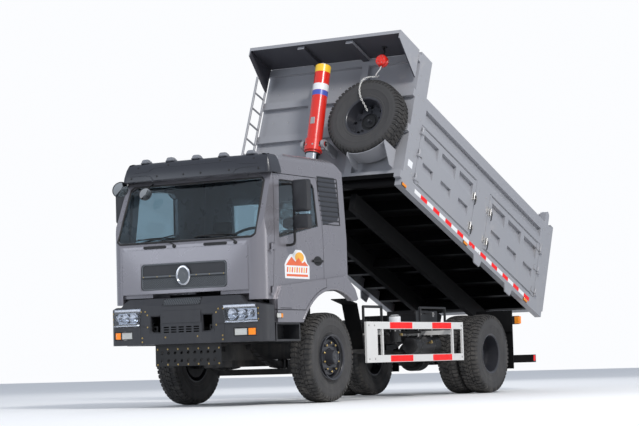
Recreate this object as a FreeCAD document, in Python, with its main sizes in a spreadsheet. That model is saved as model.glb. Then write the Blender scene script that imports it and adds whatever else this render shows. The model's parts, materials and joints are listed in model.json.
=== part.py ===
import FreeCAD, Part
import math
import os

import Sketcher

# Dump truck with a tilting bed and a tilting cab.
# Millimetres. The nose points along -Y, the driver's side is +X, up is +Z.
# The origin is on the ground, under the middle of the whole truck.

SIZES = [
    # Clearances
    ("seat_gap", 0.3),
    ("panel_gap", 8.0),
    ("overrun", 30.0),
    # Axles and tyres
    ("front_axle_y", -2470.0),
    ("wheelbase", 4100.0),
    ("tyre_radius", 525.0),
    ("tyre_width", 275.0),
    ("tyre_shoulder", 28.0),
    ("tyre_tread_inset", 36.0),
    ("bead_radius", 254.0),
    ("rim_width", 210.0),
    ("rim_wall", 11.0),
    ("front_track", 1875.0),
    ("twin_track", 1781.0),
    ("twin_spacing", 310.0),
    ("disc_wall", 12.0),
    ("disc_rise", 55.0),
    ("hub_radius", 95.0),
    ("hub_reach_front", 185.0),
    ("hub_reach_rear", 120.0),
    ("nut_circle_radius", 142.0),
    ("hand_hole_radius", 22.0),
    ("hand_hole_circle", 202.0),
    # Knuckles, axles and springs
    ("kingpin_x", 780.0),
    ("kingpin_radius", 18.0),
    ("fist_radius", 36.0),
    ("fist_height", 110.0),
    ("fork_wall", 38.0),
    ("fork_web", 18.0),
    ("drum_radius", 195.0),
    ("drum_width", 100.0),
    ("beam_top_z", 410.0),
    ("beam_height", 70.0),
    ("beam_width", 84.0),
    ("beam_drop_x", 490.0),
    ("axle_tube_radius", 68.0),
    ("banjo_radius", 208.0),
    ("banjo_width", 190.0),
    ("spring_x", 396.0),
    ("spring_width", 70.0),
    ("front_spring_span", 1440.0),
    ("front_spring_radius", 1500.0),
    ("leaf_wall", 14.0),
    ("rear_spring_x", 505.0),
    ("rear_spring_span", 1500.0),
    ("rear_spring_radius", 2300.0),
    ("eye_radius", 30.0),
    # Ladder frame
    ("frame_half_width", 430.0),
    ("frame_top_z", 940.0),
    ("frame_height", 240.0),
    ("frame_flange", 75.0),
    ("frame_wall", 10.0),
    ("frame_front", 1350.0),
    ("frame_overhang", 1230.0),
    ("crossmember_width", 90.0),
    ("tow_bore_radius", 20.0),
    # Power train
    ("engine_half_width", 320.0),
    ("engine_front", 950.0),
    ("engine_back", 350.0),
    ("engine_bottom_z", 520.0),
    ("engine_top_z", 1270.0),
    ("sump_depth", 80.0),
    ("gearbox_radius", 190.0),
    ("gearbox_length", 500.0),
    ("shaft_z", 740.0),
    ("shaft_radius", 45.0),
    ("radiator_half_width", 340.0),
    ("radiator_front", 1240.0),
    ("radiator_depth", 90.0),
    ("radiator_bottom_z", 620.0),
    ("radiator_top_z", 1285.0),
    # Front bumper and guard plate
    ("bumper_half_width", 1062.0),
    ("bumper_front", 1530.0),
    ("bumper_back", 1232.0),
    ("bumper_corner", 170.0),
    ("bumper_bow", 40.0),
    ("bumper_wall", 45.0),
    ("bumper_bottom_z", 722.0),
    ("bumper_edge_z", 1150.0),
    ("bumper_top_z", 1245.0),
    ("bumper_corner_z", 1160.0),
    ("bumper_top_lean", 62.0),
    ("tow_hole_x", 355.0),
    ("tow_hole_width", 150.0),
    ("tow_hole_low_z", 850.0),
    ("tow_hole_high_z", 1050.0),
    ("headlamp_inner_x", 590.0),
    ("headlamp_outer_x", 985.0),
    ("headlamp_low_z", 955.0),
    ("headlamp_high_z", 1105.0),
    ("foglamp_inner_x", 690.0),
    ("foglamp_outer_x", 970.0),
    ("foglamp_low_z", 785.0),
    ("foglamp_high_z", 880.0),
    ("lamp_depth", 40.0),
    ("guard_half_width", 450.0),
    ("guard_plate_wall", 8.0),
    ("guard_plate_bottom_z", 470.0),
    ("guard_plate_front", 1400.0),
    ("guard_hole_radius", 16.0),
    ("guard_hole_pitch", 90.0),
    # Side guards, tanks and boxes
    ("side_guard_x", 1200.0),
    ("side_guard_front", 620.0),
    ("side_guard_ahead", 900.0),
    ("side_guard_bottom_z", 447.0),
    ("side_guard_top_z", 938.0),
    ("side_guard_bar", 88.0),
    ("side_guard_wall", 28.0),
    ("side_guard_plate", 270.0),
    ("tank_radius", 112.0),
    ("tank_length", 660.0),
    ("tank_x", 790.0),
    ("tank_z", 655.0),
    ("battery_length", 600.0),
    ("battery_width", 420.0),
    ("battery_low_z", 870.0),
    ("battery_high_z", 1095.0),
    ("drier_radius", 70.0),
    ("drier_height", 330.0),
    ("fuel_length", 1050.0),
    ("fuel_width", 520.0),
    ("fuel_height", 470.0),
    ("fuel_corner", 80.0),
    ("silencer_radius", 135.0),
    ("silencer_length", 640.0),
    ("loop_radius", 17.0),
    ("loop_top_z", 1130.0),
    # Mudguards, rear bar and lamps
    ("mudguard_wall", 10.0),
    ("flap_behind", 690.0),
    ("flap_inner_x", 620.0),
    ("flap_outer_x", 1165.0),
    ("flap_low_z", 312.0),
    ("flap_high_z", 1110.0),
    ("rear_bar_behind", 1520.0),
    ("rear_bar_half_width", 1125.0),
    ("rear_bar_low_z", 390.0),
    ("rear_bar_height", 108.0),
    ("rear_bar_depth", 80.0),
    # Cab
    ("cab_half_width", 1030.0),
    ("cab_front", 1475.0),
    ("cab_back", 500.0),
    ("cab_wall", 45.0),
    ("cab_sill_z", 930.0),
    ("cab_sill_front", 1165.0),
    ("cab_corner_z", 1190.0),
    ("cab_cowl_z", 1850.0),
    ("cab_cowl_lean", 35.0),
    ("screen_top_z", 2610.0),
    ("screen_lean", 355.0),
    ("brow_z", 2765.0),
    ("brow_lean", 480.0),
    ("roof_z", 2872.0),
    ("roof_front_lean", 760.0),
    ("roof_back_lean", 230.0),
    ("roof_rear_z", 2725.0),
    ("back_bottom_z", 1315.0),
    ("waist_z", 1900.0),
    ("side_lean", 45.0),
    ("roof_corner", 110.0),
    ("nose_flat_half_width", 865.0),
    ("nose_bow", 36.0),
    ("firewall", 115.0),
    ("arch_centre_back", 101.5),
    ("arch_centre_z", 477.0),
    ("arch_radius", 835.0),
    ("tunnel_half_width", 465.0),
    ("tunnel_z", 1400.0),
    ("lid_bottom_z", 1300.0),
    ("lid_top_z", 1812.0),
    ("lid_wall", 42.0),
    ("grille_half_width", 590.0),
    ("grille_low_z", 1342.0),
    ("grille_high_z", 1645.0),
    ("grille_corner", 45.0),
    ("screen_low_z", 1905.0),
    ("screen_high_z", 2560.0),
    ("screen_low_half_width", 945.0),
    ("screen_high_half_width", 915.0),
    ("screen_corner", 70.0),
    ("glass_wall", 6.0),
    ("glass_set_in", 8.0),
    ("rear_window_half_width", 560.0),
    ("rear_window_low_z", 1980.0),
    ("rear_window_high_z", 2430.0),
    ("flare_reach", 32.0),
    ("flare_back", 690.0),
    ("cab_pivot_front", 1420.0),
    ("cab_pivot_z", 1000.0),
    ("cab_lug_x", 525.0),
    ("cab_lug_width", 36.0),
    ("cab_pin_radius", 20.0),
    ("cab_lug_radius", 38.0),
    ("cab_rest_back", 360.0),
    ("cab_swing_radius", 260.0),
    ("louvre_back", 370.0),
    ("louvre_post", 20.0),
    ("ridge_top_z", 1484.0),
    ("ridge_bend_z", 1325.0),
    ("ridge_back_z", 1212.0),
    ("wiper_length", 560.0),
    ("visor_wall", 14.0),
    ("visor_reach", 120.0),
    ("visor_low_z", 2625.0),
    ("visor_high_z", 2830.0),
    ("visor_half_width", 960.0),
    ("marker_radius", 26.0),
    # Doors
    ("door_wall", 72.0),
    ("hinge_radius", 15.0),
    ("hinge_pin_radius", 7.0),
    ("hinge_height", 70.0),
    ("door_front_low", 1205.0),
    ("door_front_high", 1070.0),
    ("door_back", 60.0),
    ("door_bottom_z", 1075.0),
    ("door_top_z", 2620.0),
    ("door_arch_clearance", 45.0),
    ("door_hinge_front", 1222.0),
    ("door_hinge_x", 1042.0),
    ("window_frame", 62.0),
    ("window_low_front_z", 1885.0),
    ("window_low_back_z", 2050.0),
    ("window_back", 150.0),
    ("window_high_z", 2560.0),
    ("mirror_x", 1235.0),
    ("mirror_front", 920.0),
    ("mirror_width", 190.0),
    ("mirror_depth", 90.0),
    ("mirror_low_z", 2240.0),
    ("mirror_high_z", 2520.0),
    ("small_mirror_low_z", 1995.0),
    ("small_mirror_high_z", 2145.0),
    ("mirror_arm_radius", 17.0),
    # Steps
    ("step_front", 1150.0),
    ("step_back", 625.0),
    ("step_low_z", 718.0),
    ("step_inner_x", 800.0),
    ("step_outer_x", 1028.0),
    ("step_wall", 22.0),
    # Inside the cab
    ("seat_x", 500.0),
    ("seat_width", 480.0),
    ("seat_depth", 470.0),
    ("seat_cushion_z", 1600.0),
    ("seat_cushion_wall", 130.0),
    ("seat_back_height", 620.0),
    ("seat_back_wall", 130.0),
    ("seat_front", 480.0),
    ("dash_depth", 300.0),
    ("dash_low_z", 1620.0),
    ("dash_top_z", 1880.0),
    ("wheel_ring_radius", 225.0),
    ("wheel_ring_wire", 16.0),
    # Bed: lengths are from the rear pivot, heights above it, with the bed down
    ("bed_pivot_behind", 1313.0),
    ("bed_pivot_z", 966.0),
    ("bed_half_width", 1134.0),
    ("bed_front", 4050.0),
    ("bed_wall", 90.0),
    ("bed_front_wall", 50.0),
    ("bed_beam_x", 380.0),
    ("bed_beam_width", 78.0),
    ("bed_beam_bottom", -20.0),
    ("bed_rail_bottom", 200.0),
    ("bed_rail_top", 372.0),
    ("bed_floor_wall", 12.0),
    ("bed_floor_z", 340.0),
    ("bed_cross_pitch", 478.0),
    ("bed_cross_width", 60.0),
    ("bed_door_top", 1190.0),
    ("bed_top", 1570.0),
    ("bed_front_top", 2090.0),
    ("front_column_back", 3750.0),
    ("middle_post_front", 2085.0),
    ("middle_post_back", 1665.0),
    ("rear_column_front", 35.0),
    ("rear_column_back", 350.0),
    ("bed_door_wall", 62.0),
    ("bay_border", 90.0),
    ("bay_column", 110.0),
    ("bay_depth", 48.0),
    ("bay_drop", 190.0),
    ("rail_step_z", 1420.0),
    ("rail_step_depth", 55.0),
    ("gusset_front", 1900.0),
    ("gusset_rear", 900.0),
    ("gusset_length", 260.0),
    ("gusset_low", 95.0),
    ("bed_hinge_reach", 18.0),
    ("bed_pin_radius", 25.0),
    ("bed_ear_radius", 50.0),
    ("wall_rib_x", 360.0),
    ("wall_rib_width", 100.0),
    ("wall_rib_depth", 55.0),
    ("wall_rib_low", 940.0),
    ("wall_rib_high", 1440.0),
    ("wall_rib_top", 1940.0),
    ("canopy_reach", 590.0),
    ("canopy_wall", 46.0),
    ("cheek_wall", 16.0),
    ("tailgate_wall", 95.0),
    ("tailgate_low", 330.0),
    ("tailgate_top", 1640.0),
    ("tailgate_half_width", 1100.0),
    ("tailgate_pin_back", 150.0),
    ("tailgate_pin_z", 1690.0),
    ("tailgate_pin_radius", 20.0),
    ("tailgate_arm_wall", 30.0),
    ("ladder_low", 560.0),
    ("ladder_tube", 16.0),
    ("ladder_width", 235.0),
    # Spare wheel
    ("spare_x", 632.0),
    ("spare_z", 1045.0),
    ("spare_set_off", 80.0),
    # Lifting cylinder
    ("lift_x", -40.0),
    ("lift_forward", 4370.0),
    ("lift_z", 700.0),
    ("lift_foot_back", 1000.0),
    ("lift_foot_z", 1100.0),
    ("cover_radius", 100.0),
    ("cover_wall", 10.0),
    ("cover_above", 1080.0),
    ("cover_below", 120.0),
    ("collar_radius", 118.0),
    ("collar_height", 150.0),
    ("trunnion_radius", 32.0),
    ("trunnion_reach", 175.0),
    ("sleeve_wall", 9.0),
    ("sleeve_gap", 1.0),
    ("sleeve_length", 1290.0),
    ("rod_radius", 59.0),
    ("foot_eye_radius", 60.0),
    ("foot_eye_width", 90.0),
    ("foot_cheek_wall", 25.0),
]

# Angles in degrees
BED_REST_TILT = 21.74
STEERING_WHEEL_TILT = 35.0

doc = FreeCAD.newDocument("dump_truck")
sheet = doc.addObject("Spreadsheet::Sheet", "Sizes")
for row, (name, value) in enumerate(SIZES, start=1):
    sheet.set("A%d" % row, name)
    sheet.set("B%d" % row, repr(value))
    sheet.setAlias("B%d" % row, name)
doc.recompute()


class Size:
    """A length, with the sheet expression that gives it."""

    def __init__(self, value, text):
        self.value = float(value)
        self.text = text

    def __add__(self, other):
        other = as_size(other)
        return Size(self.value + other.value, "(%s + %s)" % (self.text, other.text))

    def __radd__(self, other):
        return as_size(other) + self

    def __sub__(self, other):
        other = as_size(other)
        return Size(self.value - other.value, "(%s - %s)" % (self.text, other.text))

    def __rsub__(self, other):
        return as_size(other) - self

    def __mul__(self, other):
        other = as_size(other)
        return Size(self.value * other.value, "(%s * %s)" % (self.text, other.text))

    def __rmul__(self, other):
        return as_size(other) * self

    def __truediv__(self, other):
        other = as_size(other)
        return Size(self.value / other.value, "(%s / %s)" % (self.text, other.text))

    def __neg__(self):
        return Size(-self.value, "(-1 * %s)" % self.text)


class Dimensions:
    """The sheet's sizes by name."""


def as_size(number):
    return number if isinstance(number, Size) else Size(number, repr(float(number)))


d = Dimensions()
for name, value in SIZES:
    setattr(d, name, Size(getattr(sheet, name), "Sizes." + name))

ZERO = as_size(0)
UP = FreeCAD.Vector(0, 0, 1)
NO_TURN = FreeCAD.Rotation(0, 0, 0)
ALONG_X = FreeCAD.Rotation(FreeCAD.Vector(0, 1, 0), 90)
ALONG_Y = FreeCAD.Rotation(FreeCAD.Vector(1, 0, 0), -90)
SIDE_VIEW = FreeCAD.Rotation(0.5, 0.5, 0.5, 0.5)
FRONT_VIEW = FreeCAD.Rotation(FreeCAD.Vector(1, 0, 0), 90)


def vector(x, y, z):
    return FreeCAD.Vector(as_size(x).value, as_size(y).value, as_size(z).value)


def bind(thing, setting, size):
    """Tie one setting of a thing to the sheet."""
    size = as_size(size)
    if "Sizes" in size.text:
        thing.setExpression(setting, size.text)


def put(thing, x, y, z, turn=NO_TURN):
    """Place a thing, with its place tied to the sheet."""
    thing.Placement = FreeCAD.Placement(vector(x, y, z), turn)
    bind(thing, "Placement.Base.x", x)
    bind(thing, "Placement.Base.y", y)
    bind(thing, "Placement.Base.z", z)
    return thing


def block(x0, x1, y0, y1, z0, z1):
    """A box between two corners."""
    thing = doc.addObject("Part::Box", "Block")
    for setting, low, high in (("Length", x0, x1), ("Width", y0, y1), ("Height", z0, z1)):
        span = as_size(high) - low
        setattr(thing, setting, span.value)
        bind(thing, setting, span)
    return put(thing, x0, y0, z0)


def wide_block(half_width, y0, y1, z0, z1):
    """A box across the middle plane."""
    return block(-half_width, half_width, y0, y1, z0, z1)


def round_bar(x, y, z, radius, length, turn=NO_TURN):
    """A cylinder that starts at a point and runs up, or along X or Y."""
    thing = doc.addObject("Part::Cylinder", "RoundBar")
    thing.Radius = as_size(radius).value
    thing.Height = as_size(length).value
    bind(thing, "Radius", radius)
    bind(thing, "Height", length)
    return put(thing, x, y, z, turn)


def tapered_bar(x, y, z, radius0, radius1, length, turn=NO_TURN):
    thing = doc.addObject("Part::Cone", "TaperedBar")
    thing.Radius1 = as_size(radius0).value
    thing.Radius2 = as_size(radius1).value
    thing.Height = as_size(length).value
    bind(thing, "Radius1", radius0)
    bind(thing, "Radius2", radius1)
    bind(thing, "Height", length)
    return put(thing, x, y, z, turn)


def arc_centre(start, end, radius):
    """Centre of the short arc from start to end; a negative radius bends the other way."""
    run = end - start
    rise = math.sqrt(max(radius * radius - run.Length ** 2 / 4, 0))
    left = FreeCAD.Vector(-run.y, run.x, 0) / run.Length
    return (start + end) * 0.5 + left * (rise if radius > 0 else -rise)


def draw_edge(drawing, corner, following):
    """Draw from one corner to the next; returns the edge and its start and end vertex."""
    start = vector(corner[0], corner[1], 0)
    end = vector(following[0], following[1], 0)
    if len(corner) == 2:
        return drawing.addGeometry(Part.LineSegment(start, end)), 1, 2
    bend = as_size(corner[2])
    centre = arc_centre(start, end, bend.value)
    angles = [math.atan2(point.y - centre.y, point.x - centre.x) for point in (start, end)]
    if bend.value < 0:
        angles.reverse()
    if angles[1] < angles[0]:
        angles[1] += 2 * math.pi
    circle = Part.Circle(centre, UP, abs(bend.value))
    edge = drawing.addGeometry(Part.ArcOfCircle(circle, angles[0], angles[1]))
    rule = drawing.addConstraint(Sketcher.Constraint("Radius", edge, abs(bend.value)))
    bind(drawing, "Constraints[%d]" % rule, bend if bend.value > 0 else -bend)
    return (edge, 1, 2) if bend.value > 0 else (edge, 2, 1)


def outline(*loops):
    """A constrained drawing; each corner is (u, v), or (u, v, bend) where an arc starts."""
    drawing = doc.addObject("Sketcher::SketchObject", "Outline")
    for loop in loops:
        edges = []
        for corner, following in zip(loop, loop[1:] + loop[:1]):
            edges.append(draw_edge(drawing, corner, following))
        for index, (edge, start, end) in enumerate(edges):
            next_edge, next_start, _ = edges[(index + 1) % len(edges)]
            drawing.addConstraint(Sketcher.Constraint("Coincident", edge, end, next_edge, next_start))
            for kind, place in (("DistanceX", loop[index][0]), ("DistanceY", loop[index][1])):
                place = as_size(place)
                rule = drawing.addConstraint(Sketcher.Constraint(kind, -1, 1, edge, start, place.value))
                bind(drawing, "Constraints[%d]" % rule, place)
    return drawing


def extrude(drawing, length, both_ways=False):
    thing = doc.addObject("Part::Extrusion", "Extrusion")
    thing.Base = drawing
    thing.DirMode = "Normal"
    thing.Solid = True
    thing.Symmetric = both_ways
    thing.LengthFwd = as_size(length).value
    bind(thing, "LengthFwd", length)
    return thing


def side_plate(x0, x1, *loops):
    """A flat shape drawn in (y, z), from x0 to x1."""
    return extrude(put(outline(*loops), x0, 0, 0, SIDE_VIEW), as_size(x1) - x0)


def front_plate(y0, y1, *loops):
    """A flat shape drawn in (x, z), from y0 back to y1."""
    return extrude(put(outline(*loops), 0, y1, 0, FRONT_VIEW), as_size(y1) - y0)


def flat_plate(z0, z1, *loops):
    """A flat shape drawn in (x, y), from z0 up to z1."""
    return extrude(put(outline(*loops), 0, 0, z0), as_size(z1) - z0)


def spin_about_x(loop):
    """Revolve a loop drawn as (x, radius) about the X axis."""
    thing = doc.addObject("Part::Revolution", "Revolution")
    thing.Source = outline(loop)
    thing.Axis = FreeCAD.Vector(1, 0, 0)
    thing.Base = FreeCAD.Vector(0, 0, 0)
    thing.Angle = 360
    thing.Solid = True
    return thing


def fuse(*things):
    if len(things) == 1:
        return things[0]
    thing = doc.addObject("Part::MultiFuse", "Fusion")
    thing.Shapes = list(things)
    thing.Refine = True
    return thing


def cut(base, *tools):
    thing = doc.addObject("Part::Cut", "Cut")
    thing.Base = base
    thing.Tool = fuse(*tools)
    return thing


def common(*things):
    thing = doc.addObject("Part::MultiCommon", "Common")
    thing.Shapes = list(things)
    return thing


def group(*things):
    """Separate solids that share one node."""
    thing = doc.addObject("Part::Compound", "Group")
    thing.Links = list(things)
    return thing


def mirrored(thing):
    """The same thing on the other side of the truck."""
    twin = doc.addObject("Part::Mirroring", "Mirror")
    twin.Source = thing
    twin.Normal = FreeCAD.Vector(1, 0, 0)
    twin.Base = FreeCAD.Vector(0, 0, 0)
    return twin


def both_sides(thing):
    return [thing, mirrored(thing)]


def moved(thing, x, y, z, turn=NO_TURN):
    """A thing carried to another place."""
    carrier = doc.addObject("Part::Compound", "Placed")
    carrier.Links = [thing]
    return put(carrier, x, y, z, turn)


NODES = []


def node(label, thing):
    thing.Label = label
    NODES.append(thing)
    return thing


FRONT_Y = d.front_axle_y
REAR_Y = d.front_axle_y + d.wheelbase
# Behind the front axle: the side guards' and frame's ends, the bed's pivot, the mud flaps and the rear bar
GUARD_BACK = d.wheelbase - d.side_guard_ahead
TANK_FRONT = d.side_guard_front + d.side_guard_plate + d.fuel_corner * 2.6
FRAME_BACK = d.wheelbase + d.frame_overhang
PIVOT_BACK = d.wheelbase + d.bed_pivot_behind
FLAP_BACK = d.wheelbase + d.flap_behind
REAR_BAR_BACK = d.wheelbase + d.rear_bar_behind
AXLE_Z = d.tyre_radius


# Wheels

def tyre(x, y, z):
    """A plain tyre about the X axis; the tread blocks are not modelled."""
    half = d.tyre_width / 2
    bead = d.rim_width / 2
    tread = half - d.tyre_tread_inset
    waist_radius = (d.bead_radius + d.tyre_radius) / 2
    shoulder = d.tyre_radius - d.tyre_shoulder
    profile = [(-bead, d.bead_radius), (bead, d.bead_radius), (half, waist_radius),
               (half - d.tyre_shoulder / 2, shoulder), (tread, d.tyre_radius), (-tread, d.tyre_radius),
               (d.tyre_shoulder / 2 - half, shoulder), (-half, waist_radius)]
    return moved(spin_about_x(profile), x, y, z)


def hand_holes(x, length):
    """Openings round a disc, about the X axis."""
    holes = []
    count = 8
    for index in range(count):
        angle = 2 * math.pi * index / count
        hole = round_bar(x, d.hand_hole_circle * math.cos(angle), d.hand_hole_circle * math.sin(angle),
                         d.hand_hole_radius, length, ALONG_X)
        holes.append(hole)
    return holes


def front_rim(side, x, y, z):
    """Front wheel with its hub; side is 1 on the left and -1 on the right."""
    seat = d.bead_radius - d.seat_gap
    inside = seat - d.rim_wall
    half = d.rim_width / 2
    hub = d.hub_radius
    face = d.disc_rise + d.disc_wall
    profile = [(-half, seat), (half, seat), (half, inside), (d.disc_rise / 2, inside - d.rim_wall),
               (face, d.nut_circle_radius + d.hand_hole_radius), (face, hub + d.disc_wall),
               (face + d.disc_wall * 2, hub), (d.hub_reach_front, hub * 0.8), (d.hub_reach_front, ZERO),
               (d.disc_wall * 2, ZERO), (d.disc_wall * 2, hub), (d.disc_rise, hub + d.disc_wall),
               (d.disc_rise, d.nut_circle_radius + d.hand_hole_radius), (ZERO, inside - d.rim_wall * 2),
               (-half, inside)]
    profile = [(u * side, v) for u, v in profile]
    solid = cut(spin_about_x(profile), *hand_holes(-d.rim_width, d.rim_width * 2))
    return moved(solid, x, y, z)


def twin_rims(side, x, y, z):
    """Two rims bolted disc to disc, with the hub on the outside."""
    seat = d.bead_radius - d.seat_gap
    inside = seat - d.rim_wall
    near = (d.twin_spacing - d.rim_width) / 2
    far = near + d.rim_width
    wall = d.disc_wall
    drum = d.drum_radius
    outer = [(near, seat), (far, seat), (far, inside), (near + d.disc_rise, inside - d.rim_wall),
             (wall, drum + wall), (wall, d.nut_circle_radius + d.hand_hole_radius),
             (wall * 2, d.nut_circle_radius), (wall * 3, d.hub_radius),
             (d.hub_reach_rear, d.hub_radius * 0.8),
             (d.hub_reach_rear, ZERO), (ZERO, ZERO), (ZERO, drum + wall * 2)]
    inner = [(-near, seat), (-far, seat), (-far, inside), (-near - d.disc_rise, inside - d.rim_wall),
             (-wall, drum + wall), (-wall, ZERO), (ZERO, ZERO), (ZERO, drum + wall * 2)]
    halves = [spin_about_x([(u * side, v) for u, v in loop]) for loop in (outer, inner)]
    solid = cut(fuse(*halves), *hand_holes(-d.rim_width, d.rim_width * 2))
    return moved(solid, x, y, z)


def build_wheels():
    for word, side in (("left", 1), ("right", -1)):
        front_x = d.front_track / 2 * side
        twin_x = d.twin_track / 2 * side
        node("tyre_front_" + word, tyre(front_x, FRONT_Y, AXLE_Z))
        node("rim_front_" + word, front_rim(side, front_x, FRONT_Y, AXLE_Z))
        offsets = (-d.twin_spacing / 2, d.twin_spacing / 2)
        twins = [tyre(twin_x + offset, REAR_Y, AXLE_Z) for offset in offsets]
        node("tyres_rear_" + word, group(*twins))
        node("rims_rear_" + word, twin_rims(side, twin_x, REAR_Y, AXLE_Z))


# Steering knuckles, axles and springs

def knuckle(side):
    """Fork round the axle's fist, kingpin, brake drum and stub axle."""
    boss = d.fist_radius + d.fork_wall / 4
    top = AXLE_Z + d.fist_height / 2 + d.seat_gap
    low = AXLE_Z - d.fist_height / 2 - d.seat_gap
    web_x = d.kingpin_x + boss
    drum_x = web_x + d.fork_web
    stub_end = d.front_track / 2 + d.disc_wall * 2 - d.seat_gap
    drum_end = stub_end - d.disc_wall * 2
    upper = fuse(round_bar(d.kingpin_x, FRONT_Y, top, d.fist_radius, d.fork_wall),
                 block(d.kingpin_x, drum_x, FRONT_Y - d.fist_radius, FRONT_Y + d.fist_radius,
                       top, top + d.fork_wall))
    lower = fuse(round_bar(d.kingpin_x, FRONT_Y, low - d.fork_wall, d.fist_radius, d.fork_wall),
                 block(d.kingpin_x, drum_x, FRONT_Y - d.fist_radius, FRONT_Y + d.fist_radius,
                       low - d.fork_wall, low))
    web = block(web_x, drum_x, FRONT_Y - d.fist_radius, FRONT_Y + d.fist_radius,
                low - d.fork_wall, top + d.fork_wall)
    pin = round_bar(d.kingpin_x, FRONT_Y, low - d.fork_wall, d.kingpin_radius, top - low + d.fork_wall * 2)
    drum = round_bar(drum_x, FRONT_Y, AXLE_Z, d.drum_radius, drum_end - drum_x, ALONG_X)
    stub = round_bar(drum_end, FRONT_Y, AXLE_Z, d.hub_radius * 0.6, stub_end - drum_end, ALONG_X)
    arm = block(d.kingpin_x - d.fist_radius, d.kingpin_x + d.fist_radius / 2, FRONT_Y,
                FRONT_Y + d.drum_radius,
                low - d.fork_wall, low - d.fork_wall / 2)
    solid = fuse(upper, lower, web, pin, drum, stub, arm)
    return solid if side > 0 else mirrored(solid)


def front_axle():
    """Dropped beam with a fist at each end, bored for the kingpins."""
    top = d.beam_top_z
    bottom = top - d.beam_height
    rise = d.beam_drop_x + (d.kingpin_x - d.beam_drop_x) * 0.7
    high = AXLE_Z + d.beam_height / 2
    end = d.kingpin_x
    loop = [(-end, high), (-rise, high), (-d.beam_drop_x, top), (d.beam_drop_x, top), (rise, high),
            (end, high),
            (end, high - d.beam_height), (rise, high - d.beam_height), (d.beam_drop_x, bottom),
            (-d.beam_drop_x, bottom), (-rise, high - d.beam_height), (-end, high - d.beam_height)]
    beam = front_plate(FRONT_Y - d.beam_width / 2, FRONT_Y + d.beam_width / 2, loop)
    recess = d.beam_height / 5
    channels = []
    for near, far in ((-1, -0.7), (0.7, 1)):
        channels.append(front_plate(FRONT_Y + d.beam_width / 2 * near, FRONT_Y + d.beam_width / 2 * far,
                                    [(-d.beam_drop_x, bottom + recess), (d.beam_drop_x, bottom + recess),
                                     (d.beam_drop_x, top - recess), (-d.beam_drop_x, top - recess)]))
    fists = both_sides(round_bar(d.kingpin_x, FRONT_Y, AXLE_Z - d.fist_height / 2, d.fist_radius,
                                 d.fist_height))
    bores = both_sides(round_bar(d.kingpin_x, FRONT_Y, AXLE_Z - d.fist_height,
                                 d.kingpin_radius + d.seat_gap, d.fist_height * 2))
    return cut(fuse(cut(beam, *channels), *fists), *bores)


def rear_axle():
    """Banjo housing, tubes and brake drums."""
    tube_end = d.twin_track / 2 - d.disc_wall - d.seat_gap
    drum_start = tube_end - d.drum_width * 1.4
    tube = round_bar(-tube_end, REAR_Y, AXLE_Z, d.axle_tube_radius, tube_end * 2, ALONG_X)
    banjo = round_bar(0, REAR_Y - d.banjo_width / 2, AXLE_Z, d.banjo_radius, d.banjo_width, ALONG_Y)
    shoulders = both_sides(tapered_bar(0, REAR_Y, AXLE_Z, d.banjo_radius * 0.75, d.axle_tube_radius,
                                       d.banjo_radius * 1.8, ALONG_X))
    nose = tapered_bar(0, REAR_Y - d.banjo_width / 2 - d.banjo_radius, AXLE_Z, d.shaft_radius * 1.5,
                       d.banjo_radius * 0.8, d.banjo_radius, ALONG_Y)
    cover = tapered_bar(0, REAR_Y + d.banjo_width / 2, AXLE_Z, d.banjo_radius * 0.9, d.banjo_radius * 0.5,
                        d.banjo_radius * 0.4, ALONG_Y)
    drums = both_sides(round_bar(drum_start, REAR_Y, AXLE_Z, d.drum_radius, tube_end - drum_start, ALONG_X))
    return fuse(tube, banjo, nose, cover, *shoulders, *drums)


def leaf_pack(x, y, bottom_z, width, span, radius, leaves, eye_rise):
    """Curved leaves under each other, longest on top, with rolled eyes."""
    strips = []
    centre_z = bottom_z + d.leaf_wall * leaves + radius
    for index in range(leaves):
        half = span / 2 * (1 - 0.13 * index)
        upper = radius + d.leaf_wall * index
        lower = upper + d.leaf_wall
        upper_z, lower_z = [centre_z - bend * math.sqrt(1 - (half.value / bend.value) ** 2)
                            for bend in (upper, lower)]
        strips.append(side_plate(x - width / 2, x + width / 2,
                                 [(y - half, lower_z, lower), (y + half, lower_z),
                                  (y + half, upper_z, -upper),
                                  (y - half, upper_z)]))
    eyes = []
    for end in (-span / 2, span / 2):
        eyes.append(round_bar(x - width / 2, y + end, bottom_z + eye_rise, d.eye_radius, width, ALONG_X))
    return fuse(*strips, *eyes)


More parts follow.
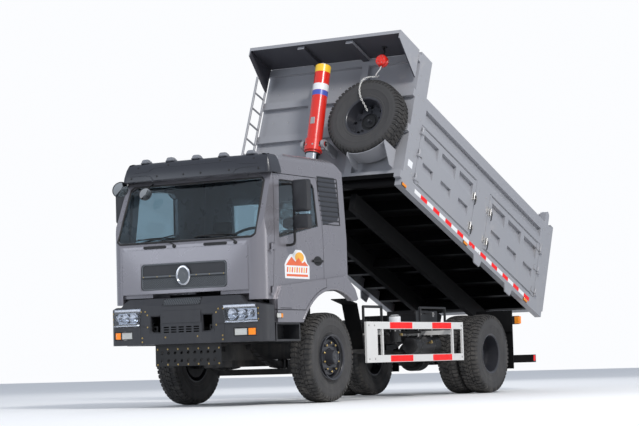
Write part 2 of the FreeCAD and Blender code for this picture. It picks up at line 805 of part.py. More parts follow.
def leaf_springs():
    """Four packs with their clamps and hangers."""
    leaves = 6
    packs = []
    rail_low = d.frame_top_z - d.frame_height
    seat = d.beam_top_z + d.seat_gap
    front_rise = d.leaf_wall * leaves + d.front_spring_span * 0.12
    front = leaf_pack(d.spring_x, FRONT_Y, seat, d.spring_width, d.front_spring_span,
                      d.front_spring_radius, leaves, front_rise)
    clamp = block(d.spring_x - d.spring_width / 2, d.spring_x + d.spring_width / 2,
                  FRONT_Y - d.beam_width / 2, FRONT_Y + d.beam_width / 2, seat,
                  seat + d.leaf_wall * (leaves + 1))
    hangers = []
    for end in (-d.front_spring_span / 2, d.front_spring_span / 2):
        hangers.append(block(d.spring_x - d.spring_width / 2, d.spring_x + d.spring_width / 2,
                             FRONT_Y + end - d.eye_radius, FRONT_Y + end + d.eye_radius,
                             seat + front_rise, rail_low - d.seat_gap))
    packs += both_sides(fuse(front, clamp, *hangers))
    seat = AXLE_Z + d.axle_tube_radius + d.seat_gap
    rear_rise = d.leaf_wall * leaves + d.rear_spring_span * 0.08
    rear = leaf_pack(d.rear_spring_x, REAR_Y, seat, d.spring_width, d.rear_spring_span,
                     d.rear_spring_radius, leaves, rear_rise)
    clamp = block(d.rear_spring_x - d.spring_width / 2, d.rear_spring_x + d.spring_width / 2,
                  REAR_Y - d.beam_width / 2, REAR_Y + d.beam_width / 2, seat,
                  seat + d.leaf_wall * (leaves + 2))
    hangers = []
    for end in (-d.rear_spring_span / 2, d.rear_spring_span / 2):
        hangers.append(block(d.frame_half_width + d.seat_gap, d.rear_spring_x + d.spring_width / 2,
                             REAR_Y + end - d.eye_radius, REAR_Y + end + d.eye_radius,
                             seat + rear_rise, d.frame_top_z - d.frame_flange))
    packs += both_sides(fuse(rear, clamp, *hangers))
    return group(*packs)


def build_running_gear():
    node("knuckle_left", knuckle(1))
    node("knuckle_right", knuckle(-1))
    node("front_axle", front_axle())
    node("rear_axle", rear_axle())
    node("leaf_springs", leaf_springs())


# Ladder frame and what hangs on it

def rail():
    """One C-section rail, open to the inside."""
    outer = d.frame_half_width
    inner = outer - d.frame_flange
    low = d.frame_top_z - d.frame_height
    wall = d.frame_wall
    return front_plate(FRONT_Y - d.frame_front, FRONT_Y + FRAME_BACK,
                       [(inner, low), (outer, low), (outer, d.frame_top_z), (inner, d.frame_top_z),
                        (inner, d.frame_top_z - wall), (outer - wall, d.frame_top_z - wall),
                        (outer - wall, low + wall), (inner, low + wall)])


def crossmember(back, low):
    """A channel between the rails, its middle this far behind the front axle."""
    high = d.frame_top_z - d.frame_wall * 3
    reach = d.frame_half_width - d.frame_wall
    y0 = FRONT_Y + back - d.crossmember_width / 2
    y1 = FRONT_Y + back + d.crossmember_width / 2
    wall = d.frame_wall
    return cut(wide_block(reach, y0, y1, low, high),
               wide_block(reach + d.overrun, y0 + wall, y1 + d.overrun, low + wall, high - wall))


def pivot_ear(pin_back, pin_z, x0, x1, near, far, radius):
    """A plate on a rail with a round end about a pin; near and far are its ends along the truck."""
    y = FRONT_Y + pin_back
    plate = block(x0, x1, FRONT_Y + near, FRONT_Y + far, pin_z - radius, pin_z + radius)
    head = round_bar(x0, y, pin_z, radius, as_size(x1) - x0, ALONG_X)
    return fuse(plate, head)


def lift_foot():
    """Stand across the frame with two cheeks for the lifting cylinder's eye."""
    y = FRONT_Y + d.lift_foot_back
    gap = d.foot_eye_width / 2 + d.seat_gap
    base = wide_block(d.frame_half_width, y - d.crossmember_width, y + d.crossmember_width,
                      d.frame_top_z, d.frame_top_z + d.frame_wall * 2)
    cheeks = []
    for near, far in ((-gap - d.foot_cheek_wall, -gap), (gap, gap + d.foot_cheek_wall)):
        x0, x1 = d.lift_x + near, d.lift_x + far
        cheek = side_plate(x0, x1, [(y - d.crossmember_width, d.frame_top_z + d.frame_wall * 2),
                                    (y + d.crossmember_width, d.frame_top_z + d.frame_wall * 2),
                                    (y + d.foot_eye_radius, d.lift_foot_z),
                                    (y - d.foot_eye_radius, d.lift_foot_z)])
        cheeks.append(cheek)
        cheeks.append(round_bar(x0, y, d.lift_foot_z, d.foot_eye_radius, x1 - x0, ALONG_X))
    return fuse(base, *cheeks)


def chassis_frame():
    rails = both_sides(rail())
    low = d.frame_top_z - d.frame_height
    members = [crossmember(d.lift_foot_back, low + d.frame_height / 2)]
    for back in (-d.frame_front + d.crossmember_width / 2, d.wheelbase * 0.48,
                 d.wheelbase - d.banjo_radius * 2.2, d.wheelbase + d.banjo_radius * 2.2,
                 FRAME_BACK - d.crossmember_width):
        members.append(crossmember(back, low + d.frame_wall * 3))
    inner, outer = d.frame_half_width, d.frame_half_width + d.frame_wall * 4
    rear_ears = pivot_ear(PIVOT_BACK, d.bed_pivot_z, inner, outer,
                          FRAME_BACK - d.crossmember_width * 2, PIVOT_BACK, d.bed_ear_radius)
    ear_root = block(inner - d.frame_wall, outer, FRONT_Y + FRAME_BACK - d.crossmember_width * 2,
                     FRONT_Y + FRAME_BACK, d.frame_top_z - d.crossmember_width, d.bed_pivot_z)
    ear_root = cut(ear_root, block(inner - d.frame_wall * 2, outer + d.frame_wall, FRONT_Y,
                                   FRONT_Y + PIVOT_BACK, d.frame_top_z - d.frame_height,
                                   d.bed_pivot_z - d.bed_ear_radius))
    pins = round_bar(inner - d.bed_beam_width - d.frame_wall, FRONT_Y + PIVOT_BACK, d.bed_pivot_z,
                     d.bed_pin_radius, d.bed_beam_width + d.frame_wall * 5, ALONG_X)
    lug_inner = d.cab_lug_x - d.cab_lug_width / 2 - d.panel_gap
    cab_ear = pivot_ear(-d.cab_pivot_front, d.cab_pivot_z, inner, lug_inner, -d.cab_pivot_front,
                        -d.frame_front + d.crossmember_width, d.cab_lug_radius)
    cab_pin = round_bar(inner, FRONT_Y - d.cab_pivot_front, d.cab_pivot_z, d.cab_pin_radius,
                        d.cab_lug_x + d.cab_lug_width / 2 - inner, ALONG_X)
    web = block(inner, lug_inner, FRONT_Y - d.frame_front, FRONT_Y - d.frame_front + d.crossmember_width,
                low + d.frame_wall, d.cab_pivot_z)
    post_y = FRONT_Y + d.cab_rest_back
    post = block(d.frame_half_width - d.frame_flange, d.tunnel_half_width + d.crossmember_width,
                 post_y - d.crossmember_width / 2, post_y + d.crossmember_width / 2,
                 d.frame_top_z, d.frame_top_z + d.frame_wall * 2)
    pillar = block(d.tunnel_half_width, d.tunnel_half_width + d.crossmember_width,
                   post_y - d.crossmember_width / 2, post_y + d.crossmember_width / 2,
                   d.frame_top_z, d.back_bottom_z - d.seat_gap)
    bumper_arm = cut(block(inner - d.frame_flange, inner, FRONT_Y - d.bumper_front + d.overrun,
                           FRONT_Y - d.frame_front + d.overrun, d.bumper_bottom_z + d.bumper_wall * 1.2,
                           d.frame_top_z - d.frame_wall),
                     cut(bumper_form(ZERO), bumper_form(d.bumper_wall + d.seat_gap)))
    side_things = fuse(rear_ears, ear_root, pins, cab_ear, cab_pin, web, post, pillar, bumper_arm)
    body = fuse(*rails, *members, *both_sides(side_things), lift_foot())
    tow_bores = both_sides(round_bar(inner - d.frame_flange / 2, FRONT_Y - d.bumper_front,
                                     d.frame_top_z - d.tow_bore_radius * 2, d.tow_bore_radius,
                                     d.frame_front, ALONG_Y))
    return body, tow_bores


def bumper_plan(inset):
    """The bumper seen from above."""
    half = d.bumper_half_width - inset
    front = FRONT_Y - d.bumper_front + inset
    back = FRONT_Y - d.bumper_back
    corner = d.bumper_corner - inset
    bow = d.bumper_bow
    flat = half - corner
    bow_share = (flat.value ** 2 + bow.value ** 2) / (2 * bow.value) / flat.value
    return [(-half, back), (-half, front + bow + corner, corner), (-flat, front + bow, flat * bow_share),
            (flat, front + bow, corner), (half, front + bow + corner), (half, back)]


def kept(form):
    """Build each form once for every inset, and use it again."""
    made = {}

    def fetch(inset):
        inset = as_size(inset)
        if inset.text not in made:
            made[inset.text] = form(inset)
        return made[inset.text]
    return fetch


@kept
def bumper_form(inset):
    """Bumper solid: seen from above, from the side and from the front."""
    low, high = d.bumper_bottom_z + inset, d.bumper_top_z - inset
    plan = flat_plate(d.bumper_bottom_z - d.overrun, d.bumper_top_z + d.overrun, bumper_plan(inset))
    front = FRONT_Y - d.bumper_front - d.overrun
    lean = d.bumper_top_lean
    side = side_plate(-d.bumper_half_width - d.overrun, d.bumper_half_width + d.overrun,
                      [(front, low), (FRONT_Y, low), (FRONT_Y, high),
                       (front + d.overrun + lean + inset, high),
                       (front + d.overrun + inset, d.bumper_edge_z), (front, d.bumper_edge_z)])
    shoulder = d.tow_hole_x + d.tow_hole_width * 2.7
    half = d.bumper_half_width + d.overrun
    corner_z = d.bumper_corner_z - inset
    face = front_plate(FRONT_Y - d.bumper_front - d.overrun, FRONT_Y,
                       [(-half, low), (half, low), (half, corner_z - d.bumper_wall),
                        (half - d.bumper_corner, corner_z), (shoulder + d.bumper_wall * 2, corner_z),
                        (shoulder, high), (-shoulder, high), (-shoulder - d.bumper_wall * 2, corner_z),
                        (d.bumper_corner - half, corner_z), (-half, corner_z - d.bumper_wall)])
    return common(plan, side, face)


def lamp_pocket(inner_x, outer_x, low_z, high_z, gap):
    front = FRONT_Y - d.bumper_front - d.overrun
    return block(inner_x - gap, outer_x + gap, front, FRONT_Y - d.bumper_back - d.overrun * 2,
                 low_z - gap, high_z + gap)


def lamp_places():
    return ((d.headlamp_inner_x, d.headlamp_outer_x, d.headlamp_low_z, d.headlamp_high_z),
            (d.foglamp_inner_x, d.foglamp_outer_x, d.foglamp_low_z, d.foglamp_high_z))


def front_bumper():
    deck_back = FRONT_Y - d.bumper_front + d.bumper_top_lean + d.bumper_wall
    shell = cut(bumper_form(ZERO), bumper_form(d.bumper_wall),
                wide_block(d.nose_flat_half_width, deck_back, FRONT_Y, d.bumper_edge_z - d.bumper_wall,
                           d.bumper_top_z + d.overrun),
                wide_block(d.cab_lug_x - d.cab_lug_width / 2, FRONT_Y - d.frame_front - d.panel_gap, FRONT_Y,
                           d.bumper_bottom_z - d.overrun, d.bumper_bottom_z + d.bumper_wall + d.overrun))
    openings = []
    for place in lamp_places():
        openings += both_sides(lamp_pocket(*place, d.seat_gap))
    front = FRONT_Y - d.bumper_front - d.overrun
    back = FRONT_Y - d.bumper_front + d.bumper_bow + d.bumper_wall * 2
    hole_low, hole_high = d.tow_hole_low_z, d.tow_hole_high_z
    half = d.tow_hole_width / 2
    openings += both_sides(front_plate(front, back, [(d.tow_hole_x - half, hole_low),
                                                     (d.tow_hole_x + half * 0.6, hole_low),
                                                     (d.tow_hole_x + half, hole_low + half * 0.4),
                                                     (d.tow_hole_x + half, hole_high),
                                                     (d.tow_hole_x - half, hole_high)]))
    rows, columns = 3, 5
    slot_width = (d.tow_hole_x - half) * 2 / (columns + 1)
    slot_height = d.bumper_wall / rows
    for row in range(rows):
        for column in range(columns):
            x = slot_width * 1.1 * (column - (columns - 1) / 2)
            z = hole_low + slot_height * 1.8 * row
            openings.append(block(x - slot_width * 0.4, x + slot_width * 0.4, front, back, z,
                                  z + slot_height))
    return cut(shell, *openings)


def vehicle_lamps():
    """Headlamps and fog lamps let into the bumper, and the tail lamps."""
    pieces = []
    for place in lamp_places():
        pieces += both_sides(common(lamp_pocket(*place, ZERO), cut(bumper_form(d.glass_wall),
                                                                     bumper_form(d.lamp_depth))))
    return pieces


def guard_plate():
    """Perforated plate below the bumper, bolted to the frame's front crossmember."""
    front = FRONT_Y - d.guard_plate_front
    low = d.guard_plate_bottom_z
    high = d.frame_top_z - d.frame_height + d.frame_wall * 2
    plate = wide_block(d.guard_half_width, front, front + d.guard_plate_wall, low, high)
    stays = block(d.frame_half_width - d.frame_flange, d.frame_half_width, front + d.guard_plate_wall,
                  FRONT_Y - d.frame_front + d.crossmember_width,
                  d.frame_top_z - d.frame_height - d.frame_wall * 2,
                  d.frame_top_z - d.frame_height - d.seat_gap)
    holes = []
    rows, columns = 2, 9
    for row in range(rows):
        for column in range(columns):
            x = d.guard_hole_pitch * (column - (columns - 1) / 2)
            z = low + d.guard_hole_pitch * (row + 0.7)
            holes.append(round_bar(x, front - d.overrun, z, d.guard_hole_radius, d.overrun * 2, ALONG_Y))
    return fuse(cut(plate, *holes), *both_sides(stays))


def engine():
    """Plain block for the engine, radiator, gearbox and the shaft to the rear axle."""
    front, back = FRONT_Y - d.engine_front, FRONT_Y + d.engine_back
    block_part = wide_block(d.engine_half_width, front, back, d.engine_bottom_z, d.engine_top_z)
    sump = wide_block(d.engine_half_width * 0.6, front + d.sump_depth * 2, back - d.sump_depth * 4,
                      d.engine_bottom_z - d.sump_depth, d.engine_bottom_z)
    mounts = wide_block(d.frame_half_width - d.frame_wall - d.seat_gap, front + d.sump_depth * 4,
                        front + d.sump_depth * 5, d.frame_top_z - d.frame_height * 0.7,
                        d.frame_top_z - d.frame_height * 0.3)
    gearbox = tapered_bar(0, back, d.shaft_z, d.gearbox_radius, d.gearbox_radius * 0.6, d.gearbox_length,
                          ALONG_Y)
    start = back + d.gearbox_length
    end = REAR_Y - d.banjo_width / 2 - d.banjo_radius
    fall = d.shaft_z - AXLE_Z
    length_share = math.hypot((end - start).value, fall.value) / (end - start).value
    angle = math.degrees(math.atan2(fall.value, (end - start).value))
    shaft = round_bar(0, start, d.shaft_z, d.shaft_radius, (end - start) * length_share,
                      FreeCAD.Rotation(FreeCAD.Vector(1, 0, 0), -90 - angle))
    flange = round_bar(0, end - d.overrun - d.seat_gap, AXLE_Z, d.shaft_radius * 1.5, d.overrun, ALONG_Y)
    spacer = cut(shaft, block(-d.gearbox_radius, d.gearbox_radius, end - d.seat_gap, REAR_Y, 0,
                              d.shaft_z * 2))
    return fuse(block_part, sump, mounts, gearbox, spacer, flange)


def radiator():
    front = FRONT_Y - d.radiator_front
    core = wide_block(d.radiator_half_width, front, front + d.radiator_depth, d.radiator_bottom_z,
                      d.radiator_top_z)
    feet = wide_block(d.frame_half_width - d.frame_wall - d.seat_gap, front, front + d.radiator_depth,
                      d.frame_top_z - d.frame_height * 0.6, d.frame_top_z - d.frame_height * 0.4)
    return fuse(core, feet)


def side_guard():
    """Bars and plate beside the wheelbase, on two arms from the rail."""
    front, back = FRONT_Y + d.side_guard_front, FRONT_Y + GUARD_BACK
    low, high = d.side_guard_bottom_z, d.side_guard_top_z
    bar = d.side_guard_bar
    outer, inner = d.side_guard_x, d.side_guard_x - d.side_guard_wall
    post = bar / 3
    first = front + d.side_guard_plate * 1.45
    second = back - d.side_guard_plate * 1.15
    frame = side_plate(inner, outer, [(front, low), (back, low), (back, high), (front, high)],
                       [(front + d.side_guard_plate, low + bar), (first, low + bar), (first, high - bar),
                        (front + d.side_guard_plate, high - bar)],
                       [(first + post, low + bar), (second, low + bar), (second, high - bar),
                        (first + post, high - bar)],
                       [(second + post, low + bar), (back - post, low + bar), (back - post, high - bar),
                        (second + post, high - bar)])
    arms = []
    for y in (first, second):
        arms.append(block(d.frame_half_width + d.seat_gap, inner, y, y + post * 1.4,
                          d.tank_z + d.tank_radius + d.panel_gap * 2, d.battery_low_z - d.panel_gap * 4))
    return fuse(frame, *arms)


def tank_straps(x, y, z, radius, length):
    """Two straps round a tank, with their feet on the rail."""
    straps = []
    wall = d.frame_wall / 2
    for share in (0.2, 0.75):
        ring_y = y + length * share
        ring = cut(round_bar(x, ring_y, z, radius + wall, d.overrun, ALONG_Y),
                   round_bar(x, ring_y - d.overrun, z, radius, d.overrun * 3, ALONG_Y))
        straps.append(ring)
    return straps


def side_equipment():
    """Left: air tank, battery box, air drier and pipe loops. Right: silencer."""
    rail_x = d.frame_half_width + d.seat_gap
    pieces = []
    tank_y = FRONT_Y + GUARD_BACK - d.tank_length - d.crossmember_width / 2
    tank = round_bar(d.tank_x, tank_y, d.tank_z, d.tank_radius, d.tank_length, ALONG_Y)
    shelf = block(rail_x, d.tank_x, tank_y + d.tank_length * 0.2, tank_y + d.tank_length * 0.2 + d.overrun,
                  d.frame_top_z - d.frame_height, d.frame_top_z - d.frame_height + d.frame_wall)
    shelf_back = block(rail_x, d.tank_x, tank_y + d.tank_length * 0.75,
                       tank_y + d.tank_length * 0.75 + d.overrun,
                       d.frame_top_z - d.frame_height, d.frame_top_z - d.frame_height + d.frame_wall)
    pieces.append(fuse(tank, shelf, shelf_back, *tank_straps(d.tank_x, tank_y, d.tank_z, d.tank_radius,
                                                             d.tank_length)))
    box_y = FRONT_Y + GUARD_BACK - d.battery_length - d.crossmember_width / 2
    pieces.append(block(rail_x, rail_x + d.battery_width, box_y, box_y + d.battery_length,
                        d.battery_low_z, d.battery_high_z))
    drier_y = FRONT_Y + d.side_guard_front + d.side_guard_plate * 5
    drier = round_bar(d.tank_x + d.drier_radius, drier_y, d.frame_top_z - d.frame_height, d.drier_radius,
                      d.drier_height)
    bracket = block(rail_x, d.tank_x + d.drier_radius, drier_y - d.overrun, drier_y + d.overrun,
                    d.frame_top_z - d.frame_height / 2, d.frame_top_z - d.frame_height / 2 + d.frame_wall)
    pieces.append(fuse(drier, bracket))
    silencer_y = FRONT_Y + TANK_FRONT + d.fuel_length + d.panel_gap * 5
    silencer_x = -rail_x - d.silencer_radius * 1.6
    pieces.append(fuse(round_bar(silencer_x, silencer_y, d.tank_z - d.tank_radius / 2, d.silencer_radius,
                                 d.silencer_length, ALONG_Y),
                       block(silencer_x, -rail_x, silencer_y + d.overrun, silencer_y + d.overrun * 2,
                             d.frame_top_z - d.frame_height, d.frame_top_z - d.frame_height + d.frame_wall)))
    return group(*pieces)


def pipe_loops():
    """Bent tubes that stand on the rail beside the boxes."""
    loops = []
    foot = d.frame_top_z - d.frame_height / 2
    top = d.loop_top_z
    radius = d.loop_radius
    x = d.tank_x + d.drier_radius * 2.5
    for front, back in ((d.side_guard_front + d.side_guard_plate * 1.3,
                         d.side_guard_front + d.side_guard_plate * 3),
                        (GUARD_BACK - d.battery_length * 1.25, GUARD_BACK - radius * 3)):
        y0, y1 = FRONT_Y + front, FRONT_Y + back
        bars = [round_bar(x, y0, top, radius, y1 - y0, ALONG_Y)]
        for y in (y0, y1):
            bars.append(round_bar(x, y, foot, radius, top - foot))
            bars.append(round_bar(d.frame_half_width + d.seat_gap, y, foot, radius,
                                  x - d.frame_half_width - d.seat_gap, ALONG_X))
            bars.append(doc_ball(x, y, top, radius))
            bars.append(doc_ball(x, y, foot, radius))
        loops.append(fuse(*bars))
    return loops


def doc_ball(x, y, z, radius):
    thing = doc.addObject("Part::Sphere", "Ball")
    thing.Radius = as_size(radius).value
    bind(thing, "Radius", radius)
    return put(thing, x, y, z)


def fuel_tank():
    """Rounded tank on the right, on two brackets."""
    outer_x = -d.frame_half_width - d.overrun * 3
    inner_x = outer_x - d.fuel_width
    y0 = FRONT_Y + TANK_FRONT
    y1 = y0 + d.fuel_length
    high = d.frame_top_z - d.frame_wall * 2
    low = high - d.fuel_height
    bend = d.fuel_corner
    tank = front_plate(y0, y1, [(inner_x + bend, low), (outer_x - bend, low, bend), (outer_x, low + bend),
                                (outer_x, high - bend, bend), (outer_x - bend, high),
                                (inner_x + bend, high, bend),
                                (inner_x, high - bend), (inner_x, low + bend, bend)])
    brackets = []
    for share in (0.2, 0.75):
        y = y0 + d.fuel_length * share
        brackets.append(block(outer_x, -d.frame_half_width - d.seat_gap, y, y + d.overrun * 2,
                              d.frame_top_z - d.frame_height, d.frame_top_z - d.frame_wall * 3))
    return fuse(tank, *brackets)


def front_mudguard():
    """Curved sheet behind a front wheel."""
    wall = d.mudguard_wall
    top_y, top_z = FRONT_Y + d.cab_back + d.panel_gap * 2, d.arch_centre_z + d.arch_radius - d.cab_wall * 2
    bend_y, bend_z = top_y + d.side_guard_plate, top_z - d.side_guard_wall * 2
    low_y, low_z = FRONT_Y + d.arch_radius + d.side_guard_bar, d.tyre_radius + d.side_guard_bar
    knee_y, knee_z = low_y - wall * 3, d.arch_radius
    inner, outer = d.kingpin_x, d.cab_half_width - d.flare_reach - d.panel_gap
    sheet_part = side_plate(inner, outer, [(top_y, top_z), (bend_y, bend_z), (knee_y, knee_z), (low_y, low_z),
                                           (low_y - wall, low_z), (knee_y - wall, knee_z),
                                           (bend_y - wall, bend_z - wall), (top_y, top_z - wall)])
    stay = block(d.frame_half_width + d.seat_gap, inner, knee_y - wall * 3, knee_y,
                 knee_z - d.crossmember_width / 2, knee_z)
    return fuse(sheet_part, stay)


def mud_flap():
    """Flap behind the twin wheels on a bar from the rail."""
    y = FRONT_Y + FLAP_BACK
    sheet_part = block(d.flap_inner_x, d.flap_outer_x, y, y + d.mudguard_wall, d.flap_low_z, d.flap_high_z)
    bar_z = d.frame_top_z - d.frame_height / 2
    bar = block(d.frame_half_width + d.seat_gap, d.flap_outer_x, y - d.overrun, y, bar_z, bar_z + d.overrun)
    return fuse(sheet_part, bar)


def rear_bar():
    """Underrun bar on two plates from the frame's end."""
    y1 = FRONT_Y + REAR_BAR_BACK
    y0 = y1 - d.rear_bar_depth
    low, high = d.rear_bar_low_z, d.rear_bar_low_z + d.rear_bar_height
    bar = wide_block(d.rear_bar_half_width, y0, y1, low, high)
    inner = d.frame_half_width + d.seat_gap
    plate_top = d.bed_pivot_z - d.bed_ear_radius - d.seat_gap
    plate = side_plate(inner, inner + d.frame_wall * 2,
                       [(y0 - d.rear_bar_depth * 4, plate_top - d.frame_height / 2), (y0, low), (y1, low),
                        (y1, high), (FRONT_Y + FRAME_BACK, plate_top),
                        (y0 - d.rear_bar_depth * 4, plate_top)])
    return fuse(bar, *both_sides(plate))


def tail_lamps():
    """A lamp box on each side, on a short bar from the pivot ear."""
    y = FRONT_Y + PIVOT_BACK
    ear = d.frame_half_width + d.frame_wall * 4
    bar = block(ear + d.seat_gap, d.rear_bar_half_width - d.side_guard_plate, y - d.overrun,
                y + d.overrun / 3,
                d.bed_pivot_z - d.lamp_depth / 2, d.bed_pivot_z + d.lamp_depth / 2)
    box = block(d.rear_bar_half_width - d.side_guard_plate, d.rear_bar_half_width - d.side_guard_plate / 2,
                y - d.overrun, y + d.lamp_depth, d.bed_pivot_z - d.lamp_depth,
                d.bed_pivot_z + d.lamp_depth * 2)
    return both_sides(fuse(bar, box))


def build_chassis():
    body, tow_bores = chassis_frame()
    node("chassis_frame", cut(body, *tow_bores))
    node("front_bumper", front_bumper())
    node("vehicle_lamps", group(*vehicle_lamps(), *tail_lamps()))
    node("guard_plate", guard_plate())
    node("engine", engine())
    node("radiator", radiator())
    node("side_guards", group(*both_sides(side_guard())))
    node("side_equipment", group(side_equipment(), *pipe_loops()))
    node("fuel_tank", fuel_tank())
    node("mudguards", group(*both_sides(front_mudguard()), *both_sides(mud_flap())))
    node("rear_bar", rear_bar())


# Cab

@kept
def cab_form(inset):
    """The cab as one solid, drawn from the side, from the front and from above."""
    half, nose = d.cab_half_width, FRONT_Y - d.cab_front
    back, arch_y = FRONT_Y + d.cab_back, FRONT_Y + d.arch_centre_back
    sill_y = FRONT_Y - d.cab_sill_front
    side = side_plate(-half - d.overrun, half + d.overrun, [
        (nose + inset, d.cab_corner_z + inset), (nose + d.cab_cowl_lean + inset, d.cab_cowl_z),
        (nose + d.screen_lean + inset * 1.08, d.screen_top_z),
        (nose + d.brow_lean + inset, d.brow_z - inset * 0.4),
        (nose + d.roof_front_lean + inset * 0.3, d.roof_z - inset),
        (back - d.roof_back_lean - inset * 0.3, d.roof_z - inset),
        (back - inset, d.roof_rear_z - inset * 0.5),
        (back - inset, d.back_bottom_z + inset), (arch_y, d.back_bottom_z + inset),
        (arch_y, d.cab_sill_z + inset),
        (sill_y + inset, d.cab_sill_z + inset), (sill_y + inset, d.cab_corner_z + inset)])
    wide, narrow = half - inset, half - inset - d.side_lean
    bend = d.roof_corner - inset
    low, high = d.cab_sill_z - d.overrun, d.roof_z - inset
    front = front_plate(nose - d.overrun, back + d.overrun, [
        (-wide, low), (wide, low), (wide, d.waist_z), (narrow, high - bend, bend), (narrow - bend, high),
        (bend - narrow, high, bend), (-narrow, high - bend), (-wide, d.waist_z)])
    flat = d.nose_flat_half_width
    corner = wide - flat
    bow_y = nose + d.nose_bow + inset
    bow_share = (flat.value ** 2 + d.nose_bow.value ** 2) / (2 * d.nose_bow.value) / flat.value
    plan = flat_plate(low, high + d.overrun, [
        (-wide, back + d.overrun), (-wide, bow_y + corner, corner), (-flat, bow_y, flat * bow_share),
        (flat, bow_y, corner), (wide, bow_y + corner), (wide, back + d.overrun)])
    arch = round_bar(-half - d.overrun, arch_y, d.arch_centre_z, d.arch_radius + inset,
                     (half + d.overrun) * 2,
                     ALONG_X)
    return cut(common(side, front, plan), arch)


@kept
def cab_space(gap):
    """The room inside the cab, less a gap."""
    nose, back = FRONT_Y - d.cab_front, FRONT_Y + d.cab_back
    wall = d.cab_wall + gap
    hump = wide_block(d.tunnel_half_width + wall, nose - d.overrun, back + d.overrun,
                      d.cab_sill_z - d.overrun, d.tunnel_z + wall)
    firewall = wide_block(d.cab_half_width, nose - d.overrun, nose + d.firewall + gap, d.cab_sill_z,
                          d.lid_top_z + wall)
    hinge_room = round_bar(-d.cab_half_width, FRONT_Y - d.cab_pivot_front, d.cab_pivot_z,
                           d.cab_swing_radius + wall, d.cab_half_width * 2, ALONG_X)
    return cut(cab_form(wall), hump, firewall, hinge_room)


def door_prism(gap, inner_x):
    """Door outline seen from the side, grown by a gap, from inner_x outwards."""
    low, high = d.door_bottom_z - gap, d.door_top_z + gap
    rear = FRONT_Y - d.door_back + gap
    shape = side_plate(inner_x, d.cab_half_width + d.flare_reach + d.overrun, [
        (FRONT_Y - d.door_front_low - gap, low), (rear, low), (rear, d.window_low_back_z),
        (rear - d.window_frame, high), (FRONT_Y - d.door_front_high - gap, high)])
    return cut(shape, round_bar(inner_x - d.overrun, FRONT_Y + d.arch_centre_back, d.arch_centre_z,
                                d.arch_radius + d.door_arch_clearance - gap, d.cab_half_width, ALONG_X))


def window_prism(gap, inner_x):
    front = FRONT_Y - d.door_front_high
    rear = FRONT_Y - d.window_back - gap
    return side_plate(inner_x, d.cab_half_width + d.overrun, [
        (front + d.window_frame / 2 + gap, d.window_low_front_z + gap), (rear, d.window_low_back_z + gap),
        (rear - d.window_frame / 2, d.window_high_z - d.window_frame - gap),
        (rear - d.window_frame * 2, d.window_high_z - gap),
        (front + d.window_frame * 1.8 + gap, d.window_high_z - gap)])


def screen_prism(gap):
    """Windscreen outline seen from the front."""
    low, high = d.screen_low_z + gap, d.screen_high_z - gap
    wide, narrow, bend = d.screen_low_half_width - gap, d.screen_high_half_width - gap, d.screen_corner
    return front_plate(FRONT_Y - d.cab_front - d.overrun, FRONT_Y - d.door_front_high + d.window_frame, [
        (-wide + bend, low), (wide - bend, low, bend), (wide, low + bend), (narrow, high - bend, bend),
        (narrow - bend, high), (bend - narrow, high, bend), (-narrow, high - bend),
        (-wide, low + bend, bend)])


def rear_window_prism(gap):
    half = d.rear_window_half_width - gap
    return wide_block(half, FRONT_Y + d.cab_back - d.cab_wall - d.overrun, FRONT_Y + d.cab_back + d.overrun,
                      d.rear_window_low_z + gap, d.rear_window_high_z - gap)


def lid_prism(gap):
    return wide_block(d.nose_flat_half_width - gap, FRONT_Y - d.cab_front - d.overrun,
                      FRONT_Y - d.cab_front + d.firewall * 1.4, d.lid_bottom_z + gap, d.lid_top_z - gap)


def grille_prism(gap):
    half, low, high = d.grille_half_width - gap, d.grille_low_z + gap, d.grille_high_z - gap
    bend = d.grille_corner
    return front_plate(FRONT_Y - d.cab_front - d.overrun, FRONT_Y - d.cab_front + d.firewall * 1.4, [
        (bend - half, low), (half - bend, low, bend), (half, low + bend), (half, high - bend, bend),
        (half - bend, high), (bend - half, high, bend), (-half, high - bend), (-half, low + bend, bend)])


def louvre_prism(gap):
    """Vent panel behind the door, seen from the side."""
    rear = FRONT_Y + d.louvre_back - gap
    front = FRONT_Y - d.door_back + d.louvre_post + gap
    low, high = d.window_low_back_z + d.louvre_post + gap, d.door_top_z + d.overrun - gap
    return side_plate(d.cab_half_width / 2, d.cab_half_width + d.overrun, [
        (front, low), (rear - d.window_frame, low + d.window_frame), (rear, low + d.window_frame * 2.5),
        (rear - d.window_frame, high), (front - d.window_frame, high)])


def flare():
    """The lower side stands out below a ridge, round the wheel arch."""
    low = d.cab_sill_z
    rear = FRONT_Y + d.flare_back
    shape = side_plate(d.cab_half_width - d.flare_reach, d.cab_half_width + d.flare_reach, [
        (FRONT_Y - d.cab_sill_front + d.panel_gap, low), (FRONT_Y, low), (rear, d.ridge_back_z),
        (rear - d.flare_reach * 2, d.ridge_bend_z), (rear - d.side_guard_plate, d.ridge_top_z),
        (FRONT_Y - d.door_back, d.ridge_top_z - d.cab_wall),
        (FRONT_Y - d.door_front_high, d.ridge_bend_z + d.flare_reach / 2),
        (FRONT_Y - d.cab_sill_front + d.panel_gap, d.cab_corner_z)])
    return cut(shape, round_bar(0, FRONT_Y + d.arch_centre_back, d.arch_centre_z, d.arch_radius,
                                d.cab_half_width * 2, ALONG_X),
               block(0, d.cab_half_width * 2, FRONT_Y, FRONT_Y + d.cab_front, 0, d.cab_corner_z))


def cab_lug():
    """Arm from the cab's front sill to the tilt pin."""
    x0, x1 = d.cab_lug_x - d.cab_lug_width / 2, d.cab_lug_x + d.cab_lug_width / 2
    y, z = FRONT_Y - d.cab_pivot_front, d.cab_pivot_z
    arm = block(x0, x1, y, FRONT_Y - d.cab_sill_front + d.overrun, z - d.cab_lug_radius, z + d.cab_lug_radius)
    head = round_bar(x0, y, z, d.cab_lug_radius, d.cab_lug_width, ALONG_X)
    return fuse(arm, head)


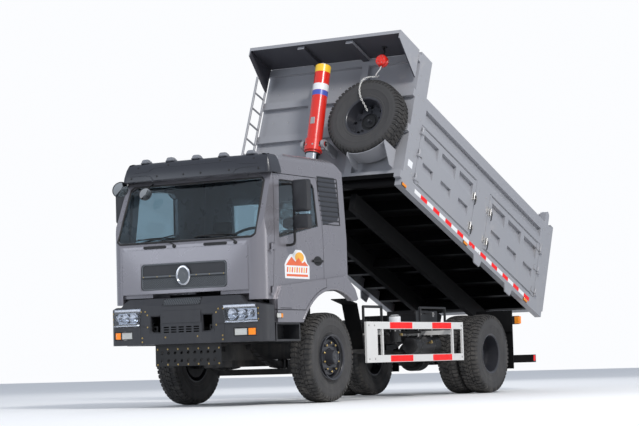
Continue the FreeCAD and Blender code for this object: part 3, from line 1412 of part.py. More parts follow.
def cab_shell():
    nose, back = FRONT_Y - d.cab_front, FRONT_Y + d.cab_back
    tunnel = wide_block(d.tunnel_half_width, nose - d.overrun, back + d.overrun,
                        d.cab_sill_z - d.overrun, d.tunnel_z)
    chin = wide_block(d.nose_flat_half_width, nose - d.overrun, nose + d.firewall - d.cab_wall,
                      d.cab_sill_z, d.lid_bottom_z)
    swing = round_bar(-d.nose_flat_half_width, FRONT_Y - d.cab_pivot_front, d.cab_pivot_z,
                      d.cab_swing_radius, d.nose_flat_half_width * 2, ALONG_X)
    lid_recess = cut(lid_prism(ZERO), cab_form(d.lid_wall + d.seat_gap))
    louvre_recess = both_sides(cut(louvre_prism(ZERO), cab_form(d.lid_wall + d.seat_gap)))
    doors = both_sides(door_prism(d.panel_gap, d.cab_half_width - d.side_lean * 4))
    flares = [cut(thing, *doors) for thing in both_sides(flare())]
    body = fuse(cab_form(ZERO), *flares)
    shell = cut(body, cab_space(ZERO), tunnel, chin, swing, lid_recess, *louvre_recess, *doors,
                *both_sides(hinge_pockets()), screen_prism(ZERO), rear_window_prism(ZERO))
    pins = both_sides(round_bar(d.frame_half_width, FRONT_Y - d.cab_pivot_front, d.cab_pivot_z,
                                d.cab_pin_radius + d.seat_gap, d.cab_lug_x, ALONG_X))
    hinges = both_sides(fuse(*[hinge_pin(d.door_hinge_x, FRONT_Y - d.door_hinge_front, z, -1)
                               for z in cab_hinge_heights()]))
    return cut(fuse(shell, *both_sides(cab_lug()), *hinges), *pins)


def hinge_pockets():
    """Room in the shell's skin for the door's barrels and leaves."""
    x, y = d.door_hinge_x, FRONT_Y - d.door_hinge_front
    near, far = d.hinge_radius + d.panel_gap, d.hinge_height * 1.5
    return fuse(*[block(x - d.hinge_radius * 1.6 - d.panel_gap, x + d.overrun, y - near, y + far,
                        z - d.panel_gap, z + d.hinge_height + d.panel_gap) for z in cab_hinge_heights()])


def cab_hinge_heights():
    return d.cab_corner_z + d.hinge_height, d.window_low_front_z - d.hinge_height * 2


def hinge_pin(x, y, z, side):
    """Fixed half of a hinge: a plate below the barrel and its pin; side says where it is fixed along Y."""
    reach = d.hinge_radius * 3
    if side < 0:
        plate = block(x - d.hinge_radius * 2, x + d.hinge_radius, y - reach, y, z - d.hinge_radius * 2,
                      z - d.seat_gap)
    else:
        plate = block(x - d.hinge_radius * 2, x + d.hinge_radius, y, y + reach, z - d.hinge_radius * 2,
                      z - d.seat_gap)
    return fuse(plate, round_bar(x, y, z - d.hinge_radius * 2, d.hinge_pin_radius,
                                 d.hinge_height + d.hinge_radius * 2))


def hinge_barrel(x, y, z, side, reach):
    """Moving half of a hinge: a barrel round the pin and a leaf to the door."""
    barrel = round_bar(x, y, z, d.hinge_radius, d.hinge_height)
    near, far = (y, y + reach) if side < 0 else (y - reach, y)
    leaf = block(x - d.hinge_radius * 1.6, x - d.hinge_radius / 2, near, far, z, z + d.hinge_height)
    return fuse(barrel, leaf)


def cab_door(side):
    inner = d.cab_half_width - d.side_lean * 4
    hollow = block(inner - d.overrun, d.cab_half_width - d.door_wall, FRONT_Y - d.cab_front,
                   FRONT_Y + d.cab_back, d.door_bottom_z - d.overrun, d.waist_z)
    panel = cut(common(door_prism(ZERO, inner), cab_form(ZERO)), cab_form(d.door_wall), hollow)
    crest = common(flare(), door_prism(ZERO, inner))
    x, y = d.door_hinge_x, FRONT_Y - d.door_hinge_front
    barrels = [hinge_barrel(x, y, z, -1, d.hinge_height * 1.5) for z in cab_hinge_heights()]
    bores = [round_bar(x, y, z - d.overrun, d.hinge_pin_radius + d.seat_gap, d.hinge_height + d.overrun * 2)
             for z in cab_hinge_heights()]
    door = cut(fuse(panel, crest, *barrels), window_prism(ZERO, inner), *bores)
    return door if side > 0 else mirrored(door)


def door_glass(side):
    pane = common(window_prism(d.seat_gap, d.cab_half_width / 2),
                  cut(cab_form(d.glass_set_in * 2), cab_form(d.glass_set_in * 2 + d.glass_wall)))
    return pane if side > 0 else mirrored(pane)


def door_mirror(side):
    """Two mirror housings on a tube, held by two arms at the door's front edge."""
    x, y = d.mirror_x, FRONT_Y - d.mirror_front
    half, deep = d.mirror_width / 2, d.mirror_depth
    tube_y = y + deep / 2
    tube_x = x - half
    radius = d.mirror_arm_radius
    low, high = d.small_mirror_low_z - d.mirror_width, d.mirror_high_z - radius
    parts = [block(x - half, x + half, y, y + deep, d.mirror_low_z, d.mirror_high_z),
             block(x - half, x + half, y, y + deep, d.small_mirror_low_z, d.small_mirror_high_z),
             round_bar(tube_x, tube_y, low, radius, high - low)]
    for z in (low, high):
        parts.append(round_bar(d.cab_half_width - d.side_lean, tube_y, z, radius,
                               tube_x - d.cab_half_width + d.side_lean, ALONG_X))
        parts.append(doc_ball(tube_x, tube_y, z, radius))
    mirror = cut(fuse(*parts), cab_form(-d.seat_gap))
    return mirror if side > 0 else mirrored(mirror)


def sun_visor():
    """Leaning plate above the windscreen on three brackets, and five marker lamps."""
    nose = FRONT_Y - d.cab_front
    low_y, high_y = nose + d.screen_lean - d.visor_reach, nose + d.brow_lean - d.overrun
    wall = d.visor_wall
    plate = side_plate(-d.visor_half_width, d.visor_half_width, [
        (low_y, d.visor_low_z), (low_y + wall, d.visor_low_z), (high_y + wall, d.visor_high_z - wall),
        (high_y, d.visor_high_z)])
    brackets = []
    for share in (-0.8, 0, 0.8):
        x = d.visor_half_width * share
        brackets.append(block(x - wall, x + wall, low_y + d.visor_reach * 0.75, high_y + d.roof_back_lean,
                              d.brow_z - wall, d.brow_z + wall))
    visor = cut(fuse(plate, *brackets), cab_form(-d.seat_gap))
    lamps = []
    for share in (-0.76, -0.38, 0, 0.38, 0.76):
        lamps.append(tapered_bar(d.visor_half_width * share, nose + d.roof_front_lean + d.marker_radius * 2,
                                 d.roof_z + d.seat_gap, d.marker_radius * 1.4, d.marker_radius,
                                 d.marker_radius))
    return group(visor, *lamps)


def cab_steps():
    top = d.cab_sill_z - d.seat_gap
    y0, y1 = FRONT_Y - d.step_front, FRONT_Y - d.step_back
    body = block(d.step_inner_x, d.step_outer_x, y0, y1, d.step_low_z, top)
    pocket = block(d.step_inner_x + d.step_wall, d.step_outer_x + d.overrun, y0 + d.step_wall,
                   y1 - d.step_wall, d.step_low_z + d.step_wall, top - d.step_wall)
    return both_sides(cut(body, pocket))


def seat(x):
    front = FRONT_Y - d.seat_front
    back = front + d.seat_depth
    half, top, wall = d.seat_width / 2, d.seat_cushion_z, d.seat_back_wall
    cushion = block(x - half, x + half, front, back, top - d.seat_cushion_wall, top)
    rest = side_plate(x - half, x + half, [
        (back - d.overrun, top - wall / 2), (back + wall, top - wall),
        (back + wall * 1.8, top + d.seat_back_height),
        (back + wall * 0.8, top + d.seat_back_height)])
    stand = block(x - half / 2, x + half, front + d.overrun * 2, back, d.cab_sill_z,
                  top - d.seat_cushion_wall + d.overrun)
    return common(fuse(cushion, rest, stand), cab_space(d.seat_gap))


def dashboard():
    """Dashboard with the steering column and wheel."""
    nose = FRONT_Y - d.cab_front
    reach = d.cab_half_width - d.door_wall - d.panel_gap * 2
    back = nose + d.firewall + d.dash_depth
    board = wide_block(reach, nose, back, d.dash_low_z, d.dash_top_z)
    y, z = back + d.wheel_ring_radius * 0.7, d.dash_top_z + d.overrun
    turn = FreeCAD.Rotation(FreeCAD.Vector(1, 0, 0), STEERING_WHEEL_TILT)
    column = round_bar(d.seat_x, y, z, d.wheel_ring_wire * 1.5, d.dash_depth, FreeCAD.Rotation(
        FreeCAD.Vector(1, 0, 0), 180 + STEERING_WHEEL_TILT))
    ring = doc.addObject("Part::Torus", "Ring")
    bind(ring, "Radius1", d.wheel_ring_radius)
    bind(ring, "Radius2", d.wheel_ring_wire)
    put(ring, 0, 0, 0)
    spokes = [block(-d.wheel_ring_radius, d.wheel_ring_radius, -d.wheel_ring_wire, d.wheel_ring_wire,
                    -d.wheel_ring_wire / 2, d.wheel_ring_wire / 2),
              round_bar(0, 0, -d.wheel_ring_wire * 2, d.wheel_ring_wire * 3, d.wheel_ring_wire * 3)]
    wheel = moved(fuse(ring, *spokes), d.seat_x, y, z, turn)
    return common(fuse(board, column, wheel), cab_space(d.seat_gap))


def wipers():
    """Two wipers parked on the cowl."""
    parts = []
    y = FRONT_Y - d.cab_front + d.cab_cowl_lean / 2
    z = d.cab_cowl_z + d.overrun
    size = d.visor_wall
    for share in (-0.15, 0.72):
        x = d.nose_flat_half_width * share
        parts.append(fuse(round_bar(x, y - size, z - size, size, d.overrun * 3, ALONG_Y),
                          block(x - d.wiper_length, x, y - size, y, z - size, z),
                          block(x - d.wiper_length * 1.05, x - d.wiper_length * 0.3, y - size / 2,
                                y + size / 2, z - size / 2, z + size * 1.5)))
    return [cut(part, cab_form(-d.seat_gap)) for part in parts]


def front_mirrors():
    """A round mirror and a look-down mirror on the right, each on an arm from the cab's front."""
    parts = []
    for share, z, radius in ((-0.95, d.screen_high_z - d.overrun, d.mirror_depth), (
            -0.6, d.screen_high_z + d.overrun * 1.6, d.mirror_depth * 0.8)):
        x = d.cab_half_width * share
        y = FRONT_Y - d.cab_front + d.screen_lean - d.mirror_depth * 2
        parts.append(fuse(round_bar(x, y, z, radius, d.mirror_depth / 2, ALONG_Y),
                          round_bar(x, y, z, d.mirror_arm_radius / 2, d.mirror_width * 2, ALONG_Y)))
    return [cut(part, cab_form(-d.seat_gap), *mirror_trim()) for part in parts]


def mirror_trim():
    """Whatever of a mirror's arm reaches past the cab's skin."""
    return [wide_block(d.cab_half_width - d.side_lean * 3, FRONT_Y - d.door_front_high, FRONT_Y,
                       d.waist_z, d.roof_z)]


def build_cab():
    node("cab_shell", cab_shell())
    lid = cut(common(lid_prism(d.seat_gap), cab_form(ZERO)), cab_form(d.lid_wall), grille_prism(ZERO))
    node("front_lid", lid)
    node("grille", common(grille_prism(d.seat_gap), cut(cab_form(d.glass_set_in), cab_form(d.lid_wall))))
    pane = cut(cab_form(d.glass_set_in), cab_form(d.glass_set_in + d.glass_wall))
    node("cab_glass", group(common(screen_prism(d.seat_gap), pane),
                            common(rear_window_prism(d.seat_gap), pane)))
    node("sun_visor", sun_visor())
    node("side_louvres", group(*both_sides(cut(common(louvre_prism(d.seat_gap), cab_form(ZERO)),
                                               cab_form(d.lid_wall)))))
    node("cab_steps", group(*cab_steps()))
    node("seats", group(*both_sides(seat(d.seat_x))))
    node("dashboard", dashboard())
    node("wipers", group(*wipers()))
    node("front_mirrors", group(*front_mirrors()))
    for word, side in (("left", 1), ("right", -1)):
        node("door_" + word, cab_door(side))
        node("door_glass_" + word, door_glass(side))
        node("mirror_" + word, door_mirror(side))


# Bed, drawn lowered with its rear pivot at the origin; forward is -Y

def bed_node(label, thing):
    """Put a piece of the bed on the rear pivot, raised as it stands at rest."""
    turn = FreeCAD.Rotation(FreeCAD.Vector(-1, 0, 0), BED_REST_TILT)
    return node(label, moved(thing, 0, FRONT_Y + PIVOT_BACK, d.bed_pivot_z, turn))


def bed_side():
    """Left side: rails, columns, middle post and the ear for the tailgate's pin."""
    outer, inner = d.bed_half_width, d.bed_half_width - d.bed_wall
    front, back = -d.bed_front, d.rear_column_back
    rail_top = d.bed_rail_top
    low_rail = block(inner, outer, front, back, d.bed_rail_bottom, rail_top)
    high_rail = cut(block(inner, outer, front, back, d.bed_door_top, d.bed_top),
                    pressing(-d.front_column_back + d.bay_border / 2, d.rear_column_front - d.bay_border / 2,
                             d.rail_step_z, d.rail_step_depth, d.bay_drop * 0.75))
    gussets = [side_plate(outer - d.cheek_wall, outer, [(-near, d.bed_rail_bottom + d.cheek_wall),
                                                        (d.gusset_length - near,
                                                         d.bed_rail_bottom + d.cheek_wall),
                                                        (d.gusset_length * 0.8 - near, d.gusset_low),
                                                        (d.gusset_length * 0.2 - near, d.gusset_low)])
               for near in (d.gusset_front, d.gusset_rear)]
    columns = [block(inner, outer, front, -d.front_column_back, rail_top, d.bed_front_top),
               block(inner, outer, -d.middle_post_front, -d.middle_post_back, rail_top, d.bed_door_top),
               block(inner, outer, d.rear_column_front, back, rail_top, d.bed_door_top)]
    pin_y, pin_z = d.tailgate_pin_back, d.tailgate_pin_z
    ear_radius = d.tailgate_pin_radius * 3
    ear = fuse(block(inner, outer, pin_y - ear_radius, pin_y + ear_radius, d.bed_top - d.overrun, pin_z),
               round_bar(inner, pin_y, pin_z, ear_radius, d.bed_wall, ALONG_X),
               round_bar(inner - d.tailgate_arm_wall - d.panel_gap, pin_y, pin_z, d.tailgate_pin_radius,
                         d.bed_wall, ALONG_X))
    hinges = [hinge_pin(outer + d.bed_hinge_reach, -d.front_column_back + d.hinge_pin_radius, z, -1)
              for z in bed_hinge_heights()]
    hinges += [hinge_pin(outer + d.bed_hinge_reach, d.rear_column_front - d.hinge_pin_radius, z, 1)
               for z in bed_hinge_heights()]
    return fuse(low_rail, high_rail, *columns, ear, *gussets, *hinges)


def pressing(front, back, top, depth, drop):
    """A wedge to cut: pressed in at its top and running out to the face below."""
    face, clear = d.bed_half_width, d.bed_half_width + d.overrun
    return front_plate(front, back, [(face - depth, top), (face, top - drop), (clear, top - drop),
                                     (clear, top)])


def bed_hinge_heights():
    low, high = d.bed_rail_top, d.bed_door_top
    span = high - low
    return low + span * 0.07, low + span * 0.48, low + span * 0.86


def bed_tub():
    half, inner = d.bed_half_width, d.bed_half_width - d.bed_wall
    front, back = -d.bed_front, d.rear_column_back
    floor = wide_block(inner + d.overrun, front + d.overrun, back, d.bed_floor_z,
                       d.bed_floor_z + d.bed_floor_wall)
    wall = wide_block(half, front, front + d.bed_front_wall, d.bed_rail_bottom, d.bed_front_top)
    parts = [floor, wall]
    count = 9
    for index in range(count):
        y = front + d.bed_front_wall + d.bed_cross_pitch * (index + 0.35)
        parts.append(wide_block(inner + d.overrun, y, y + d.bed_cross_width, d.bed_rail_bottom,
                                d.bed_floor_z + d.bed_floor_wall / 2))
    rib_front = front - d.wall_rib_depth
    for z in (d.bed_rail_bottom + d.bed_wall, d.wall_rib_low, d.wall_rib_high, d.wall_rib_top):
        parts.append(wide_block(half, rib_front, front + d.overrun, z, z + d.wall_rib_width))
    parts += both_sides(block(d.wall_rib_x - d.wall_rib_width / 2, d.wall_rib_x + d.wall_rib_width / 2,
                              rib_front,
                              front + d.overrun, d.bed_rail_bottom + d.bed_wall, d.bed_front_top))
    parts += both_sides(bed_side())
    pin_y, pin_z = -d.lift_forward, d.lift_z
    ear_radius = d.trunnion_radius * 1.8
    near = d.collar_radius + d.panel_gap
    far = d.trunnion_reach - d.panel_gap
    for side in (-1, 1):
        x0, x1 = (near, far) if side > 0 else (-far, -near)
        x0, x1 = d.lift_x + x0, d.lift_x + x1
        parts.append(block(x0, x1, pin_y, front + d.overrun, pin_z - ear_radius, pin_z + ear_radius))
        parts.append(round_bar(x0, pin_y, pin_z, ear_radius, far - near, ALONG_X))
    bore = round_bar(d.lift_x - d.trunnion_reach * 2, pin_y, pin_z, d.trunnion_radius + d.seat_gap,
                     d.trunnion_reach * 4, ALONG_X)
    return cut(fuse(*parts), bore)


def bed_beams():
    """Two long beams on the frame, tied together, with the ears of the rear pivot."""
    inner, outer = d.bed_beam_x - d.bed_beam_width / 2, d.bed_beam_x + d.bed_beam_width / 2
    top = d.bed_rail_bottom - d.seat_gap
    front = -d.bed_front + d.bed_wall + d.bed_cross_width
    back = d.tailgate_pin_back
    parts = []
    for thing in (block(inner, outer, front, back, d.bed_beam_bottom, top),
                  round_bar(inner, 0, 0, d.bed_ear_radius, d.bed_beam_width, ALONG_X)):
        parts += both_sides(thing)
    for share in (0.1, 0.5, 0.9):
        y = front * share
        parts.append(wide_block(inner + d.overrun, y, y + d.bed_cross_width, d.bed_cross_width,
                                top - d.overrun))
    bore = round_bar(-outer - d.overrun, 0, 0, d.bed_pin_radius + d.seat_gap, (outer + d.overrun) * 2,
                     ALONG_X)
    return cut(fuse(*parts), bore)


def canopy():
    """Roof over the cab's back, with a cheek at each side."""
    back = -d.bed_front - d.wall_rib_depth - d.seat_gap
    front = -d.bed_front - d.canopy_reach
    top, low = d.bed_front_top, d.bed_front_top - d.canopy_wall
    half = d.bed_half_width - d.panel_gap
    plate = wide_block(half, front, back, low, top)
    cheek = side_plate(half - d.cheek_wall, half, [
        (back, low - d.canopy_reach * 0.6), (back, low), (front, low), (front, low - d.canopy_wall * 1.5),
        (back - d.canopy_reach * 0.2, low - d.canopy_reach * 0.5)])
    rib = block(d.wall_rib_x - d.wall_rib_width / 2, d.wall_rib_x + d.wall_rib_width / 2,
                front + d.canopy_wall,
                back, low - d.canopy_wall * 0.8, low)
    edge = block(half - d.cheek_wall, half, front, back, low, top)
    return fuse(plate, *both_sides(rib), *both_sides(fuse(cheek, edge)))


def ladder():
    """Climbing ladder ahead of the front wall on the truck's right, ending below the canopy's cheek."""
    radius = d.ladder_tube
    x = -d.bed_half_width + radius * 1.5
    rear = -d.bed_front - d.wall_rib_depth - radius * 2
    front = rear - d.ladder_width
    under = d.bed_front_top - d.canopy_wall
    rear_top, front_top = under - d.canopy_reach * 0.6 - d.panel_gap, under - d.canopy_reach * 0.42
    parts = [round_bar(x, rear, d.ladder_low, radius, rear_top - d.ladder_low),
             round_bar(x, front, d.ladder_low, radius, front_top - d.ladder_low)]
    count = 5
    pitch = (rear_top - d.ladder_low) / count
    for index in range(count):
        parts.append(round_bar(x, front, d.ladder_low + pitch * (index + 0.5), radius * 0.8, d.ladder_width,
                               ALONG_Y))
    for rib in (d.wall_rib_low, d.wall_rib_high):
        parts.append(round_bar(x, rear, rib + d.wall_rib_width / 2, radius * 0.8, radius * 2 - d.seat_gap,
                               ALONG_Y))
    return fuse(*parts)


def spare_place():
    return d.spare_x, -d.bed_front - d.spare_set_off - d.tyre_width / 2, d.spare_z


def spare_rim():
    seat_radius = d.bead_radius - d.seat_gap
    inside = seat_radius - d.rim_wall
    half, wall = d.rim_width / 2, d.disc_wall
    hole = d.nut_circle_radius - d.hand_hole_radius
    profile = [(-half, seat_radius), (half, seat_radius), (half, inside), (d.disc_rise + wall, inside - wall),
               (d.disc_rise + wall, hole), (d.disc_rise, hole), (d.disc_rise, inside - wall * 2),
               (-half, inside)]
    return cut(spin_about_x(profile), *hand_holes(0, d.rim_width))


def spare_carrier():
    """Cradle under the spare wheel and a post to its disc."""
    x, y, z = spare_place()
    face = -d.bed_front - d.wall_rib_depth - d.seat_gap
    cradle = block(x - d.tyre_width / 2, x + d.tyre_width * 1.4, y - d.tyre_width / 2, face,
                   d.wall_rib_low - d.tyre_radius, d.wall_rib_low - d.tyre_width)
    cradle = cut(cradle, round_bar(x, y - d.tyre_width, z, d.tyre_radius + d.seat_gap, d.tyre_width * 2,
                                   ALONG_Y))
    disc_face = y + d.disc_rise + d.disc_wall + d.seat_gap
    post = cut(round_bar(x, disc_face, z, d.nut_circle_radius + d.hand_hole_radius / 2,
                         -d.bed_front - disc_face,
                         ALONG_Y), bed_rib_room())
    return group(cradle, post)


def bed_rib_room():
    """The wall's rib that the spare wheel's post meets, with its gap."""
    z0, z1 = d.wall_rib_low - d.seat_gap, d.wall_rib_low + d.wall_rib_width + d.seat_gap
    return wide_block(d.bed_half_width, -d.bed_front - d.wall_rib_depth - d.seat_gap, 0, z0, z1)


def side_door(front, back, hinge_side):
    """A bed side door between two columns; hinge_side -1 hangs it on the front one."""
    outer, inner = d.bed_half_width, d.bed_half_width - d.bed_door_wall
    gap = d.panel_gap
    panel = block(inner, outer, front + gap, back - gap, d.bed_rail_top + gap, d.bed_door_top - gap)
    x = outer + d.bed_hinge_reach
    y = front + d.hinge_pin_radius if hinge_side < 0 else back - d.hinge_pin_radius
    barrels = [hinge_barrel(x, y, z, hinge_side, d.hinge_height * 1.5) for z in bed_hinge_heights()]
    bores = [round_bar(x, y, z - d.overrun, d.hinge_pin_radius + d.seat_gap, d.hinge_height + d.overrun * 2)
             for z in bed_hinge_heights()]
    bays = 3
    width = (as_size(back) - front - gap * 2 - d.bay_border * 2 - d.bay_column * (bays - 1)) / bays
    top = d.bed_door_top - gap - d.bay_border
    middle = d.bed_rail_top + (top - d.bed_rail_top) / 2
    dents = []
    for bay in range(bays):
        y0 = front + gap + d.bay_border + (width + d.bay_column) * bay
        dents.append(pressing(y0, y0 + width, top, d.bay_depth, d.bay_drop))
        dents.append(pressing(y0 + width * 0.15, y0 + width * 0.85, middle, d.bay_depth * 0.8,
                              d.bay_drop * 0.7))
    return cut(fuse(panel, *barrels), *bores, *dents)


def tailgate():
    back = d.rear_column_back + d.panel_gap
    gate = wide_block(d.tailgate_half_width, back, back + d.tailgate_wall, d.tailgate_low, d.tailgate_top)
    hollow = wide_block(d.tailgate_half_width - d.tailgate_wall, back + d.tailgate_wall / 3,
                        back + d.tailgate_wall + d.overrun, d.tailgate_low + d.tailgate_wall,
                        d.tailgate_top - d.tailgate_wall)
    outer = d.bed_half_width - d.bed_wall - d.panel_gap
    inner = outer - d.tailgate_arm_wall
    y, z, radius = d.tailgate_pin_back, d.tailgate_pin_z, d.tailgate_pin_radius * 2
    arm = side_plate(inner, outer, [(y, z - radius), (back + d.tailgate_wall / 2,
                                                      d.tailgate_top - radius * 2),
                                    (back + d.tailgate_wall / 2, d.tailgate_top), (y, z + radius)])
    arm = fuse(arm, round_bar(inner, y, z, radius, d.tailgate_arm_wall, ALONG_X))
    bars = []
    for share in (-0.5, 0, 0.5):
        x = d.tailgate_half_width * share
        bars.append(block(x - d.tailgate_wall / 2, x + d.tailgate_wall / 2, back, back + d.tailgate_wall,
                          d.tailgate_low, d.tailgate_top))
    bore = round_bar(-d.bed_half_width, y, z, d.tailgate_pin_radius + d.seat_gap, d.bed_half_width * 2,
                     ALONG_X)
    return cut(fuse(cut(gate, hollow), *bars, *both_sides(arm)), bore)


def build_bed():
    bed_node("bed_tub", bed_tub())
    bed_node("bed_beams", bed_beams())
    bed_node("canopy", canopy())
    bed_node("ladder", ladder())
    bed_node("spare_carrier", spare_carrier())
    x, y, z = spare_place()
    quarter = FreeCAD.Rotation(FreeCAD.Vector(0, 0, 1), 90)
    bed_node("spare_tyre", moved(tyre(0, 0, 0), x, y, z, quarter))
    bed_node("spare_rim", moved(spare_rim(), x, y, z, quarter))
    places = {"front": (-d.front_column_back, -d.middle_post_front, -1),
              "rear": (-d.middle_post_back, d.rear_column_front, 1)}
    for end, (front, back, hinge_side) in places.items():
        left = side_door(front, back, hinge_side)
        bed_node("side_door_%s_left" % end, left)
        bed_node("side_door_%s_right" % end, mirrored(side_door(front, back, hinge_side)))
    bed_node("tailgate", tailgate())


# Lifting cylinder, drawn upright with its trunnion at the origin

def lift_places():
    """Trunnion at rest, its lean in degrees and its distance from the foot."""
    tilt = math.radians(BED_REST_TILT)
    y = FRONT_Y + PIVOT_BACK - d.lift_forward * math.cos(tilt) + d.lift_z * math.sin(tilt)
    z = d.bed_pivot_z + d.lift_forward * math.sin(tilt) + d.lift_z * math.cos(tilt)
    run = y.value - (FRONT_Y + d.lift_foot_back).value
    rise = z.value - d.lift_foot_z.value
    return y, z, math.degrees(math.atan2(run, rise)), math.hypot(run, rise)


def build_lifting_cylinder():
    y, z, lean, span = lift_places()
    turn = FreeCAD.Rotation(FreeCAD.Vector(-1, 0, 0), lean)

    def lift_node(label, thing):
        return node(label, moved(thing, d.lift_x, y, z, turn))

    stages = 4
    reach = d.lift_z * (span / d.lift_z.value)
    step = (reach - d.cover_below) / stages
    length = d.cover_below + d.cover_above
    cover = fuse(round_bar(0, 0, -d.cover_below, d.cover_radius, length),
                 round_bar(0, 0, -d.collar_height * 0.6, d.collar_radius, d.collar_height),
                 round_bar(-d.trunnion_reach, 0, 0, d.trunnion_radius, d.trunnion_reach * 2, ALONG_X))
    bore_radius = d.cover_radius - d.cover_wall
    lift_node("cylinder_cover", cut(cover, round_bar(0, 0, -d.cover_below - d.overrun, bore_radius,
                                                     length + d.overrun - d.cover_wall)))
    radius = bore_radius
    for index in range(1, stages):
        radius = radius - d.sleeve_gap
        low = -d.cover_below - step * index
        sleeve = round_bar(0, 0, low, radius, d.sleeve_length)
        hole = round_bar(0, 0, low - d.overrun, radius - d.sleeve_wall, d.sleeve_length + d.overrun * 2)
        lift_node("cylinder_sleeve_%d" % index, cut(sleeve, hole))
        radius = radius - d.sleeve_wall
    rod = fuse(round_bar(0, 0, -reach, d.rod_radius, d.sleeve_length + d.overrun),
               round_bar(-d.foot_eye_width / 2, 0, -reach, d.foot_eye_radius, d.foot_eye_width, ALONG_X))
    slim = cut(round_bar(0, 0, -reach - d.foot_eye_radius, d.rod_radius * 1.5, d.foot_eye_radius * 4),
               block(-d.foot_eye_width / 2, d.foot_eye_width / 2, -d.rod_radius * 2, d.rod_radius * 2,
                     -reach - d.foot_eye_radius * 2, -reach + d.foot_eye_radius * 4))
    lift_node("cylinder_rod", cut(rod, slim))


build_chassis()
build_running_gear()
build_wheels()
build_cab()
build_bed()
build_lifting_cylinder()
doc.recompute()

# Check every object, then write one file for each node
unsolved = [thing for thing in doc.Objects if "Invalid" in thing.State or "Error" in thing.State]
if unsolved:
    raise RuntimeError("not solved: " + ", ".join(thing.Label for thing in unsolved))
broken = [thing for thing in NODES if thing.Shape.isNull() or not thing.Shape.isValid()]
if broken:
    raise RuntimeError("bad shape: " + ", ".join(thing.Label for thing in broken))
os.makedirs("parts", exist_ok=True)
for thing in NODES:
    thing.Shape.exportStep("parts/" + thing.Label + ".step")
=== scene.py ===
import json
from itertools import product
from math import asin, atan2, copysign, cos, exp, log, pi, radians, sin, sqrt

import bmesh
import bpy
from mathutils import Matrix, Vector
from mathutils.bvhtree import BVHTree


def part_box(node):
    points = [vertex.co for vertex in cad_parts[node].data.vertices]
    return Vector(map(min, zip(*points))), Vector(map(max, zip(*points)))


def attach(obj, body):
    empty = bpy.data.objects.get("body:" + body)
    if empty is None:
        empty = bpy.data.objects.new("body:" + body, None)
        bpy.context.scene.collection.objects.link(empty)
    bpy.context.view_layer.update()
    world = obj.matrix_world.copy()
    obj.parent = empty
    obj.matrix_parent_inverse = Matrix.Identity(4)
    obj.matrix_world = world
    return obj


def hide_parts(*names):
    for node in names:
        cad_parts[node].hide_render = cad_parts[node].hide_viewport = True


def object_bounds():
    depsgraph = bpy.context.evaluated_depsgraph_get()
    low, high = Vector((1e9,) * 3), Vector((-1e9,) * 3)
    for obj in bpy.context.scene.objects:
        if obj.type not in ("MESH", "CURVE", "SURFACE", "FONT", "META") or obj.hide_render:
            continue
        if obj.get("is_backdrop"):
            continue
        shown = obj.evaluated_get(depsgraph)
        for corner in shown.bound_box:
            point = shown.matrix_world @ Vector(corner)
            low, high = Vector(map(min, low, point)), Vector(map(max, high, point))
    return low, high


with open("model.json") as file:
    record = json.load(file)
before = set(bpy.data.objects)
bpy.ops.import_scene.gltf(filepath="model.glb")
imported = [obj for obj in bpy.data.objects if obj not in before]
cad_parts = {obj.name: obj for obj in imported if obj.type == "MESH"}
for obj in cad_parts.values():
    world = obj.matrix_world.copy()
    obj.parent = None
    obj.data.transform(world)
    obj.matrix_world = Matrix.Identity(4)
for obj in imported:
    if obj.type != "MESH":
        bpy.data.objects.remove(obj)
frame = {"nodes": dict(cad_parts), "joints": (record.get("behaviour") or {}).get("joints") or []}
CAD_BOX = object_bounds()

bl_info = {
    "name": "Dump truck",
    "version": (1, 0, 0),
    "blender": (4, 5, 0),
    "location": "3D View > Sidebar > Truck",
    "description": "Dresses a two-axle tipping truck around its packed solids",
    "category": "Object",
}

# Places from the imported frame, in metres
NODES = frame["nodes"]
JOINTS = {joint["name"]: joint for joint in frame["joints"]}


def low_high(node):
    low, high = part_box(node)
    return Vector(low), Vector(high)


BED_TILT = radians(21.74)
BED_PIVOT = Vector(JOINTS["bed_tilt"]["pos_m"])
LIFT_TOP = Vector(JOINTS["lift_trunnion"]["pos_m"])
LIFT_DOWN = Vector(JOINTS["lift_stage_1"]["axis"])
BED = Matrix.Translation(BED_PIVOT) @ Matrix.Rotation(-BED_TILT, 4, "X")
LIFT = Matrix.Translation(LIFT_TOP) @ Matrix.Rotation(atan2(LIFT_DOWN.y, -LIFT_DOWN.z), 4, "X")
BED_UP, BED_BACK = BED.to_3x3() @ Vector((0, 0, 1)), BED.to_3x3() @ Vector((0, 1, 0))
HERE = Matrix.Identity(4)
FLIP = Matrix.Diagonal((-1, 1, 1, 1))
NONE = (0, 0, 0)
TO_FRONT, TO_BACK, DOWN = (0, -1, 0), (0, 1, 0), (0, 0, -1)
SIDES = (("left", 1), ("right", -1))
AHEAD = -4.3  # y of a place ahead of the whole truck, where rays toward it start
BESIDE = 1.6  # x of such a place beside it


def at(x, y, z):
    return Matrix.Translation((x, y, z))


def spin(degrees, axis):
    return Matrix.Rotation(radians(degrees), 4, axis)


# Shader groups and finishes

GROUPS = {}
MATERIALS = {}
GREY = (0.8, 0.8, 0.8, 1)
BUMP_DEPTH = 0.01  # metres of relief for a bump of 1


def group_with(name, inputs, outputs, kind="ShaderNodeTree"):
    """An empty node group with named sockets; returns it with what it is given and its last node."""
    tree = bpy.data.node_groups.new(name, kind)
    for label, socket, default in inputs:
        made = tree.interface.new_socket(name=label, in_out="INPUT", socket_type="NodeSocket" + socket)
        if default is not None:
            made.default_value = default
    for label, socket in outputs:
        tree.interface.new_socket(name=label, in_out="OUTPUT", socket_type="NodeSocket" + socket)
    return tree, tree.nodes.new("NodeGroupInput").outputs, tree.nodes.new("NodeGroupOutput")


def group_of(build):
    """The node group that a function makes, made once."""
    if build not in GROUPS:
        GROUPS[build] = build()
    return GROUPS[build]


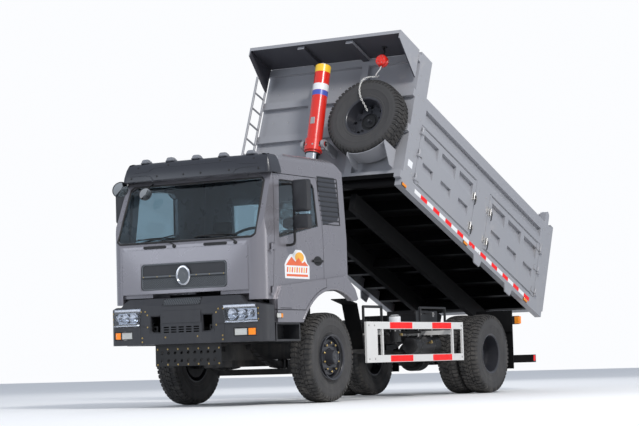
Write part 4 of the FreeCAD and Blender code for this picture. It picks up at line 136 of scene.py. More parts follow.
def fill(tree, node, inputs):
    """Set a node's inputs, or link them to other nodes' results."""
    for key, value in inputs.items():
        if isinstance(value, bpy.types.NodeSocket):
            tree.links.new(value, node.inputs[key])
        else:
            node.inputs[key].default_value = value


def add(tree, kind, inputs=None, **settings):
    """Add a node, set its properties and fill its inputs."""
    node = tree.nodes.new(kind)
    for key, value in settings.items():
        setattr(node, key, value)
    fill(tree, node, inputs or {})
    return node


def reckon(tree, operation, *values, **settings):
    """The result of a maths node."""
    return add(tree, "ShaderNodeMath", dict(enumerate(values)), operation=operation, **settings).outputs[0]


def dot(tree, place, direction):
    """How far a place lies along a direction."""
    inputs = {0: place, 1: tuple(direction)}
    return add(tree, "ShaderNodeVectorMath", inputs, operation="DOT_PRODUCT").outputs["Value"]


def object_place(tree):
    return add(tree, "ShaderNodeTexCoord").outputs["Object"]


def noise(tree, place, scale, detail, roughness=0.5):
    inputs = {"Vector": place, "Scale": scale, "Detail": detail, "Roughness": roughness}
    return add(tree, "ShaderNodeTexNoise", inputs).outputs["Fac"]


def waves(tree, scale, axis):
    inputs = {"Vector": object_place(tree), "Scale": scale}
    return add(tree, "ShaderNodeTexWave", inputs, bands_direction=axis).outputs["Fac"]


def share_of(tree, value, low, high, start=0.0, end=1.0):
    """Turn a value between low and high into one between start and end."""
    inputs = {"Value": value, "From Min": low, "From Max": high, "To Min": start, "To Max": end}
    return add(tree, "ShaderNodeMapRange", inputs).outputs[0]


def mixed(tree, share, one, two):
    return add(tree, "ShaderNodeMix", {0: share, 6: one, 7: two}, data_type="RGBA").outputs[2]


def emboss(made, height, strength, distance):
    """Give a finish a relief of its own."""
    tree = made.node_tree
    bump = add(tree, "ShaderNodeBump", {"Height": height, "Strength": strength, "Distance": distance})
    fill(tree, tree.nodes["Principled BSDF"], {"Normal": bump.outputs[0]})


def dust_group():
    """Road dust: thickest low down, in drifts and runs."""
    tree, given, sink = group_with("Road dust", (
        ("Color", "Color", GREY), ("Dust", "Color", (0.42, 0.38, 0.33, 1)), ("Floor", "Float", 0.3),
        ("Top", "Float", 1.6), ("Amount", "Float", 0.5), ("Scale", "Float", 3.0)), [("Color", "Color")])
    place = object_place(tree)
    stretched = add(tree, "ShaderNodeMapping", {"Vector": place, "Scale": (14.0, 14.0, 1.1)}).outputs[0]
    streaks = reckon(tree, "MULTIPLY", noise(tree, place, given["Scale"], 6.0, 0.65),
                     noise(tree, stretched, 1.0, 4.0))
    height = add(tree, "ShaderNodeSeparateXYZ", {0: place}).outputs[2]
    low = reckon(tree, "MAXIMUM", share_of(tree, height, given["Top"], given["Floor"]), 0.12)
    mask = reckon(tree, "MULTIPLY", low, share_of(tree, streaks, 0.16, 0.38))
    amount = reckon(tree, "MULTIPLY", mask, given["Amount"], use_clamp=True)
    fill(tree, sink, {"Color": mixed(tree, amount, given["Color"], given["Dust"])})
    return tree


def grain_group():
    """Fine surface grain with a broad unevenness, for roughness and bump."""
    tree, given, sink = group_with("Surface grain", (
        ("Scale", "Float", 300.0), ("Broad Scale", "Float", 4.0), ("Broad Share", "Float", 0.5),
        ("Roughness", "Float", 0.4), ("Roughness Spread", "Float", 0.1)),
        [("Height", "Float"), ("Roughness", "Float")])
    place = object_place(tree)
    broad = noise(tree, place, given["Broad Scale"], 5.0)
    height = add(tree, "ShaderNodeMix", {0: given["Broad Share"], 2: noise(tree, place, given["Scale"], 3.0),
                                         3: broad}, data_type="FLOAT").outputs[0]
    rough = reckon(tree, "MULTIPLY_ADD", reckon(tree, "SUBTRACT", broad, 0.5), given["Roughness Spread"],
                   given["Roughness"], use_clamp=True)
    fill(tree, sink, {"Height": height, "Roughness": rough})
    return tree


def scuff_group():
    """Thin scratches and chips that show another colour."""
    tree, given, sink = group_with("Scuffs", (
        ("Color", "Color", GREY), ("Under", "Color", (0.3, 0.26, 0.22, 1)), ("Amount", "Float", 0.5),
        ("Scale", "Float", 9.0)), [("Color", "Color")])
    place = object_place(tree)
    chips = reckon(tree, "MULTIPLY", noise(tree, place, given["Scale"], 8.0, 0.72),
                   noise(tree, place, 1.3, 2.0))
    amount = reckon(tree, "MULTIPLY", share_of(tree, chips, 0.335, 0.4), given["Amount"], use_clamp=True)
    fill(tree, sink, {"Color": mixed(tree, amount, given["Color"], given["Under"])})
    return tree


def finish_of(name, colour, rough, spread, dust, metallic=0.0, coat=0.0, dust_top=1.6, grain=300.0, bump=0.02,
              scuffs=0.0, under=(0.30, 0.25, 0.21), transmission=0.0, emission=None, specular=0.5,
              dust_colour=(0.40, 0.37, 0.33), scale=3.0):
    """A painted, moulded or metal finish: roughness and its spread, dust that thins out upward, scuffs."""
    made = bpy.data.materials.new(name)
    made.use_nodes = True
    tree = made.node_tree
    shader = tree.nodes["Principled BSDF"]

    def group(build, inputs):
        return add(tree, "ShaderNodeGroup", inputs, node_tree=group_of(build)).outputs

    shade = (*colour, 1)
    if scuffs:
        shade = group(scuff_group, {"Color": shade, "Under": (*under, 1), "Amount": scuffs})["Color"]
    if dust:
        shade = group(dust_group, {"Color": shade, "Amount": dust, "Top": dust_top, "Scale": scale,
                                   "Dust": (*dust_colour, 1)})["Color"]
    grains = group(grain_group, {"Scale": grain, "Roughness": rough, "Roughness Spread": spread})
    emboss(made, grains["Height"], 1.0, bump * BUMP_DEPTH)
    fill(tree, shader, {"Base Color": shade, "Roughness": grains["Roughness"], "Metallic": metallic,
                        "Coat Weight": coat, "Coat Roughness": 0.22, "Transmission Weight": transmission,
                        "Specular IOR Level": specular, "IOR": 1.45})
    if emission:
        fill(tree, shader, {"Emission Color": (*emission[:3], 1), "Emission Strength": emission[3]})
    made.diffuse_color = (*colour, 1)
    MATERIALS[name] = made
    return made


def paint_shade(made, mask, colour):
    """Paint shade into a finish: dull and dark where a mask is 1."""
    tree = made.node_tree
    shader = tree.nodes["Principled BSDF"]
    source = shader.inputs["Base Color"].links[0].from_socket
    changed = {"Base Color": mixed(tree, mask, source, (*colour, 1))}
    for label in ("Coat Weight", "Specular IOR Level"):
        full = shader.inputs[label].default_value
        changed[label] = share_of(tree, mask, 0.0, 1.0, full, full * 0.15)
    fill(tree, shader, changed)


def bed_finish(name, colour):
    return finish_of(name, colour, 0.36, 0.2, 0.2, coat=0.2, dust_top=3.2, scuffs=0.3,
                     under=(0.42, 0.40, 0.39), scale=1.6)


def canopy_paint_shaded(name, colour):
    """The bed's paint with painted shade: dark on the faces that look down or toward the middle."""
    made = bed_finish(name, colour)
    tree = made.node_tree
    normal = add(tree, "ShaderNodeNewGeometry").outputs["True Normal"]
    across = [add(tree, "ShaderNodeSeparateXYZ", {0: thing}).outputs[0]
              for thing in (object_place(tree), normal)]
    down = reckon(tree, "LESS_THAN", dot(tree, normal, BED_UP), -0.25)
    inward = reckon(tree, "LESS_THAN", reckon(tree, "MULTIPLY", *across), -0.2)
    # Painted shade: faces that look down or toward the middle go dark.
    paint_shade(made, reckon(tree, "MAXIMUM", down, inward), (0.060, 0.060, 0.070))


def bed_paint_shaded_below(name, colour):
    """The bed's outer paint, with painted shade: the floor's underside and cross members near black."""
    made = bed_finish(name, colour)
    tree = made.node_tree
    place = object_place(tree)
    offset = add(tree, "ShaderNodeVectorMath", {0: place, 1: tuple(BED_PIVOT)},
                 operation="SUBTRACT").outputs[0]
    # Painted shadow under the floor, between the sides.
    below = reckon(tree, "LESS_THAN", dot(tree, offset, BED_UP), 0.346)
    width = reckon(tree, "ABSOLUTE", add(tree, "ShaderNodeSeparateXYZ", {0: place}).outputs[0])
    between = reckon(tree, "LESS_THAN", width, 1.0435)
    paint_shade(made, reckon(tree, "MULTIPLY", below, between), (0.004, 0.004, 0.0045))


def tyre_rubber(name, colour, dust):
    """Dull rubber with dust that lies at every height."""
    finish_of(name, colour, 0.78, 0.2, dust, dust_top=5.0, grain=160.0, bump=0.12,
              dust_colour=(0.150, 0.140, 0.128), specular=0.3, scale=7.0)


def cloth(name, colour):
    """Woven seat cloth: two crossed fine waves in relief."""
    made = finish_of(name, colour, 0.92, 0.05, 0.05, grain=420.0, bump=0.06, specular=0.15)
    tree = made.node_tree
    weave = reckon(tree, "MAXIMUM", waves(tree, 160.0, "X"), waves(tree, 160.0, "Z"))
    emboss(made, weave, 0.6, 0.0008)


def fluted_glass(name, colour, flutes, tint=1.0, emission=None):
    """Lamp glass with fine vertical flutes in relief."""
    made = finish_of(name, colour, 0.05, 0.03, 0.0, grain=90.0, bump=0.01, transmission=tint,
                     emission=emission)
    emboss(made, waves(made.node_tree, flutes, "X"), 0.35, 0.002)


def tape_with_painted_glow(name, colour):
    """Retro-reflective tape: a fine honeycomb in relief, with a faint painted glow for its glint."""
    # Painted glow: the tape gives off a little light of its own colour.
    made = finish_of(name, colour, 0.34, 0.1, 0.06, specular=0.2, emission=(*colour, 0.12))
    tree = made.node_tree
    cells = add(tree, "ShaderNodeTexVoronoi", {"Vector": object_place(tree), "Scale": 240.0})
    emboss(made, cells.outputs["Distance"], 0.4, 0.001)


def make_materials(cab, bed, lift):
    """Every finish: name, colour, roughness, its spread, dust, and what differs from the usual."""
    finish_of("cab_paint", cab, 0.28, 0.08, 0.08, metallic=0.45, coat=0.6, dust_top=2.0,
              grain=900.0, bump=0.006, scuffs=0.02, under=(0.25, 0.24, 0.25))
    bed_paint_shaded_below("bed_paint_shaded_below", bed)
    bed_finish("bed_paint_plain", bed)
    canopy_paint_shaded("canopy_paint_shaded", bed)
    finish_of("under_black", (0.006, 0.006, 0.0065), 0.6, 0.2, 0.1, dust_top=1.5, specular=0.15,
              dust_colour=(0.05, 0.045, 0.04))
    finish_of("chassis_black", (0.010, 0.010, 0.011), 0.5, 0.25, 0.25, dust_top=1.5, scuffs=0.1,
              under=(0.06, 0.05, 0.045), dust_colour=(0.08, 0.07, 0.06), specular=0.35)
    finish_of("black_satin", (0.009, 0.009, 0.010), 0.34, 0.15, 0.12, dust_colour=(0.08, 0.07, 0.06))
    finish_of("cast_iron", (0.035, 0.036, 0.038), 0.62, 0.2, 0.5, metallic=0.4, bump=0.25, grain=120.0,
              dust_colour=(0.17, 0.15, 0.13))
    finish_of("plastic_dark", (0.022, 0.023, 0.027), 0.46, 0.12, 0.06, grain=700.0, bump=0.05)
    finish_of("grille_grey", (0.105, 0.115, 0.125), 0.42, 0.12, 0.05, grain=700.0, bump=0.03)
    finish_of("bumper_plastic", (0.030, 0.031, 0.036), 0.40, 0.14, 0.05, grain=700.0, bump=0.05, scuffs=0.06,
              under=(0.12, 0.12, 0.12))
    finish_of("visor_plastic", (0.024, 0.026, 0.034), 0.34, 0.1, 0.03, coat=0.2, grain=700.0)
    finish_of("trim_black", (0.010, 0.010, 0.011), 0.55, 0.12, 0.12, grain=500.0, bump=0.04)
    finish_of("dash_plastic", (0.055, 0.054, 0.056), 0.68, 0.1, 0.06, grain=600.0, bump=0.08)
    finish_of("rim_black", (0.030, 0.031, 0.038), 0.34, 0.15, 0.12, coat=0.2, dust_top=1.3,
              dust_colour=(0.10, 0.09, 0.08))
    tyre_rubber("tyre_side", (0.056, 0.055, 0.056), 0.20)
    tyre_rubber("tyre_tread", (0.034, 0.033, 0.033), 0.50)
    finish_of("rubber", (0.014, 0.014, 0.015), 0.7, 0.15, 0.3, bump=0.08)
    finish_of("window_glass", (0.52, 0.64, 0.68), 0.02, 0.01, 0.04, dust_top=2.3, grain=20.0, bump=0.001,
              transmission=1.0)
    fluted_glass("lamp_clear", (0.95, 0.97, 1.0), 30.0)
    fluted_glass("lamp_amber", (1.0, 0.36, 0.03), 60.0, tint=0.45, emission=(1.0, 0.30, 0.02, 0.25))
    fluted_glass("lamp_red", (0.85, 0.02, 0.01), 60.0, tint=0.4, emission=(0.9, 0.02, 0.01, 0.2))
    fluted_glass("lamp_white", (0.80, 0.80, 0.76), 60.0, tint=0.3)
    fluted_glass("marker_lens", (0.30, 0.31, 0.34), 90.0, tint=0.35)
    finish_of("reflector", (0.82, 0.83, 0.86), 0.12, 0.06, 0.0, metallic=1.0, grain=60.0, bump=0.01)
    # A dimmer copy of the mirror face, for a painted dim reflection in the round front mirrors.
    finish_of("mirror_painted_dim", (0.26, 0.28, 0.30), 0.06, 0.02, 0.03, metallic=1.0, grain=40.0, bump=0.002)
    finish_of("mirror_face", (0.75, 0.78, 0.80), 0.03, 0.02, 0.03, metallic=1.0, grain=40.0, bump=0.002)
    finish_of("chrome", (0.62, 0.63, 0.66), 0.14, 0.08, 0.05, metallic=1.0, grain=200.0)
    finish_of("zinc", (0.48, 0.47, 0.46), 0.38, 0.2, 0.15, metallic=0.9, grain=260.0, bump=0.1)
    finish_of("brass", (0.46, 0.33, 0.12), 0.36, 0.2, 0.2, metallic=0.9, grain=260.0, bump=0.1)
    finish_of("tank_alu", (0.42, 0.43, 0.44), 0.34, 0.15, 0.35, metallic=0.85, dust_top=1.2, scuffs=0.2,
              under=(0.2, 0.2, 0.2))
    finish_of("guard_white", (0.70, 0.69, 0.67), 0.32, 0.12, 0.12, coat=0.3, dust_top=1.0, scuffs=0.15,
              under=(0.45, 0.40, 0.35))
    tape_with_painted_glow("tape_red", (0.86, 0.006, 0.006))
    tape_with_painted_glow("tape_white", (0.72, 0.72, 0.72))
    finish_of("lift_red", lift, 0.24, 0.1, 0.12, coat=0.6, dust_top=4.5, scuffs=0.12,
              under=(0.35, 0.05, 0.03))
    finish_of("lift_yellow", (0.90, 0.56, 0.03), 0.3, 0.1, 0.1, coat=0.4, dust_top=4.5)
    finish_of("label_white", (0.80, 0.81, 0.82), 0.35, 0.1, 0.05, coat=0.3)
    finish_of("label_blue", (0.06, 0.10, 0.45), 0.35, 0.1, 0.05, coat=0.3)
    finish_of("label_gold", (0.85, 0.42, 0.05), 0.35, 0.1, 0.03, coat=0.3)
    finish_of("label_orange", (0.75, 0.13, 0.04), 0.35, 0.1, 0.03, coat=0.3)
    finish_of("dull_white", (0.70, 0.69, 0.66), 0.55, 0.1, 0.1, grain=700.0, bump=0.3)
    cloth("seat_cloth", (0.050, 0.050, 0.058))
    cloth("seat_panel", (0.105, 0.100, 0.105))
    finish_of("floor", (0.88, 0.88, 0.88), 0.8, 0.05, 0.0, grain=12.0, bump=0.01)


# Meshes

def box_points(chamfer):
    """Corners of a box from -1 to 1 whose edges are chamfered, three for each corner."""
    points = []
    for corner in product((-1, 1), repeat=3):
        for kept in range(3):
            points.append([c if axis == kept else c * (1 - chamfer) for axis, c in enumerate(corner)])
    return points


def hull_faces(points):
    mesh = bmesh.new()
    for point in points:
        mesh.verts.new(point)
    bmesh.ops.convex_hull(mesh, input=mesh.verts)
    bmesh.ops.dissolve_limit(mesh, angle_limit=0.01, verts=mesh.verts, edges=mesh.edges)
    mesh.verts.index_update()
    made = [v.co.copy() for v in mesh.verts], [[v.index for v in f.verts] for f in mesh.faces]
    mesh.free()
    return made


CHAMFER_BOX = hull_faces(box_points(0.2))


class Piece:
    """Collects points and faces for one piece of the scene, and says which material each face has."""

    def __init__(self):
        self.points, self.faces, self.marks, self.materials = [], [], [], []

    def add(self, points, faces, material, place=HERE):
        base = len(self.points)
        if material not in self.materials:
            self.materials.append(material)
        mirrored = place.determinant() < 0
        self.points += [place @ Vector(p) for p in points]
        self.faces += [[base + i for i in (reversed(f) if mirrored else f)] for f in faces]
        self.marks += [self.materials.index(material)] * len(faces)
        return self

    def join(self, other, place):
        for index, material in enumerate(other.materials):
            faces = [f for f, mark in zip(other.faces, other.marks) if mark == index]
            used = sorted({i for f in faces for i in f})
            new = {old: i for i, old in enumerate(used)}
            self.add([other.points[i] for i in used], [[new[i] for i in f] for f in faces], material, place)
        return self

    def box(self, low, high, material, place=HERE, chamfer=0.003):
        """A box with chamfered edges."""
        low, high = Vector(low), Vector(high)
        middle, half = (low + high) / 2, (high - low) / 2
        edge = min(chamfer, min(half) * 0.45)
        points = [[m + copysign(h - (0 if abs(c) > 0.9 else edge), c)
                   for m, h, c in zip(middle, half, corner)]
                  for corner in CHAMFER_BOX[0]]
        return self.add(points, CHAMFER_BOX[1], material, place)

    def turn(self, profile, material, place=HERE, sides=48):
        """Turn a profile of (radius, height) about the place's Z axis."""
        rays = circle(0, 0, 1, sides)
        points = [(radius * x, radius * y, height) for x, y in rays for radius, height in profile]
        count, faces = len(profile), []
        for i in range(sides):
            here, there = i * count, (i + 1) % sides * count
            for k in range(count - 1):
                face = [here + k, there + k, there + k + 1, here + k + 1]
                if profile[k][0] < 1e-9:
                    del face[1]
                elif profile[k + 1][0] < 1e-9:
                    del face[3]
                faces.append(face)
        return self.add(points, faces, material, place)

    def loft(self, loops, material, place=HERE):
        """A closed body through loops that have as many points each."""
        rings, count = len(loops), len(loops[0])
        bottom, top = end_faces(rings, count)
        faces = [bottom, *side_faces(rings, count), top]
        return self.add([p for loop in loops for p in loop], faces, material, place)

    def prism(self, outline, low, high, material, place=HERE, chamfer=0.0):
        """Extrude an outline of (x, y) points along the place's Z axis; the outline runs anticlockwise."""
        rings = [(outline, low), (outline, high - chamfer)]
        if chamfer:
            rings.append((inset_outline(outline, chamfer), high))
        return self.loft([[(x, y, z) for x, y in loop] for loop, z in rings], material, place)

    def plate(self, half, tall, radius, low, high, material, place=HERE, chamfer=0.0):
        """A plate with round corners, its middle on the place's Z axis."""
        return self.prism(rounded(-half, half, -tall, tall, radius), low, high, material, place, chamfer)

    def tube(self, path, radius, material, sides=10, closed=False):
        """A round tube along a path of points."""
        path = [Vector(p) for p in path]
        points, count, up = [], len(path), None
        for i, point in enumerate(path):
            before = path[i - 1] if i or closed else point
            after = path[(i + 1) % count] if i < count - 1 or closed else point
            way = (after - before).normalized()
            if up is None:
                up = way.orthogonal().normalized()
            up = (up - way * up.dot(way)).normalized()
            side = way.cross(up)
            points += [point + (up * x + side * y) * radius for x, y in circle(0, 0, 1, sides)]
        faces = side_faces(count, sides, closed)
        return self.add(points, faces if closed else faces + end_faces(count, sides), material)

    def build(self, name, body, slot=None, replaces=()):
        """One object, riding on its body."""
        mesh = bpy.data.meshes.new(name)
        mesh.from_pydata([tuple(p) for p in self.points], [], self.faces)
        mesh.polygons.foreach_set("material_index", self.marks)
        for material in self.materials:
            mesh.materials.append(MATERIALS[material])
        mesh.validate()
        work = bmesh.new()
        work.from_mesh(mesh)
        bmesh.ops.recalc_face_normals(work, faces=work.faces)
        work.to_mesh(mesh)
        work.free()
        mesh.shade_smooth()
        mesh.set_sharp_from_angle(angle=radians(32))
        made = bpy.data.objects.new(name, mesh)
        bpy.context.scene.collection.objects.link(made)
        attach(made, body)
        if replaces:
            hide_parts(*replaces)
        return made


def inset_outline(outline, reach):
    """The outline moved inward by a small reach."""
    made = []
    for a, b, c in zip(outline[-1:] + outline[:-1], outline, outline[1:] + outline[:1]):
        a, b, c = Vector(a), Vector(b), Vector(c)
        one, two = (b - a).normalized(), (c - b).normalized()
        middle = Vector((-one.y - two.y, one.x + two.x))
        length = max(middle.length, 0.3)
        made.append(tuple(b + middle / length * reach * 2 / length))
    return made


def side_faces(rings, count, closed=False):
    """Faces between rings of count points each, from every ring to the next."""
    faces = []
    for ring in range(rings if closed else rings - 1):
        here, there = ring * count, (ring + 1) % rings * count
        for i in range(count):
            j = (i + 1) % count
            faces.append([here + i, here + j, there + j, there + i])
    return faces


def end_faces(rings, count):
    """Faces that close the first and the last ring."""
    return [list(reversed(range(count))), [(rings - 1) * count + i for i in range(count)]]


def rounded(x0, x1, y0, y1, radius, parts=5):
    """A rectangle with round corners, anticlockwise."""
    made = []
    for x, y, start in ((x1 - radius, y0 + radius, -90), (x1 - radius, y1 - radius, 0),
                        (x0 + radius, y1 - radius, 90), (x0 + radius, y0 + radius, 180)):
        for k in range(parts + 1):
            angle = radians(start + 90 * k / parts)
            made.append((x + radius * cos(angle), y + radius * sin(angle)))
    return made


def circle(x, y, radius, sides, start=0.0):
    angles = [2 * pi * k / sides + start for k in range(sides)]
    return [(x + radius * cos(angle), y + radius * sin(angle)) for angle in angles]


def smooth_path(points):
    """A Catmull-Rom curve through a few points, six steps from each to the next."""
    points = [Vector(p) for p in points]
    ends = [points[0] * 2 - points[1]] + points + [points[-1] * 2 - points[-2]]
    made = []
    for i in range(1, len(ends) - 2):
        a, b, c, e = ends[i - 1:i + 3]
        for t in [k / 6 for k in range(6)]:
            made.append(0.5 * (2 * b + (c - a) * t + (2 * a - 5 * b + 4 * c - e) * t * t
                               + (3 * b - a - 3 * c + e) * t * t * t))
    return made + [points[-1]]


def facing(point, direction, up=(0, 0, 1)):
    """A place whose Z axis points along a direction and whose Y axis is as near up as can be."""
    z = Vector(direction).normalized()
    x = Vector(up).cross(z)
    if x.length < 1e-6:
        x = Vector((1, 0, 0))
    x.normalize()
    y = z.cross(x)
    made = Matrix((x, y, z)).transposed().to_4x4()
    made.translation = Vector(point)
    return made


# Repeats, made by Geometry Nodes

def repeat_tree():
    """Repeats a shape: each copy is stepped along and turned further than the one before."""
    tree, given, sink = group_with("Repeat a shape", (
        ("Geometry", "Geometry", None), ("Count", "Int", 2), ("Step", "Vector", NONE),
        ("Turn", "Vector", NONE),
        ("Material", "Material", None)), [("Geometry", "Geometry")], "GeometryNodeTree")
    line = add(tree, "GeometryNodeMeshLine", {"Count": given["Count"], "Offset": given["Step"]})
    index = add(tree, "GeometryNodeInputIndex").outputs[0]
    turn = add(tree, "ShaderNodeVectorMath", {0: given["Turn"], "Scale": index}, operation="SCALE")
    copies = add(tree, "GeometryNodeInstanceOnPoints", {
        "Points": line.outputs[0], "Instance": given["Geometry"], "Rotation": turn.outputs[0]})
    return make_real(tree, copies, given, sink)


def make_real(tree, copies, given, sink):
    """End a tree: its copies become one mesh with the material that was given."""
    real = add(tree, "GeometryNodeRealizeInstances", {0: copies.outputs[0]})
    named = add(tree, "GeometryNodeSetMaterial", {"Geometry": real.outputs[0], "Material": given["Material"]})
    fill(tree, sink, {0: named.outputs[0]})
    return tree


def chain_tree():
    """Lays a chain on a path: links of bent wire, each turned a quarter from the one before."""
    tree, given, sink = group_with("Chain on a path", (
        ("Path", "Geometry", None), ("Pitch", "Float", 0.024), ("Wire", "Float", 0.0034),
        ("Material", "Material", None)), [("Chain", "Geometry")], "GeometryNodeTree")
    size = add(tree, "ShaderNodeCombineXYZ", {
        "X": reckon(tree, "MULTIPLY", given["Pitch"], 0.72),
        "Y": reckon(tree, "MULTIPLY", given["Wire"], 2.6), "Z": 1.0})
    ring = add(tree, "GeometryNodeCurvePrimitiveCircle", {"Resolution": 12, "Radius": 1.0})
    oval = add(tree, "GeometryNodeTransform", {"Geometry": ring.outputs[0], "Scale": size.outputs[0]})
    wire = add(tree, "GeometryNodeCurvePrimitiveCircle", {"Resolution": 6, "Radius": given["Wire"]})
    link = add(tree, "GeometryNodeCurveToMesh", {"Curve": oval.outputs[0], "Profile Curve": wire.outputs[0]})
    path = add(tree, "GeometryNodeMeshToCurve", {"Mesh": given["Path"]})
    spots = add(tree, "GeometryNodeResampleCurve", {"Curve": path.outputs[0], "Length": given["Pitch"]},
                mode="LENGTH")
    way = add(tree, "GeometryNodeInputTangent").outputs[0]
    aim = add(tree, "FunctionNodeAlignRotationToVector", {"Vector": way}, axis="X")
    links = add(tree, "GeometryNodeInstanceOnPoints", {
        "Points": spots.outputs[0], "Instance": link.outputs[0], "Rotation": aim.outputs[0]})
    quarters = reckon(tree, "MULTIPLY", add(tree, "GeometryNodeInputIndex").outputs[0], pi / 2)
    roll = add(tree, "ShaderNodeCombineXYZ", {"X": quarters})
    turned = add(tree, "GeometryNodeRotateInstances", {"Instances": links.outputs[0],
                                                       "Rotation": roll.outputs[0]})
    return make_real(tree, turned, given, sink)


def run_tree(piece, build, shape, values, material, place):
    """Add to a piece what a Geometry Nodes tree makes of a shape, given as its points, edges and faces."""
    tree = group_of(build)
    mesh = bpy.data.meshes.new("one")
    mesh.from_pydata(*shape)
    thing = bpy.data.objects.new("one", mesh)
    bpy.context.scene.collection.objects.link(thing)
    modifier = thing.modifiers.new("Tree", "NODES")
    modifier.node_group = tree
    values = {**values, "Material": MATERIALS[material]}
    for item in tree.interface.items_tree:
        if item.item_type == "SOCKET" and item.in_out == "INPUT" and item.name in values:
            modifier[item.identifier] = values[item.name]
    graph = bpy.context.evaluated_depsgraph_get()
    made = bpy.data.meshes.new_from_object(thing.evaluated_get(graph), depsgraph=graph)
    piece.add([v.co for v in made.vertices], [list(p.vertices) for p in made.polygons], material, place)
    bpy.data.objects.remove(thing)
    bpy.data.meshes.remove(mesh)
    bpy.data.meshes.remove(made)
    return piece


def repeat(piece, one, count, step=NONE, turn=NONE, place=HERE):
    """Add count copies of a one-material shape to a piece, made by the Repeat tree."""
    shape = ([tuple(p) for p in one.points], [], one.faces)
    return run_tree(piece, repeat_tree, shape, {"Count": count, "Step": step, "Turn": turn}, one.materials[0],
                    place)


def lay_chain(piece, route, pitch, wire, material, place):
    """Add a chain along a smooth route to a piece, made by the Chain tree."""
    points = smooth_path(route)
    edges = [(i, i + 1) for i in range(len(points) - 1)]
    return run_tree(piece, chain_tree, ([tuple(p) for p in points], edges, []),
                    {"Pitch": pitch, "Wire": wire}, material, place)


# Where things are, taken from the CAD nodes

def centre_of(node):
    low, high = low_high(node)
    return (low + high) / 2


FRONT = centre_of("tyre_front_left").y
REAR = centre_of("tyres_rear_left").y
SPARE = at(*centre_of("spare_tyre")) @ BED.to_3x3().to_4x4() @ spin(90, "X")


def surface_of(*nodes):
    """A tree for finding where a ray meets these CAD nodes."""
    points, faces = [], []
    for node in nodes:
        base = len(points)
        mesh = NODES[node].data
        points += [v.co.copy() for v in mesh.vertices]
        faces += [[base + i for i in p.vertices] for p in mesh.polygons]
    return BVHTree.FromPolygons(points, faces)


def hit(tree, start, direction, reach=2.0):
    """Where a ray meets the tree's surfaces, or None."""
    return tree.ray_cast(Vector(start), Vector(direction).normalized(), reach)[0]


def seen_ahead(tree, stand_in, start=AHEAD):
    """A function that gives the place seen from ahead at (x, z), moved forward by a lift."""
    def spot(x, z, lift=0.0):
        return (hit(tree, (x, start, z), TO_BACK) or Vector((x, stand_in, z))) - Vector((0, lift, 0))
    return spot


def seen_beside(tree, side, stand_in):
    """A function that gives the place seen from one side at (y, z), y from the front axle, moved outward."""
    def spot(y, z, lift=0.0):
        found = hit(tree, (side * BESIDE, FRONT + y, z), (-side, 0, 0))
        return (found or Vector((side * stand_in, FRONT + y, z))) + Vector((side * lift, 0, 0))
    return spot


def patch(tree, us, vs, ray, lift, material, piece, thickness):
    """A sheet laid on a surface: ray(u, v) gives where to look from and which way."""
    grid = []
    for v in vs:
        for u in us:
            start, direction = ray(u, v)
            point = hit(tree, start, direction)
            if point is None:
                return
            grid.append(point - Vector(direction).normalized() * lift)
    width, height = len(us), len(vs)
    total = width * height
    through = Vector(ray(us[0], vs[0])[1]).normalized() * thickness
    faces = []
    for a in [j * width + i for j in range(height - 1) for i in range(width - 1)]:
        faces.append([a, a + 1, a + width + 1, a + width])
        faces.append([total + a + width, total + a + width + 1, total + a + 1, total + a])
    rim = list(range(width)) + [j * width + width - 1 for j in range(1, height)]
    rim += [total - 2 - i for i in range(width - 1)] + [j * width for j in range(height - 2, 0, -1)]
    faces += [[b, a, total + a, total + b] for a, b in zip(rim, rim[1:] + rim[:1])]
    piece.add(grid + [p + through for p in grid], faces, material)


def steps(start, end, count):
    """Numbers from start to end, evenly spaced."""
    return [start + (end - start) * i / (count - 1) for i in range(count)]


def bolt(material, radius, height):
    """A hexagon head with its washer, standing on the XY plane."""
    head = Piece().prism(circle(0, 0, radius, 6), 0.0015, height, material, chamfer=radius * 0.12)
    return head.turn([(0, 0), (radius * 1.5, 0), (radius * 1.5, 0.0015), (0, 0.0015)], material, sides=14)


def rivet(material, radius, height):
    dome = [(radius, 0), (radius * 0.9, height * 0.6), (radius * 0.5, height), (0, height)]
    return Piece().turn(dome, material, sides=12)


def bolt_row(piece, starts, direction, one, tree, reach=1.0):
    """Bolts standing on a surface, each where a ray from its starting point meets it."""
    for start in starts:
        found = hit(tree, start, direction, reach)
        if found:
            piece.join(one, facing(found, [-c for c in direction]))


# Tyres and wheels

TYRE_RADIUS, TYRE_HALF = 0.525, 0.1375
TREAD_PITCHES = 54
TWIN_OFFSET = 0.155  # from the middle between twin tyres to the middle of one
RIM_HALF = 0.105  # half a rim's width over its flanges


def carcass():
    """Half-open tyre profile about its axle: bead, sidewall with mould lines, shoulder and tread base."""
    side = [(0.2545, 0.104), (0.262, 0.113), (0.285, 0.116), (0.292, 0.1195), (0.300, 0.117), (0.335, 0.1265),
            (0.372, 0.133), (0.376, 0.1355), (0.382, 0.1345), (0.405, 0.1365), (0.425, 0.1365),
            (0.430, 0.1375), (0.436, 0.1365), (0.462, 0.134), (0.482, 0.129), (0.496, 0.120), (0.506, 0.104),
            (0.510, 0.07), (0.511, 0.0)]
    return [(r, -x) for r, x in side] + [(r, x) for r, x in reversed(side[:-1])]


def around(x, angle, radius):
    """A point on the tyre: x along the axle, and an angle and radius round it."""
    return Vector((radius * sin(angle), -radius * cos(angle), x))


def lug(x0, x1, a0, a1, low, high, skew, drop0, drop1):
    """One tread block between two widths and two angles; its foot is wider than its top."""
    middle_x, middle_a = (x0 + x1) / 2, (a0 + a1) / 2
    corners = ((x0, a0, drop0), (x1, a0 + skew, drop1), (x1, a1 + skew, drop1), (x0, a1, drop0))
    loops = []
    for share, level in ((1.0, low), (1.0, high - 0.002), (0.88, high)):
        loops.append([around(middle_x + (x - middle_x) * share, middle_a + (a - middle_a) * share,
                             level if level == low else level - drop) for x, a, drop in corners])
    return Piece().loft(loops, "tyre_tread")


